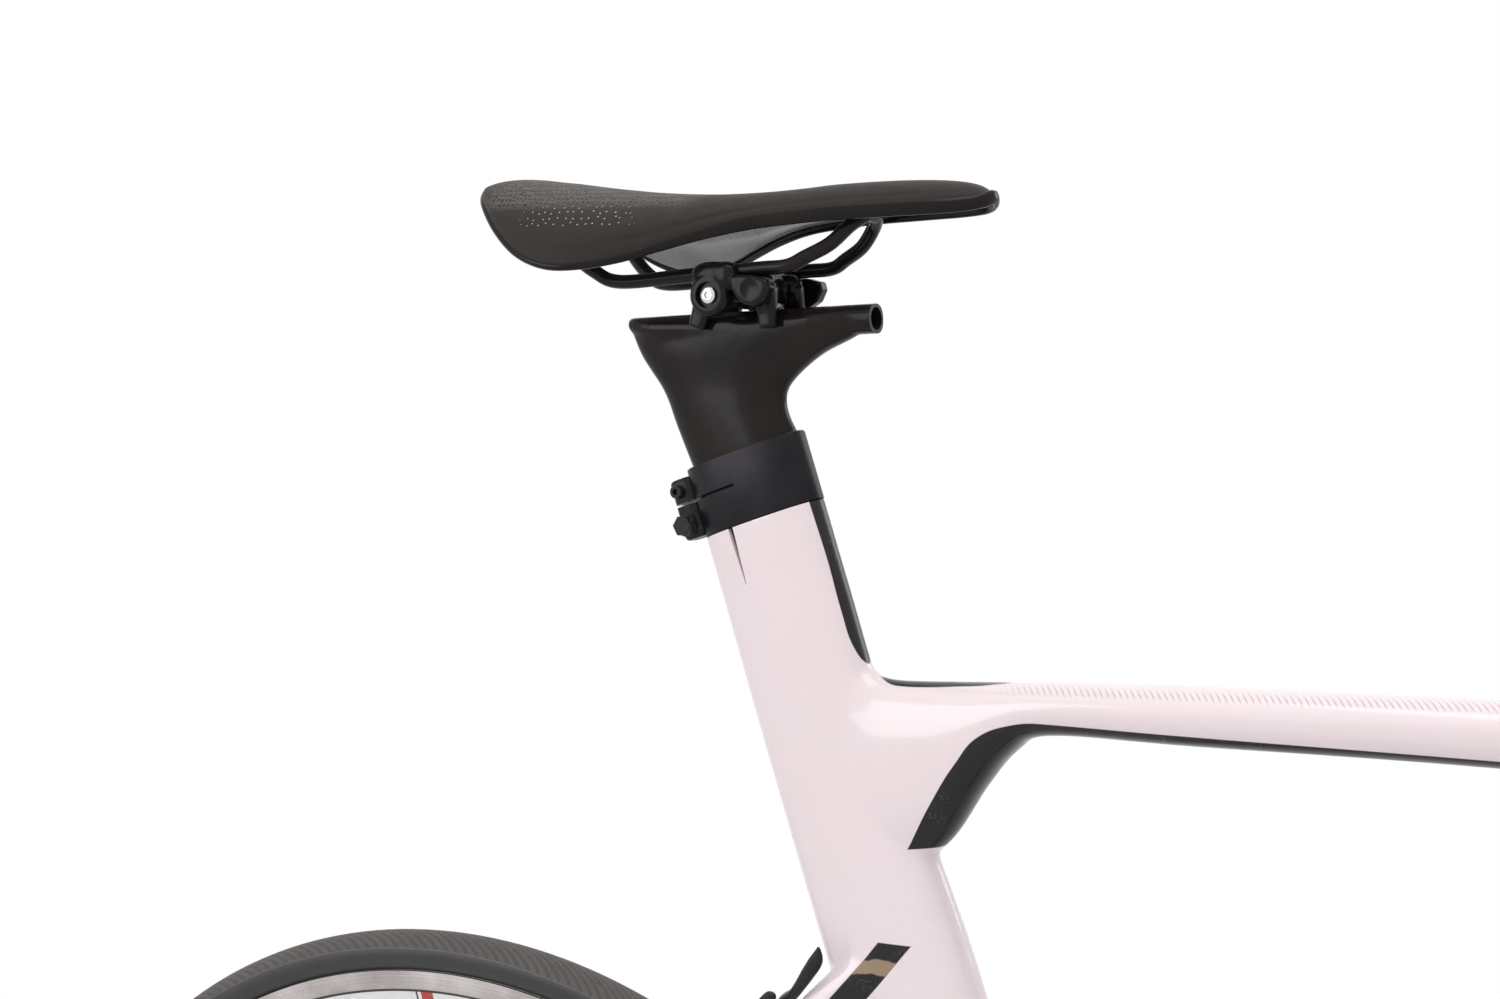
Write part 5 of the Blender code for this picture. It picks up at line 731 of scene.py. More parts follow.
def tyre_finish():
    """Tyre rubber: a worn file tread and darker sidewalls."""
    finish, tree, shader = fresh("tyre rubber")
    radius, angle, out, y = wheel_places(tree)
    rows = work_out(tree, "MULTIPLY", angle, 310.0)
    diamonds = work_out(tree, "MULTIPLY",
                        work_out(tree, "SINE", work_out(tree, "ADD", rows,
                                                        work_out(tree, "MULTIPLY", y, 3200.0))),
                        work_out(tree, "SINE", work_out(tree, "SUBTRACT", rows,
                                                        work_out(tree, "MULTIPLY", y, 3200.0))))
    tread = stepped(tree, radius, 0.3275, 0.0004)
    rubber = placed(tree, grain, Size=1500.0, Low=0.55, High=0.75)
    tone = blended(tree, noise(tree, 60.0), (0.014, 0.014, 0.016), (0.026, 0.026, 0.028))
    fibre = work_out(tree, "SINE", work_out(tree, "ADD", rows, work_out(tree, "MULTIPLY", y, 2200.0)))
    worn = blended(tree, noise(tree, 90.0), (0.070, 0.061, 0.058), (0.112, 0.100, 0.095))
    worn = blended(tree, stepped(tree, fibre, 0.2, 0.5), worn, (0.060, 0.053, 0.052))
    tone = blended(tree, tread, tone, worn)
    seam = between(tree, radius, 0.3269, 0.3275, 0.0002)
    tone = blended(tree, work_out(tree, "MULTIPLY", seam, 0.7), tone, (0.10, 0.10, 0.11))
    foot = work_out(tree, "SUBTRACT", 1.0, stepped(tree, radius, 0.3163, 0.0002))
    tone = blended(tree, foot, tone, (0.006, 0.006, 0.007))
    dusts = placed(tree, dust, Amount=0.12)["Mask"]
    tree.links.new(blended(tree, dusts, tone, (0.20, 0.18, 0.17)), shader.inputs["Base Color"])
    shine = work_out(tree, "MULTIPLY", work_out(tree, "SUBTRACT", 1.0, tread), -0.26)
    tree.links.new(work_out(tree, "ADD", rubber["Value"], shine), shader.inputs["Roughness"])
    relief = work_out(tree, "ADD", work_out(tree, "MULTIPLY", rubber["Height"], 0.4),
                      joined(tree, tread, work_out(tree, "MULTIPLY", diamonds, 0.35)))
    bumped(tree, shader, relief, 0.7, 0.0005)
    return finish


def rim_finish():
    """The rim: brushed brake tracks, a dark line of painted shade in the groove below each track, a white body and
    thin lines on it.
    """
    finish, tree, shader = fresh("rim alloy")
    radius, angle, out, y = wheel_places(tree)
    rings = tree.nodes.new("ShaderNodeTexNoise")
    rings.noise_dimensions = "1D"
    rings.inputs["Detail"].default_value = 4.0
    rings.inputs["Scale"].default_value = 2600.0
    tree.links.new(radius, rings.inputs["W"])
    track = work_out(tree, "MULTIPLY", stepped(tree, radius, 0.3048, 0.0002),
                     stepped(tree, out, 0.0085, 0.0002))
    # Painted shade: a dark line along the groove between each brake track and the white body.
    line = work_out(tree, "MULTIPLY", between(tree, radius, 0.3034, 0.3048, 0.0001),
                    stepped(tree, out, 0.0060, 0.0002))
    share = work_out(tree, "FRACT", work_out(tree, "DIVIDE", angle, math.tau / 8))
    body = between(tree, radius, 0.2888, 0.3036, 0.0001)
    fine_line = joined(tree, body, between(tree, share, 0.8920, 0.8968, 0.0003))
    red = joined(tree, body, between(tree, share, 0.9067, 0.9400, 0.0003))
    streak = work_out(tree, "MULTIPLY", rings.outputs[0], noise(tree, 28.0, 4.0))
    metal = blended(tree, stepped(tree, streak, 0.25, 0.14), (0.27, 0.235, 0.225),
                    (0.66, 0.62, 0.61))
    tone = blended(tree, noise(tree, 20.0), (0.86, 0.85, 0.84), (0.90, 0.89, 0.885))
    tone = blended(tree, fine_line, tone, (0.012, 0.012, 0.013))
    tone = blended(tree, red, tone, (0.50, 0.045, 0.030))
    tone = blended(tree, track, tone, metal)
    # The groove's painted shade goes over the track and the body.
    tone = blended(tree, line, tone, (0.022, 0.019, 0.017))
    dusts = placed(tree, scuff, Amount=0.35, Size=60.0)["Mask"]
    tree.links.new(blended(tree, dusts, tone, (0.25, 0.23, 0.22)), shader.inputs["Base Color"])
    tree.links.new(work_out(tree, "MULTIPLY", track, 0.85), shader.inputs["Metallic"])
    gloss = placed(tree, grain, Size=700.0, Low=0.20, High=0.32)
    tree.links.new(work_out(tree, "ADD", gloss["Value"],
                            work_out(tree, "MULTIPLY", track, 0.10)), shader.inputs["Roughness"])
    bumped(tree, shader, work_out(tree, "MULTIPLY", rings.outputs[0], track), 0.25, 0.0002)
    return finish


tyre_rubber = tyre_finish()
rim_alloy = rim_finish()


# %% Bar tape
def tape_finish():
    """Cork tape: matt black with a soft pebbled surface."""
    finish, tree, shader = fresh("bar tape")
    pebble = tree.nodes.new("ShaderNodeTexVoronoi")
    pebble.inputs["Scale"].default_value = 900.0
    tree.links.new(places(tree)[3], pebble.inputs["Vector"])
    cork = placed(tree, grain, Size=1800.0, Low=0.62, High=0.80)
    tone = blended(tree, pebble.outputs["Distance"], (0.026, 0.025, 0.025), (0.012, 0.012, 0.012))
    rubs = placed(tree, scuff, Amount=0.25, Size=50.0)["Mask"]
    tree.links.new(blended(tree, rubs, tone, (0.07, 0.07, 0.07)), shader.inputs["Base Color"])
    tree.links.new(cork["Value"], shader.inputs["Roughness"])
    bumped(tree, shader, work_out(tree, "SUBTRACT", cork["Height"], pebble.outputs["Distance"]),
           0.5, 0.0004)
    return finish


bar_tape = tape_finish()
print(len(bpy.data.materials), "finishes")

# %% [markdown]
# ## The floor
# A pale floor under the tyres takes the bicycle's shadow. For the eye and for reflections it fades
# into the white of the backdrop, so no horizon shows. Other rays see plain pale paint, so the floor
# throws no extra light on the bicycle.

# %% Floor
FLOOR_REACH = 60.0
SHADOW_REACH = 1.3
FADE_WIDTH = 0.7
floor = skin("studio_floor", [[Vector((x * FLOOR_REACH, y * FLOOR_REACH, z))
                               for x, y in ((-1, -1), (1, -1), (1, 1), (-1, 1))]
                              for z in (-0.02, -0.0005)])
floor_paint, tree, shader = fresh("floor paint")
tree.links.new(blended(tree, noise(tree, 3.0), (0.78, 0.78, 0.78), (0.80, 0.80, 0.80)),
               shader.inputs["Base Color"])
shader.inputs["Roughness"].default_value = 0.7
x, y, _, _ = places(tree)
away = work_out(tree, "SQRT", work_out(tree, "ADD", work_out(tree, "MULTIPLY", x, x),
                                       work_out(tree, "MULTIPLY", y, y)))
fade = stepped(tree, away, SHADOW_REACH + FADE_WIDTH / 2, FADE_WIDTH / 2)
fade.node.interpolation_type = "SMOOTHSTEP"
rays = tree.nodes.new("ShaderNodeLightPath")
seen = work_out(tree, "MAXIMUM", rays.outputs["Is Glossy Ray"], rays.outputs["Is Transmission Ray"])
seen = work_out(tree, "MAXIMUM", seen, rays.outputs["Is Camera Ray"])
glow = tree.nodes.new("ShaderNodeEmission")
mix = tree.nodes.new("ShaderNodeMixShader")
tree.links.new(joined(tree, seen, work_out(tree, "MULTIPLY_ADD", fade, 0.45, 0.55)), mix.inputs[0])
tree.links.new(shader.outputs[0], mix.inputs[1])
tree.links.new(glow.outputs[0], mix.inputs[2])
tree.links.new(mix.outputs[0], tree.nodes["Material Output"].inputs["Surface"])
floor.data.materials.append(floor_paint)
floor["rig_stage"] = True

# %% [markdown]
# ## The saddle
# A racing saddle is a thin moulded shell with foam and a cover over it. The cover is stretched, so it
# has no pillow bulges: a simulation would add none, and rings through measured stations give its
# wave, its wings and its nose directly. A shallow relief channel runs along the middle, and a seam
# follows the edge where the cover is folded under.

# %% Saddle stations
SADDLE_ROWS = (
    (-0.1315, 0.0300, 0.1325, 0.1285), (-0.1285, 0.0400, 0.1340, 0.1245),
    (-0.1215, 0.0490, 0.1355, 0.1185), (-0.1085, 0.0575, 0.1350, 0.1065),
    (-0.0925, 0.0635, 0.1331, 0.0950), (-0.0745, 0.0660, 0.1309, 0.0885),
    (-0.0565, 0.0640, 0.1289, 0.0880), (-0.0385, 0.0570, 0.1271, 0.0910),
    (-0.0205, 0.0480, 0.1260, 0.0965), (-0.0025, 0.0395, 0.1255, 0.1018),
    (0.0175, 0.0320, 0.1259, 0.1063), (0.0375, 0.0275, 0.1268, 0.1087),
    (0.0615, 0.0240, 0.1280, 0.1105), (0.0875, 0.0210, 0.1285, 0.1115),
    (0.1095, 0.0180, 0.1278, 0.1123), (0.1235, 0.0140, 0.1258, 0.1133),
    (0.1305, 0.0080, 0.1220, 0.1150), (0.1328, 0.0030, 0.1190, 0.1165),
)
SADDLE_FINE = eased(SADDLE_ROWS, 6)
RIM_HEIGHT = 0.0027
SEAM_UP = 0.0062
SEAM_DEPTH = 0.0007


def saddle_arch(half_width, top, edge, dip, ahead, count, seam=0.0):
    """Points from the left edge over the crown to the right edge."""
    points = []
    for step in range(count):
        angle = math.pi * step / (count - 1) - math.pi / 2
        out = -half_width * math.copysign(abs(math.sin(angle)) ** 0.85, math.sin(angle))
        lift = max(math.cos(angle), 0.0) ** 0.85
        height = (top - edge) * lift
        groove = seam * math.exp(-((height - SEAM_UP) / 0.0009) ** 2)
        channel = dip * math.exp(-((out / 0.0110) ** 2))
        out -= math.copysign(min(groove, half_width * 0.1), out)
        points.append(seat_point(ahead, edge + height - channel, out))
    return points


# %% Saddle cover
rings = []
for ahead, half_width, top, edge in SADDLE_FINE:
    lower = edge + RIM_HEIGHT
    height = max(top - lower, 0.0012)
    padding = min(0.0130, 0.6 * height)
    thin = min(0.0032, 0.5 * half_width)
    dip = 0.0035 * max(0.0, 1 - ((ahead + 0.035) / 0.085) ** 2)
    seam = SEAM_DEPTH * min(1.0, max(0.0, (height - 0.010) / 0.010))
    outer = saddle_arch(half_width, lower + height, lower, dip, ahead, 61, seam)
    inner = saddle_arch(half_width - thin, lower + height - padding, lower, 0.0, ahead, 61)
    rings.append(outer + inner[::-1])
saddle_cover = fitted(skin("saddle_cover_stretched", rings, crease=60), "saddle_body", microfibre,
                      "saddle_cover")
print("saddle cover", len(saddle_cover.data.polygons), "faces")

# %% [markdown]
# The shell shows as a glossy rim under the cover's edge, and its underside shows below the far
# wing; its grey is a painted reflection of the pale floor and backdrop. A round bead follows the whole edge.

# %% Saddle shell and bead
rings = []
for ahead, half_width, top, edge in SADDLE_FINE[6:-12]:
    lower = edge + RIM_HEIGHT
    height = max(top - lower, 0.0012)
    padding = min(0.0130, 0.6 * height)
    inside = half_width - min(0.0032, 0.5 * half_width) - 0.0015
    wall = min(0.0022, 0.3 * (height - padding))
    crown = lower + height - padding - 0.0015
    outer = saddle_arch(inside, crown, lower, 0.0, ahead, 31)
    inner = saddle_arch(inside - wall, crown - wall, lower, 0.0, ahead, 31)
    rings.append(outer + inner[::-1])
# The shell carries the grey of the painted floor reflection.
shell = fitted(skin("saddle_shell_moulded", rings, crease=60), "saddle_body", shell_painted_reflection_grey,
               "saddle_shell")
side = []
for ahead, half_width, _, edge in SADDLE_FINE:
    share = min(max((ahead + 0.050) / 0.070, 0.0), 1.0)
    tall = 0.0021 + 0.0014 * share * share * (3 - 2 * share)
    side.append((ahead, half_width - 0.0012, edge + tall - 0.0009, tall))
loop = [(seat_point(ahead, up, -out), tall) for ahead, out, up, tall in side]
loop += [(seat_point(ahead, up, out), tall) for ahead, out, up, tall in reversed(side)]
rings = []
for index, (point, tall) in enumerate(loop):
    direction = (loop[(index + 1) % len(loop)][0] - loop[index - 1][0]).normalized()
    across = direction.cross(UP).normalized()
    rings.append(oval(point, across, across.cross(direction), 0.0019, tall, 16))
bead = fitted(skin("saddle_rim_bead", rings, closed=True, crease=80), "saddle_body", gloss_black)

# %% Saddle rails
RAIL_SLOPE = 0.066
RAIL_UP = 0.0864
knots = [(-0.0935, 0.1105, 0.0315), (-0.0850, 0.0990, 0.0288), (-0.0720, 0.0878, 0.0245),
         (-0.0580, RAIL_UP - 0.0580 * RAIL_SLOPE, 0.0220),
         (-0.0200, RAIL_UP - 0.0200 * RAIL_SLOPE, 0.0220),
         (0.0200, RAIL_UP + 0.0200 * RAIL_SLOPE, 0.0220),
         (0.0360, RAIL_UP + 0.0360 * RAIL_SLOPE, 0.0220), (0.0450, 0.0930, 0.0200),
         (0.0560, 0.0990, 0.0165), (0.0645, 0.1078, 0.0120), (0.0690, 0.1124, 0.0055)]
half = [seat_point(ahead, up, out) for ahead, up, out in eased(knots, 8)]
path = half + [Vector((point.x, -point.y, point.z)) for point in reversed(half)]
rails = fitted(swept("saddle_rails_bent", path, [(0.0035, 0.0035)] * len(path), 20),
               "saddle_body", gloss_black, "saddle_rails")

# %% [markdown]
# ## The seatpost
# The post is one carbon moulding: a straight wing section in the seat tube, a slim waist and a long
# head with a hollow horn that points forward. Two lofts melt into one skin, and the horn is bored.


# %% Seatpost
def seat_ring(down, rearward, forward, half_width, sides=40):
    """A ring square to the seat tube, at a distance down from its top."""
    centre = SEAT_TOP - SEAT_UP * down + SEAT_FORE * (forward - rearward) / 2
    return oval(centre, SEAT_FORE, SIDE, (forward + rearward) / 2, half_width, sides, 0.8)


POST_SPANS = (
    (-0.0286, -0.0097, 0.0286, 0.0097, 0.0100),
    (-0.0385, 0.0119, 0.0243, 0.0176, 0.0100), (-0.0430, 0.0230, 0.0227, 0.0249, 0.0100),
    (-0.0475, 0.0310, 0.0243, 0.0310, 0.0100), (-0.0535, 0.0385, 0.0310, 0.0382, 0.0102),
    (-0.0595, 0.0465, 0.0440, 0.0476, 0.0106), (-0.0640, 0.0555, 0.0620, 0.0560, 0.0109),
    (-0.0655, 0.0598, 0.0690, 0.0628, 0.0110),
)
rings = [seat_ring(0.100, 0.03025, 0.03025, 0.010), seat_ring(0.030, 0.03025, 0.03025, 0.010)]
for rear, low, fore, high, half_width in eased(POST_SPANS, 5):
    back = seat_point(rear, low)
    front = seat_point(fore, high)
    along = (front - back).normalized()
    rings.append(oval((back + front) / 2, along, SIDE, (front - back).length / 2, half_width,
                      40, 0.8))
HEAD_ROWS = (
    (-0.0665, 0.0048, 0.0030), (-0.0650, 0.0066, 0.0052), (-0.0620, 0.0085, 0.0075),
    (-0.0450, 0.0130, 0.0104), (0.0000, 0.0150, 0.0110), (0.0400, 0.0150, 0.0100),
    (0.0600, 0.0146, 0.0076), (0.0755, 0.0146, 0.0073),
)
head = []
for ahead, height, wide in eased(HEAD_ROWS, 5):
    centre = seat_point(ahead, 0.0681 + 0.0443 * ahead - height / 2)
    head.append(oval(centre, SIDE, UP, wide, height / 2, 40, 0.85))
post = melted(gathered("seatpost_moulded", [skin("blade", rings), skin("head", head)]), 0.0011, 14)
horn = Vector((1, 0, 0.0443)).normalized()
mouth = seat_point(0.0722, 0.0681 + 0.0443 * 0.0722 - 0.0073)
tip = turned("tip", ((0.03, 0.0), (0.03, 0.03)), mouth, horn, 24, closed=False)
bore = turned("bore", ((0.0054, -0.038), (0.0054, -0.0012), (0.0062, 0.01)), mouth, horn, 40,
              closed=False)
post = fitted(cut(post, [tip, bore]), "seatpost_body", gloss_black, "seatpost")

# %% [markdown]
# ## The clamp band and its bolts
# The band is machined from alloy and anodised. Its upper part grips the post and its lower part the
# tube, with a slot between them behind. It is cut from one lofted ring, as the real one is.

# %% Clamp band
OUT = 0.0032
rings = [seat_ring(down, 0.03025 + grow, 0.03025 + grow, 0.010 + grow, 64)
         for down, grow in ((0.0, OUT - 0.0007), (0.0003, OUT - 0.0002), (0.0010, OUT),
                            (0.0340, OUT), (0.0347, OUT - 0.0002), (0.0350, OUT - 0.0007))]
wrap = skin("wrap", rings)
lug_path = [SEAT_TOP - SEAT_UP * down - SEAT_FORE * 0.03725
            for down in (0.0030, 0.0036, 0.0046, 0.0320, 0.0329, 0.0335)]
lug = swept("lug", lug_path, [(0.0062, 0.0058), (0.0070, 0.0066), (0.0075, 0.0070),
                              (0.0075, 0.0070), (0.0070, 0.0066), (0.0062, 0.0058)],
            24, SIDE, 0.6)
join = wrap.modifiers.new("join", "BOOLEAN")
join.operation = "UNION"
join.solver = "MANIFOLD"
join.object = lug
settled(wrap)
bpy.data.objects.remove(lug)


def seat_block(name, downs, backs, half):
    """A block behind the seat tube's axis, for a cut."""
    return skin(name, [[SEAT_TOP - SEAT_UP * down - SEAT_FORE * back + SIDE * out
                        for back, out in ((backs[0], -half), (backs[1], -half), (backs[1], half),
                                          (backs[0], half))] for down in downs])


def post_bore(name, downs, margin):
    """The post's section, grown by a margin."""
    return skin(name, [seat_ring(down, 0.03025 + margin, 0.03025 + margin, 0.010 + margin, 48)
                       for down in downs])


cutters = [post_bore("upper_bore", (-0.005, 0.040), 0.0003),
           post_bore("lower_bore", (0.0165, 0.040), 0.0016),
           seat_block("split", (-0.005, 0.040), (0.024, 0.055), 0.0008),
           seat_block("ring_slot", (0.0151, 0.0165), (0.004, 0.055), 0.03)]
for down in (0.0090, 0.0265):
    centre = SEAT_TOP - SEAT_UP * down - SEAT_FORE * 0.03875
    cutters.append(turned("hole", ((0.0023, -0.03), (0.0023, 0.03)), centre, SIDE, 24,
                          closed=False))
wrap.name = "seat_clamp_band_machined"
fitted(cut(wrap, cutters), body_of["seat_clamp_band"], anodised, "seat_clamp_band")


# %% Band bolts
def socket_bolt(name, centre, axis, head, length, shank, far, socket):
    """A bolt with a round head and a hexagon socket, its shank and its nut."""
    solid = turned(name, ((head * 0.86, -far - length), (head, -far - length * 0.8), (head, -far),
                          (shank, -far), (shank, far), (head, far), (head, far + length * 0.8),
                          (head * 0.86, far + length)), centre, axis, 32, closed=False)
    key = turned("key", ((socket, -far - length - 0.002), (socket, -far - length * 0.35)),
                 centre, axis, 6, closed=False)
    return cut(solid, [key])


for name, down, head, length in (("seat_clamp_upper_bolt", 0.0090, 0.0034, 0.0030),
                                 ("seat_clamp_lower_bolt", 0.0265, 0.0050, 0.0042)):
    centre = SEAT_TOP - SEAT_UP * down - SEAT_FORE * 0.03875
    bolt = socket_bolt(name + "_turned", centre, SIDE, head, length, 0.0020, 0.0078, head * 0.5)
    if down > 0.02:
        bolt = gathered(name + "_turned", [bolt, turned("hex", (
            (0.0046, -0.0142), (0.0053, -0.0136), (0.0053, -0.0108), (0.0046, -0.0102)), centre,
            SIDE, 6, closed=False), turned("washer", ((0.0056, -0.0095), (0.0056, -0.0078)), centre,
                                           SIDE, 32, closed=False)], 30)
    fitted(bolt, body_of[name], black_metal, name)

# %% [markdown]
# ## The rail clamp
# The clamp is cast, and then its grooves and its bore are machined. The cradle rocks on the post's
# head with four feet astride it, and a cheek on each side presses a rail into its groove. Each piece
# is melted from a few rounded lumps, so it has the soft edges of a casting.


# %% Rail clamp
def lump(ahead, up, out, long, tall, wide, power=0.8):
    """A rounded lump from its centre and its half sizes, squarer than an ellipsoid."""
    rings = []
    for step in range(1, 16):
        angle = math.pi * step / 16 - math.pi / 2
        place = math.copysign(abs(math.sin(angle)) ** power, math.sin(angle))
        share = math.cos(angle) ** power
        rings.append(oval(seat_point(ahead, up, out + wide * place), FORWARD, UP, long * share,
                          tall * share, 28, power))
    return skin("lump", rings)


def clamp_cutters(sides):
    """The grooves of the rails and the bore of the bolt."""
    made = [turned("groove", ((0.0038, -0.06), (0.0038, 0.06)), TILT_AXIS + SIDE * side * 0.022,
                   RAIL_LINE, 32, closed=False) for side in sides]
    return made + [turned("bore", ((0.0031, -0.05), (0.0031, 0.05)), CLAMP_BOLT, SIDE, 24,
                          closed=False)]


RAIL_LINE = Vector((1, 0, RAIL_SLOPE)).normalized()
TILT_AXIS = seat_point(0.0065, RAIL_UP + 0.0065 * RAIL_SLOPE)
CLAMP_BOLT = seat_point(-0.0032, 0.0753)
ROCKER = 0.0182
parts = [swept("barrel", [seat_point(0.0040, 0.0808, out) for out in (-0.0219, -0.0215, 0.0215,
                                                                     0.0219)],
               [(0.0120, 0.0066), (0.0132, 0.0074), (0.0132, 0.0074), (0.0120, 0.0066)], 36, FORWARD,
               0.75)]
outline = [(TILT_AXIS.x + ROCKER * math.sin(math.radians(turn)),
            TILT_AXIS.z - ROCKER * math.cos(math.radians(turn))) for turn in range(-38, 39, 4)]
outline += [(outline[-1][0], SEAT_TOP.z + 0.080), (outline[0][0], SEAT_TOP.z + 0.080)]
parts.append(prism("rocker", outline, -0.0104, 0.0104))
for side in (-1, 1):
    parts.append(lump(0.0172, 0.0800, side * 0.0128, 0.0068, 0.0060, 0.0052))
    for low, high in ((-0.0192, -0.0130), (0.0212, 0.0186)):
        foot = [seat_point(low + (high - low) * share, 0.0597 + 0.0190 * share,
                           side * (0.0141 - 0.0010 * share)) for share in (0.0, 0.35, 0.7, 1.0)]
        parts.append(swept("foot", foot, [(0.0046, 0.0024), (0.0050, 0.0026), (0.0058, 0.0036),
                                          (0.0064, 0.0046)], 24, FORWARD, 0.6))
cradle = melted(gathered("saddle_cradle_cast", parts), 0.0008, 4)
fitted(cut(cradle, clamp_cutters((-1, 1))), body_of["saddle_cradle"], gloss_black, "saddle_cradle")
SHIELD = ((8.0, 84.4), (14.0, 84.9), (22.0, 84.2), (29.2, 82.4), (30.4, 78.6), (27.6, 72.8),
          (22.0, 69.2), (16.5, 70.4), (12.0, 73.6), (8.5, 78.5))
rings = []
for out, share in ((-0.0223, 1.0), (-0.0282, 1.0), (-0.0298, 0.93), (-0.0304, 0.80)):
    rings.append([seat_point((20.0 + (ahead - 20.0) * share) / 1000,
                             (77.5 + (up - 77.5) * share) / 1000, out) for ahead, up in SHIELD])
parts = [skin("shield", rings), lump(-0.0020, 0.0835, -0.0265, 0.0122, 0.0080, 0.0042),
         lump(0.0045, 0.0845, -0.0262, 0.0064, 0.0069, 0.0044),
         turned("housing", ((0.0088, -0.0310), (0.0100, -0.0300), (0.0106, -0.0280),
                            (0.0106, -0.0223)), CLAMP_BOLT, SIDE, 48, closed=False)]
cheek = melted(gathered("rail_clamp_right_cast", parts), 0.0006, 4)
cutters = clamp_cutters((-1,))
cutters.append(turned("pocket", ((0.0064, -0.040), (0.0064, -0.0286)), CLAMP_BOLT, SIDE, 40,
                      closed=False))
cutters.append(turned("dish", ((0.0075, -0.040), (0.0050, -0.0302), (0.0020, -0.0296)),
                      seat_point(0.0200, 0.0780), SIDE, 32, closed=False))
cheek = cut(cheek, cutters)
fitted(mirrored(cheek, "rail_clamp_left_cast"), body_of["rail_clamp_left"], gloss_black,
       "rail_clamp_left")
fitted(cheek, body_of["rail_clamp_right"], gloss_black, "rail_clamp_right")
bolt = socket_bolt("rail_clamp_bolt_turned", CLAMP_BOLT, SIDE, 0.0040, 0.0018, 0.0026, 0.0287,
                   0.0021)
fitted(bolt, body_of["rail_clamp_bolt"], silver, "rail_clamp_bolt")

# %% [markdown]
# ## The frame
# Seat tube, top tube, down tube, head tube, bottom bracket shell and the four stays are lofts. They
# are melted together, and then the bores, the axle slots and the narrow slit under the band are cut.

# %% Frame tubes
SEAT_ROWS = (
    (0.0310, 0.03345, 0.03345, 0.0132), (0.0500, 0.03345, 0.03345, 0.0132),
    (0.080, 0.03345, 0.03345, 0.0132), (0.150, 0.03345, 0.0340, 0.0140),
    (0.270, 0.0320, 0.0422, 0.0160), (0.370, 0.0275, 0.0375, 0.0170),
    (0.450, 0.0160, 0.0320, 0.0170), (0.530, 0.0125, 0.0272, 0.0173),
    (0.620, 0.0240, 0.0250, 0.0190), (0.7026, 0.0200, 0.0200, 0.0200),
)
TOP_ROWS = (
    (0.0515, -0.0625, -0.2060, 0.0110), (0.0587, -0.0803, -0.2060, 0.0120),
    (0.0641, -0.0945, -0.2055, 0.0130), (0.0712, -0.1037, -0.2045, 0.0138),
    (0.0820, -0.1073, -0.2020, 0.0144), (0.1103, -0.1065, -0.1846, 0.0154),
    (0.1294, -0.1055, -0.1564, 0.0161), (0.1450, -0.1048, -0.1375, 0.0165),
    (0.1650, -0.1037, -0.1277, 0.0171), (0.2355, -0.1005, -0.1270, 0.0180),
    (0.3665, -0.0975, -0.1255, 0.0185), (0.51176, -0.09371, -0.12771, 0.0195),
    (0.61576, -0.09171, -0.13771, 0.0205),
)
shells = [skin("seat_tube", [seat_ring(*row) for row in eased(SEAT_ROWS, 6)])]
rings = [oval(seat_point(ahead, (top + bottom) / 2), SIDE, UP, wide, (top - bottom) / 2, 40, 0.8)
         for ahead, top, bottom, wide in eased(TOP_ROWS, 6)]
shells.append(skin("top_tube", rings))
shells.append(turned("head_tube", ((0.0242, -0.004), (0.0242, 0.0), (0.0230, 0.070),
                                   (0.0230, 0.110), (0.0242, 0.174), (0.0242, 0.178)),
                     HEAD_BOTTOM, STEER_UP, 48, closed=False))
shells.append(turned("shell", ((0.0235, -0.038), (0.0235, 0.038)), CRANK_AXLE, SIDE, 48,
                     closed=False))
start = HEAD_BOTTOM + STEER_UP * 0.0480
rows = []
for share, wide, deep in ((0.00, 0.0185, 0.0200), (0.20, 0.0200, 0.0245), (0.45, 0.0215, 0.0295),
                          (0.85, 0.0270, 0.0270), (0.97, 0.0300, 0.0210)):
    point = start.lerp(CRANK_AXLE, share)
    away = point - FRONT_AXLE
    point = FRONT_AXLE + away * max(1.0, (WHEEL_RADIUS + 0.006 + deep) / away.length)
    rows.append((*point, wide, deep))
shells.append(blade("down_tube", rows, power=0.85))
along = CRANK_AXLE - REAR_AXLE
rows = [(*(REAR_AXLE + along * share - SIDE * out), wide, deep) for share, out, wide, deep in (
    (0.965, 0.0200, 0.0110, 0.0170), (0.770, 0.0298, 0.0068, 0.0150),
    (0.500, 0.0475, 0.0062, 0.0110), (0.250, 0.0590, 0.0052, 0.0095),
    (0.020, 0.0680, 0.0027, 0.0095))]
chainstay = blade("chainstay_right", rows, power=0.9)
rows = [(*(REAR_AXLE + Vector((x, -out, z))), wide, deep) for x, out, z, wide, deep in (
    (0.2500, 0.0090, 0.3460, 0.0080, 0.0150), (0.2250, 0.0165, 0.3230, 0.0072, 0.0135),
    (0.2030, 0.0265, 0.2930, 0.0060, 0.0120), (0.1500, 0.0400, 0.2160, 0.0054, 0.0105),
    (0.0800, 0.0535, 0.1180, 0.0048, 0.0092), (0.0040, 0.0680, 0.0080, 0.0027, 0.0085))]
seatstay = blade("seatstay_right", rows, power=0.8)
shells += [chainstay, mirrored(chainstay, "chainstay_left"), seatstay,
           mirrored(seatstay, "seatstay_left")]
radial = Vector((0.564, 0, 0.826)).normalized()
outward = Vector((-radial.z, 0, radial.x))
bridge = REAR_AXLE + radial * 0.3625
shells.append(swept("bridge", [bridge + SIDE * out for out in (-0.027, 0.027)],
                    [(0.0085, 0.0065)] * 2, 24, radial))
shells.append(turned("bridge_boss", ((0.0075, -0.006), (0.0075, 0.0118)), bridge, outward, 24,
                     closed=False))
for side in (-1, 1):
    shells.append(turned("dropout", ((0.0158, side * 0.0648), (0.0158, side * 0.0712)), REAR_AXLE,
                         SIDE, 32, closed=False))
bike_frame = melted(gathered("frame_moulded", shells), 0.0020, 7)
print("frame", len(bike_frame.data.polygons), "faces melted")


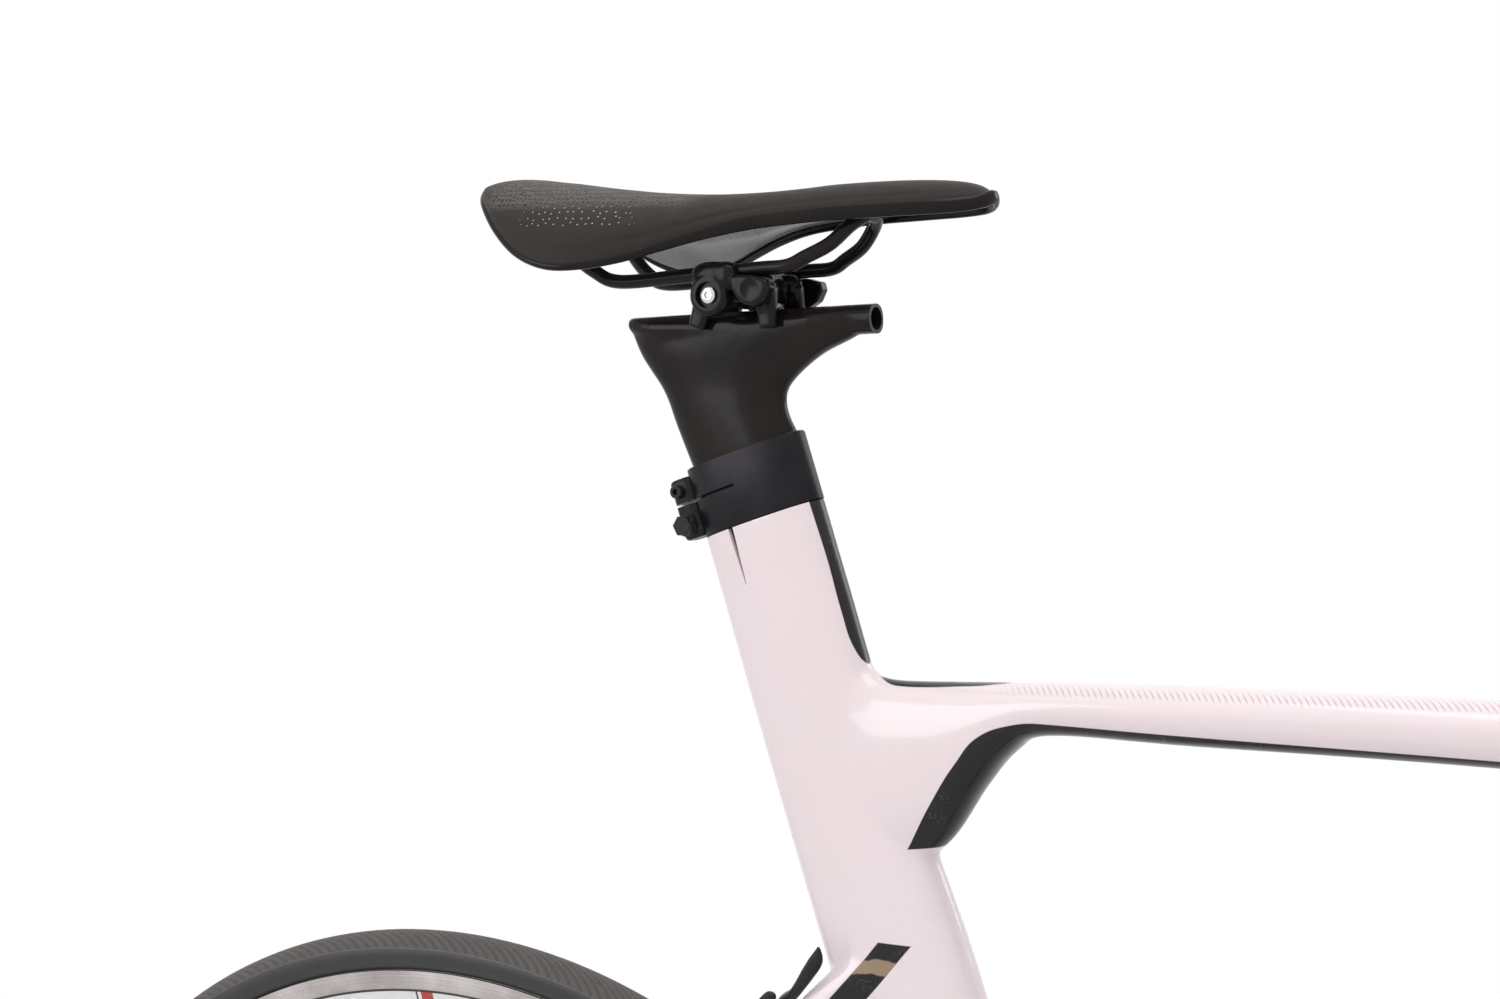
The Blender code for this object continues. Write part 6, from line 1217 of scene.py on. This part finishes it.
# %% Frame bores and slots
def slot_cutter(axle, low, high, drop):
    """The open slot below an axle."""
    outline = [(axle.x + 0.0053 * math.cos(math.pi * step / 12),
                axle.z + 0.0053 * math.sin(math.pi * step / 12)) for step in range(13)]
    outline += [(axle.x - 0.0053, axle.z - drop), (axle.x + 0.0053, axle.z - drop)]
    return prism("slot", outline, low, high)


def drum(radius, low, high, centre, axis):
    """A round cutter between two places along an axis."""
    return turned("drum", ((radius, low), (radius, high)), centre, axis, 56, closed=False)


slit = []
for down, half in ((0.030, 0.0015), (0.040, 0.0013), (0.0640, 0.0002)):
    centre = SEAT_TOP - SEAT_UP * down - SEAT_FORE * 0.0130
    slit.append([centre + SEAT_FORE * across + SIDE * out
                 for across, out in ((-half, -0.03), (half, -0.03), (half, 0.03), (-half, 0.03))])
cutters = [
    seat_block("above_band", (0.0, 0.0353), (-0.06, 0.06), 0.05),
    post_bore("post_bore", (0.02, 0.150), 0.0003), skin("slit", slit),
    drum(0.045, -0.030, 0.0, HEAD_BOTTOM, STEER_UP), drum(0.045, 0.174, 0.200, HEAD_BOTTOM, STEER_UP),
    drum(0.0209, -0.010, 0.0073, HEAD_BOTTOM, STEER_UP),
    drum(0.0209, 0.1667, 0.190, HEAD_BOTTOM, STEER_UP),
    drum(0.0168, -0.010, 0.190, HEAD_BOTTOM, STEER_UP),
    drum(0.040, -0.060, -0.034, CRANK_AXLE, SIDE), drum(0.040, 0.034, 0.060, CRANK_AXLE, SIDE),
    drum(0.0177, -0.050, 0.050, CRANK_AXLE, SIDE),
    drum(0.022, -0.080, -0.0710, REAR_AXLE, SIDE), drum(0.022, 0.0710, 0.080, REAR_AXLE, SIDE),
    drum(0.0175, -0.0650, -0.0560, REAR_AXLE, SIDE), drum(0.0175, 0.0560, 0.0650, REAR_AXLE, SIDE),
    slot_cutter(REAR_AXLE, -0.075, -0.060, 0.030), slot_cutter(REAR_AXLE, 0.060, 0.075, 0.030),
]
bike_frame = fitted(cut(bike_frame, cutters, 50.0), "bicycle_frame", white_paint, "frame")

# %% Brake stud and hanger
rod = turned("rear_brake_stud", ((0.0030, 0.011), (0.0030, 0.0308), (0.0024, 0.0315)), bridge,
             outward, 20, closed=False)
fitted(rod, "bicycle_frame", steel)
outline = ((0.0120, -0.0085), (0.0165, 0.0020), (0.0080, 0.0140), (0.0015, -0.0340),
           (0.0070, -0.0385), (0.0160, -0.0380), (0.0205, -0.0300))
ordered = sorted(outline, key=lambda corner: math.atan2(corner[1] + 0.013, corner[0] - 0.011))
hanger = prism("derailleur_hanger", [(REAR_AXLE.x + x, REAR_AXLE.z + z) for x, z in ordered],
               -0.0713, -0.0647)
hanger = cut(hanger, [slot_cutter(REAR_AXLE, -0.075, -0.060, 0.030)])
fitted(rounded(hanger, 0.0006), "bicycle_frame", anodised)

# %% [markdown]
# ## The wheels
# Tyres and rims are turned with enough steps to look round from close by. The spokes are flat steel
# blades with a bent head at the hub and an alloy nipple at the rim.

# %% Tyres and rims
TYRE_CORE = 0.3234
TYRE_SECTION = 0.0116
tyre_outline = []
for step in range(33):
    angle = math.radians(-138 + 276 * step / 32)
    tyre_outline.append((TYRE_CORE + TYRE_SECTION * math.cos(angle),
                         TYRE_SECTION * math.sin(angle)))
rim_outline = ((0.3149, -0.0090), (0.3149, 0.0090), (0.3146, 0.0098), (0.3140, 0.0098),
               (0.3060, 0.0098), (0.3053, 0.0096), (0.3047, 0.0091), (0.2990, 0.0076),
               (0.2930, 0.0055), (0.2893, 0.0038), (0.2881, 0.0022), (0.2879, 0.0))
rim_outline += tuple((radius, -out) for radius, out in rim_outline[-2:1:-1])
for place, axle in (("front", FRONT_AXLE), ("rear", REAR_AXLE)):
    body = place + "_wheel_body"
    fitted(turned(place + "_tyre_turned", tyre_outline, axle, steps=240), body, tyre_rubber,
           place + "_tyre")
    fitted(turned(place + "_rim_turned", rim_outline, axle, steps=240), body, rim_alloy,
           place + "_rim")
    stem = turned(place + "_valve", ((0.0030, 0.0), (0.0030, -0.022), (0.0022, -0.026),
                                     (0.0022, -0.034), (0.0012, -0.036)),
                  axle - UP * 0.2885, -UP, 16, closed=False)
    fitted(stem, body, steel)


# %% Hubs and spokes
def spoke_set(name, centre, rows):
    """Flat spokes from rows of (hub radius, side, angle at the hub, angle at the rim)."""
    parts = []
    for hub_radius, out, hub_angle, rim_angle in rows:
        start = centre + Vector((hub_radius * math.cos(hub_angle), out,
                                 hub_radius * math.sin(hub_angle)))
        end = centre + Vector((0.2890 * math.cos(rim_angle), 0, 0.2890 * math.sin(rim_angle)))
        run = end - start
        direction = run.normalized()
        wide = direction.cross(SIDE).normalized()
        path = [start + run * share for share in (0.0, 0.05, 0.09, 0.88, 0.92, 0.96)]
        sizes = [(0.0009, 0.0009), (0.0009, 0.0009), (0.0014, 0.0006), (0.0014, 0.0006),
                 (0.0009, 0.0009), (0.0009, 0.0009)]
        rings = [oval(point, wide, direction.cross(wide), half, deep, 8)
                 for point, (half, deep) in zip(path, sizes)]
        parts.append(skin("spoke", rings))
        parts.append(turned("nipple", ((0.0012, -0.013), (0.0019, -0.012), (0.0019, -0.002),
                                       (0.0026, 0.0)), end, direction, 10, closed=False))
        knot = SIDE * math.copysign(0.0022, out)
        parts.append(turned("spoke_head", ((0.0010, -1.2), (0.0010, 0.9), (0.0019, 1.0),
                                           (0.0015, 1.4)), start, knot, 10, closed=False))
    print(name, len(rows), "spokes")
    return gathered(name, parts)


rows = [(0.0150, 0.0370 if index % 2 else -0.0370, math.tau * index / 16, math.tau * index / 16)
        for index in range(16)]
fitted(spoke_set("front_spokes", FRONT_AXLE, rows), "front_wheel_body", steel)
rows = []
for index in range(10):
    angle = math.tau * index / 10
    lean = math.radians(72.0) * (1 if index % 2 else -1)
    rows.append((0.0235, -0.0170 if index % 2 else -0.0190, angle, angle + lean))
    rows.append((0.0195, 0.0362, angle + math.pi / 10, angle + math.pi / 10))
fitted(spoke_set("rear_spokes", REAR_AXLE, rows), "rear_wheel_body", steel)
front_hub = ((0.0053, -0.0497), (0.0078, -0.0497), (0.0080, -0.0480), (0.0120, -0.0400),
             (0.0172, -0.0387), (0.0176, -0.0378), (0.0176, -0.0362), (0.0170, -0.0354),
             (0.0110, -0.0340), (0.0096, -0.0310), (0.0090, 0.0))
front_hub += tuple((radius, -out) for radius, out in front_hub[-2::-1])
fitted(turned("front_hub_turned", front_hub, FRONT_AXLE), "front_wheel_body", anodised,
       "front_hub_and_spokes")
rear_hub = ((0.0053, -0.0200), (0.0150, -0.0200), (0.0256, -0.0196), (0.0261, -0.0190),
            (0.0261, -0.0170), (0.0255, -0.0164), (0.0140, -0.0145), (0.0128, -0.0110),
            (0.0122, 0.0100), (0.0130, 0.0300), (0.0150, 0.0335), (0.0216, 0.0350),
            (0.0221, 0.0356), (0.0221, 0.0370), (0.0216, 0.0376), (0.0110, 0.0400),
            (0.0082, 0.0600), (0.0080, 0.0647), (0.0053, 0.0647))
fitted(turned("rear_hub_turned", rear_hub, REAR_AXLE), "rear_wheel_body", anodised,
       "rear_hub_and_spokes")

# %% [markdown]
# ## Teeth and links
# The solids stand in for toothed wheels with plain discs. Here every tooth is drawn: a ring of four
# loops, two toothed and two round, makes a chainring or a sprocket. The chain is a row of links on
# the same path as the solid band, alternately narrow and wide, each with its two plates and pins.

# %% Toothed wheels
PITCH = 0.0127
CHAIN_PLANE = -0.0470


def pitch_radius(teeth):
    """The distance from the axle to the middle of the chain's pins."""
    return PITCH / 2 / math.sin(math.pi / teeth)


def toothed(name, teeth, centre, plane, half, inner, lean=0.0):
    """A toothed ring round an axle that lies along the bicycle's side direction."""
    pitch = pitch_radius(teeth)
    loops = ([], [], [], [])
    profile = ((-0.50, -0.0040), (-0.36, -0.0034), (-0.22, -0.0002), (-0.10, 0.0040),
               (0.0, 0.0046), (0.10, 0.0040), (0.22, -0.0002), (0.36, -0.0034))
    for tooth in range(teeth):
        for share, height in profile:
            angle = math.tau * (tooth + share) / teeth + lean
            outward = Vector((math.cos(angle), 0, math.sin(angle)))
            thin = 0.45 if height > 0.002 else 1.0
            for loop, radius, side in ((loops[0], pitch + height, -thin),
                                       (loops[1], pitch + height, thin),
                                       (loops[2], inner, 1.0), (loops[3], inner, -1.0)):
                loop.append(centre + outward * radius + SIDE * (plane + half * side))
    return skin(name, loops, closed=True, crease=30)


parts = [toothed("ring_large", 50, CRANK_AXLE, CHAIN_PLANE, 0.0012, 0.0495, 0.03),
         toothed("ring_small", 34, CRANK_AXLE, CHAIN_PLANE + 0.0070, 0.0012, 0.0495)]
for arm in range(4):
    angle = math.tau * (arm + 0.5) / 4
    centre = CRANK_AXLE + Vector((math.cos(angle), 0, math.sin(angle))) * 0.0550
    parts.append(turned("ring_bolt", ((0.0040, -0.0492), (0.0040, -0.0380), (0.0030, -0.0376)),
                        centre, SIDE, 20, closed=False))
fitted(gathered("chainrings_toothed", parts, 30), "crank_body", anodised, "chainrings")
parts = []
for index, teeth in enumerate((12, 13, 14, 15, 16, 17, 19, 21, 23, 25)):
    plane = CHAIN_PLANE - 0.00395 * (3 - index)
    parts.append(toothed("sprocket", teeth, REAR_AXLE, plane, 0.0008, 0.0168, index * 0.11))
parts.append(turned("freehub", ((0.0053, -0.0203), (0.0166, -0.0203), (0.0172, -0.0220),
                                (0.0172, -0.0590), (0.0160, -0.0606), (0.0140, -0.0612),
                                (0.0085, -0.0645), (0.0053, -0.0645)), REAR_AXLE, SIDE, 48))
fitted(gathered("cassette_toothed", parts, 30), "cassette_body", steel, "cassette")
for place in ("guide", "tension"):
    centre = joint_at[place + "_pulley_spin"].copy()
    centre.y = 0
    parts = [toothed("wheel", 11, centre, CHAIN_PLANE, 0.0011, 0.0080),
             turned("hub", ((0.0033, CHAIN_PLANE - 0.0034), (0.0086, CHAIN_PLANE - 0.0034),
                            (0.0086, CHAIN_PLANE + 0.0034), (0.0033, CHAIN_PLANE + 0.0034)),
                    centre, SIDE, 32)]
    fitted(gathered(place + "_pulley_toothed", parts, 30), place + "_pulley_body", black_plastic,
           place + "_pulley")


# %% Chain
def chain_path():
    """Fine points of the chain's closed path round its four wheels."""
    guide = joint_at["guide_pulley_spin"].copy()
    tension = joint_at["tension_pulley_spin"].copy()
    guide.y = 0
    tension.y = 0
    wheels = ((REAR_AXLE, pitch_radius(15), -1), (CRANK_AXLE, pitch_radius(50), -1),
              (tension, pitch_radius(11), -1), (guide, pitch_radius(11), 1))
    normals = []
    for index, (centre, radius, turn) in enumerate(wheels):
        other, other_radius, other_turn = wheels[(index + 1) % 4]
        gap = other - centre
        swing = math.asin((turn * radius - other_turn * other_radius)
                          / math.hypot(gap.x, gap.z))
        normals.append(math.atan2(gap.z, gap.x) + swing - math.pi / 2)
    path = []
    for index, (centre, radius, turn) in enumerate(wheels):
        wrap = (turn * (normals[index] - normals[index - 1])) % math.tau * turn
        for step in range(41):
            angle = normals[index - 1] + wrap * step / 40
            path.append(centre + Vector((math.cos(angle), 0, math.sin(angle))) * radius * turn)
    return path


path = chain_path()
lengths = [0.0]
for point, following in zip(path, path[1:] + path[:1]):
    lengths.append(lengths[-1] + (following - point).length)
links = 2 * round(lengths[-1] / PITCH / 2)


def on_chain(distance):
    """The point of the path at a distance along it."""
    distance %= lengths[-1]
    index = max(place for place in range(len(path)) if lengths[place] <= distance)
    share = (distance - lengths[index]) / max(lengths[index + 1] - lengths[index], 1e-9)
    return path[index].lerp(path[(index + 1) % len(path)], share)


pins = [on_chain(lengths[-1] * index / links) for index in range(links)]
parts = []
for index, pin in enumerate(pins):
    following = pins[(index + 1) % links]
    along = (following - pin).normalized()
    up = Vector((-along.z, 0, along.x))
    outline = []
    for step in range(9):
        angle = math.pi / 2 + math.pi * step / 8
        outline.append(pin + along * 0.0038 * math.cos(angle) + up * 0.0038 * math.sin(angle))
    outline.append((pin + following) / 2 - up * 0.0027)
    for step in range(9):
        angle = -math.pi / 2 + math.pi * step / 8
        outline.append(following + along * 0.0038 * math.cos(angle)
                       + up * 0.0038 * math.sin(angle))
    outline.append((pin + following) / 2 + up * 0.0027)
    inner, outer = ((0.0013, 0.0021), (0.0023, 0.0030))[index % 2]
    for low, high in ((inner, outer), (-outer, -inner)):
        parts.append(skin("plate", [[point + SIDE * (CHAIN_PLANE + low) for point in outline],
                                    [point + SIDE * (CHAIN_PLANE + high) for point in outline]]))
    parts.append(turned("roller", ((0.0034, -0.0013), (0.0034, 0.0013)),
                        pin + SIDE * CHAIN_PLANE, SIDE, 10, closed=False))
    parts.append(turned("pin", ((0.0016, -0.0032), (0.0016, 0.0032)),
                        pin + SIDE * CHAIN_PLANE, SIDE, 8, closed=False))
fitted(gathered("chain_links", parts, 30), body_of["chain"], steel, "chain")
print("chain", links, "links of", round(lengths[-1] / links * 1000, 2), "mm")

# %% [markdown]
# ## Fork
# The fork is melted like the frame: crown, two blades and dropouts, painted white.

# %% Fork
rows = [(*steer_point(up, ahead, -out), wide, deep) for up, ahead, out, wide, deep in (
    (-0.0140, 0.0010, 0.0130, 0.0090, 0.0185), (-0.0260, 0.0025, 0.0245, 0.0085, 0.0180),
    (-0.0520, 0.0055, 0.0290, 0.0072, 0.0175), (-0.1700, 0.0190, 0.0355, 0.0058, 0.0150),
    (-0.2900, 0.0325, 0.0455, 0.0046, 0.0115), (-0.3580, 0.0410, 0.0530, 0.0027, 0.0090))]
leg = blade("blade_right", rows, power=0.9)
shells = [leg, mirrored(leg, "blade_left"),
          turned("crown_top", ((0.0200, -0.0200), (0.0200, 0.003)), HEAD_BOTTOM, STEER_UP, 40,
                 closed=False),
          swept("crown", [steer_point(-0.0130, 0.0005, out) for out in (-0.023, 0.023)],
                [(0.0200, 0.0095)] * 2, 32, STEER_FORE, 0.8)]
for side in (-1, 1):
    shells.append(turned("dropout", ((0.0118, side * 0.0498), (0.0118, side * 0.0562)),
                         FRONT_AXLE, SIDE, 32, closed=False))
forks = melted(gathered("fork_moulded", shells), 0.0016, 5)
cutters = [drum(0.045, -0.0003, 0.02, HEAD_BOTTOM, STEER_UP),
           drum(0.018, -0.080, -0.0560, FRONT_AXLE, SIDE), drum(0.018, 0.0560, 0.080, FRONT_AXLE, SIDE),
           drum(0.0135, -0.0500, -0.0440, FRONT_AXLE, SIDE),
           drum(0.0135, 0.0440, 0.0500, FRONT_AXLE, SIDE),
           slot_cutter(FRONT_AXLE, -0.062, -0.045, 0.025), slot_cutter(FRONT_AXLE, 0.045, 0.062, 0.025)]
fitted(cut(forks, cutters, 50.0), "steering_body", white_paint, "fork")
rod = turned("steerer", ((0.0143, -0.001), (0.0143, 0.2266)), HEAD_BOTTOM, STEER_UP, 40,
             closed=False)
fitted(rod, "steering_body", anodised)
radial = (HEAD_BOTTOM - STEER_UP * 0.012 - FRONT_AXLE).normalized()
outward = Vector((radial.z, 0, -radial.x))
rod = turned("front_brake_stud", ((0.0030, 0.0), (0.0030, 0.0453), (0.0024, 0.0460)),
             FRONT_AXLE + radial * 0.3625, outward, 20, closed=False)
fitted(rod, "steering_body", steel)

# %% [markdown]
# ## The brakes
# Each caliper has two forged arms that swing on one stud. An arm ends below in a shoe with a rubber
# block, and above in a flat tip. The arms lie in two layers, so that they cross at the stud.


# %% Brake arms
def brake_arm(node, axle, radial, outward, standoff, side, lean):
    """One caliper arm with its shoe and block, in place of its solid."""
    layer = standoff + (0.0043 if side > 0 else 0.0126)

    def spot(out, above, ahead=0.0):
        return (axle + radial * (BRAKE_REACH + above) + SIDE * (side * out)
                + outward * (layer - ahead))

    foot = [(0.0220, -0.0545, 0.0036, 0.0044, 0.0), (0.0256, -0.0400, 0.0036, 0.0040, 0.0),
            (0.0262, -0.0280, 0.0038, 0.0042, 0.0), (0.0200, -0.0085, 0.0040, 0.0052, 0.0),
            (0.0, 0.0, 0.0040, 0.0060, 0.0)]
    tip = [(0.0, 0.0, 0.0040, 0.0060, 0.0), (-0.0120, 0.0225, 0.0036, 0.0042, 0.0),
           (-0.0205, 0.0360, 0.0026, 0.0030, lean * 0.8), (-0.0235, 0.0500, 0.0034, 0.0026, lean),
           (-0.0245, 0.0590, 0.0034, 0.0020, lean), (-0.0250, 0.0650, 0.0006, 0.0008, lean * 0.5)]
    if side < 0:
        foot[-1] = (-0.0040, 0.0020, 0.0040, 0.0050, 0.0)
        tip = [(0.0170, -0.0100, 0.0036, 0.0046, 0.0), (0.0245, 0.0060, 0.0034, 0.0036, 0.0),
               (0.0265, 0.0200, 0.0032, 0.0030, lean * 0.7), (0.0268, 0.0285, 0.0030, 0.0026, lean),
               (0.0268, 0.0310, 0.0012, 0.0012, lean)]
    parts = []
    for rows in (foot, tip):
        fine = eased(rows, 6)
        parts.append(swept("limb", [spot(row[0], row[1], row[4]) for row in fine],
                           [row[2:4] for row in fine], 20, outward, 0.75))
    parts.append(turned("boss", ((0.0078, -0.0040), (0.0086, -0.0033), (0.0086, 0.0033),
                                 (0.0078, 0.0040)), spot(0, 0), outward, 32, closed=False))
    reach = math.sqrt(BLOCK_RADIUS ** 2 - (standoff + 0.0025) ** 2)
    middle = axle + radial * reach + SIDE * (side * 0.0165) + outward * (standoff + 0.0025)
    shoe = [middle + outward * along for along in (-0.0230, -0.0215, 0.0215, 0.0230)]
    parts.append(swept("shoe", shoe, [(0.0008, 0.0028), (0.0013, 0.0040), (0.0013, 0.0040),
                                      (0.0008, 0.0028)], 24, SIDE, 0.7))
    reach = math.sqrt(BLOCK_RADIUS ** 2 - layer ** 2)
    stud = axle + radial * reach + outward * layer
    parts.append(turned("stud", ((0.0032, 0.0155), (0.0032, 0.0270), (0.0024, 0.0285)), stud,
                        SIDE * side, 20, closed=False))
    arm = melted(gathered(node + "_forged", parts), 0.0007, 3)
    bore = turned("bore", ((0.0033, -0.02), (0.0033, 0.02)), spot(0, 0), outward, 24, closed=False)
    fitted(cut(arm, [bore]), node.replace("_arm", "") + "_body", black_metal, node)
    block = [point - SIDE * (side * 0.0032) for point in shoe]
    pad = swept(node + "_block", block, [(0.0014, 0.0030), (0.0017, 0.0036), (0.0017, 0.0036),
                                         (0.0014, 0.0030)], 20, SIDE, 0.5)
    fitted(pad, node.replace("_arm", "") + "_body", black_plastic)


BRAKE_REACH = 0.3625
BLOCK_RADIUS = 0.3108
rear_radial = Vector((0.564, 0, 0.826)).normalized()
rear_outward = Vector((-rear_radial.z, 0, rear_radial.x))
for side, hand in ((-1, "right"), (1, "left")):
    brake_arm("rear_brake_arm_" + hand, REAR_AXLE, rear_radial, rear_outward, 0.0125, side, 0.0050)
    brake_arm("front_brake_arm_" + hand, FRONT_AXLE, radial, outward, 0.0270, side, 0.0)

# %% [markdown]
# ## The bar, its tape and the hoods
# The tape is wound from the drops towards the stem, and each turn laps the last. The lap is a spiral
# step on the sleeve's radius, which gives real shadow lines where a painted stripe would look flat.

# %% Handlebar and tape
BAR_KNOTS = [(0.0, 0.0, 0.0), (0.0, 0.0, 0.0400), (0.0, 0.0, 0.0620), (0.0, 0.0, 0.0760),
             (0.0, 0.0, 0.1050), (0.0, -0.0005, 0.1500), (0.0060, -0.0010, 0.1840),
             (0.0270, -0.0020, 0.2010), (0.0560, -0.0060, 0.2050), (0.0760, -0.0190, 0.2050),
             (0.0800, -0.0420, 0.2055), (0.0700, -0.0760, 0.2065), (0.0430, -0.1060, 0.2075),
             (0.0090, -0.1230, 0.2085), (-0.0250, -0.1280, 0.2090), (-0.0500, -0.1280, 0.2090)]
bar = [BAR_CENTRE + Vector((ahead, -out, up)) for ahead, up, out in eased(BAR_KNOTS, 24)]
frames = path_frames(bar)


def bar_radius(point):
    """The bar's radius: thick in the clamp, slim outside it."""
    share = min(max((abs(point.y) - 0.040) / 0.022, 0.0), 1.0)
    return 0.0159 + (0.0119 - 0.0159) * share * share * (3 - 2 * share)


rings = [oval(point, across, along, bar_radius(point), bar_radius(point), 32)
         for point, across, along in frames]
other = [[Vector((point.x, -point.y, point.z)) for point in ring] for ring in rings[:0:-1]]
fitted(skin("handlebar_bent", other + rings), "steering_body", anodised, "handlebar")
LAP = 0.024
outer = []
inner = []
travelled = 0.0
start = next(index for index, (point, _, _) in enumerate(frames) if point.y < -0.076)
for index in range(start, len(frames)):
    point, across, along = frames[index]
    travelled += (point - frames[index - 1][0]).length if index > start else 0.0
    loop = []
    for step in range(32):
        angle = math.tau * step / 32
        phase = (travelled / LAP + step / 32) % 1.0
        lift = 0.0016 + 0.0009 * phase if phase < 0.92 else 0.0016 + 0.0009 * (1 - phase) / 0.08
        radius = bar_radius(point) + lift
        loop.append(point + (across * math.cos(angle) + along * math.sin(angle)) * radius)
    outer.append(loop)
    inner.append(oval(point, across, along, bar_radius(point) + 0.0003,
                      bar_radius(point) + 0.0003, 32))
right_tape = skin("bar_tape_right_wound", outer + inner[::-1], closed=True, crease=60)
left_tape = mirrored(right_tape, "bar_tape_left_wound")
fitted(right_tape, "steering_body", bar_tape, "bar_tape_right")
fitted(left_tape, "steering_body", bar_tape, "bar_tape_left")
point, across, along = frames[-1]
plug = turned("bar_plug_right", ((0.0117, 0.0), (0.0140, 0.0004), (0.0140, 0.0020), (0.0120, 0.0034)),
              point, (frames[-1][0] - frames[-2][0]).normalized(), 32, closed=False)
fitted(mirrored(plug, "bar_plug_left"), "steering_body", black_plastic)
fitted(plug, "steering_body", black_plastic)

# %% Hoods, levers and paddles
HOOD_ROWS = ((0.0500, -0.0045, 0.0185, 0.0180), (0.0590, -0.0056, 0.0189, 0.0195),
             (0.0680, -0.0060, 0.0190, 0.0205), (0.0900, 0.0010, 0.0175, 0.0210),
             (0.1110, 0.0110, 0.0155, 0.0190), (0.1240, 0.0300, 0.0130, 0.0135),
             (0.1252, 0.0400, 0.0105, 0.0100), (0.1245, 0.0430, 0.0085, 0.0080))
pivot = BAR_CENTRE + Vector((0.1130, -0.2050, 0.0040))
hood = blade("hood_right_moulded", [(*(BAR_CENTRE + Vector((ahead, -0.205, up))), wide, deep)
                                    for ahead, up, wide, deep in HOOD_ROWS], power=0.85)
mouth = skin("mouth", [[pivot + Vector((x, out, z)) for x, z in
                        ((-0.0068, -0.030), (0.030, -0.030), (0.030, 0.0), (0.0068, 0.0),
                         (0.0048, 0.0048), (0.0, 0.0068), (-0.0048, 0.0048), (-0.0068, 0.0))]
                       for out in (-0.0065, 0.0065)])
sleeve = swept("sleeve", [point for point, _, _ in frames[start:]],
               [(bar_radius(point) + 0.0029,) * 2 for point, _, _ in frames[start:]], 32)
hood = cut(hood, [mouth, sleeve])
fitted(mirrored(hood, "hood_left_moulded"), "steering_body", hood_rubber, "hood_left")
fitted(hood, "steering_body", hood_rubber, "hood_right")
LEVER_ROWS = ((0.0030, -0.0040, 0.0058, 0.0050), (0.0120, -0.0150, 0.0058, 0.0048),
              (0.0190, -0.0360, 0.0080, 0.0034), (0.0170, -0.0640, 0.0085, 0.0030),
              (0.0070, -0.0930, 0.0065, 0.0028), (0.0040, -0.1010, 0.0045, 0.0024))
rows = [(*(pivot + Vector((ahead, 0, up))), wide, deep) for ahead, up, wide, deep in LEVER_ROWS]
lever = gathered("lever_work", [blade("lever_blade", rows, power=0.9),
                                turned("lever_root", ((0.0060, -0.0060), (0.0060, 0.0060)), pivot,
                                       SIDE, 32, closed=False)])
PADDLE_ROWS = ((-0.0010, 0.0030, 0.0, 0.0050, 0.0022), (0.0, -0.0060, 0.0015, 0.0060, 0.0022),
               (0.0010, -0.0260, 0.0030, 0.0085, 0.0016), (-0.0060, -0.0440, 0.0045, 0.0060, 0.0014))
foot = pivot + Vector((0.0070, 0, -0.0260))
rows = [(*(foot + Vector((ahead, out, up))), wide, deep)
        for ahead, up, out, wide, deep in PADDLE_ROWS]
paddle = blade("paddle_work", rows, power=0.9)
for hand, made in (("left", True), ("right", False)):
    for piece, node in ((lever, "brake_lever_"), (paddle, "shift_paddle_")):
        name = node + hand + "_shaped"
        shaped = mirrored(piece, name) if made else piece
        shaped.name = name
        fitted(shaped, node + hand + "_body", anodised, node + hand)

# %% [markdown]
# ## The pieces that keep their solid
# The other solids have the right shape already. Each is welded, its edges are rounded as machining
# leaves them, and it gets its finish from a short table, or black painted metal when it is not listed. Its mesh
# itself is never touched.

# %% Finish for each solid that stays
KEPT = {
    anodised: ("headset_lower_bearing", "headset_upper_bearing", "bottom_bracket_cup_right",
               "bottom_bracket_cup_left", "headset_spacer", "headset_top_cap", "stem",
               "stem_faceplate", "crank_right", "crank_left", "front_derailleur_body",
               "front_derailleur_cage"),
    silver: ("front_axle", "rear_axle"),
}
kept_finish = {node: finish for finish, nodes in KEPT.items() for node in nodes}
stood_for = {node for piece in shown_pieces() for node in piece.get("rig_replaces", ())}
for node, thing in frame["nodes"].items():
    if node in stood_for:
        continue
    finish = kept_finish.get(node)
    if finish is None:
        finish = black_metal
    while len(thing.data.materials) > 1:
        thing.data.materials.pop()
    if not thing.data.materials:
        thing.data.materials.append(finish)
    thing.material_slots[0].material = finish
    weld = thing.modifiers.new("weld", "WELD")
    weld.merge_threshold = 0.00001
    rounded(thing, 0.0007)
print(len(stood_for), "nodes replaced,", len(frame["nodes"]) - len(stood_for), "kept")
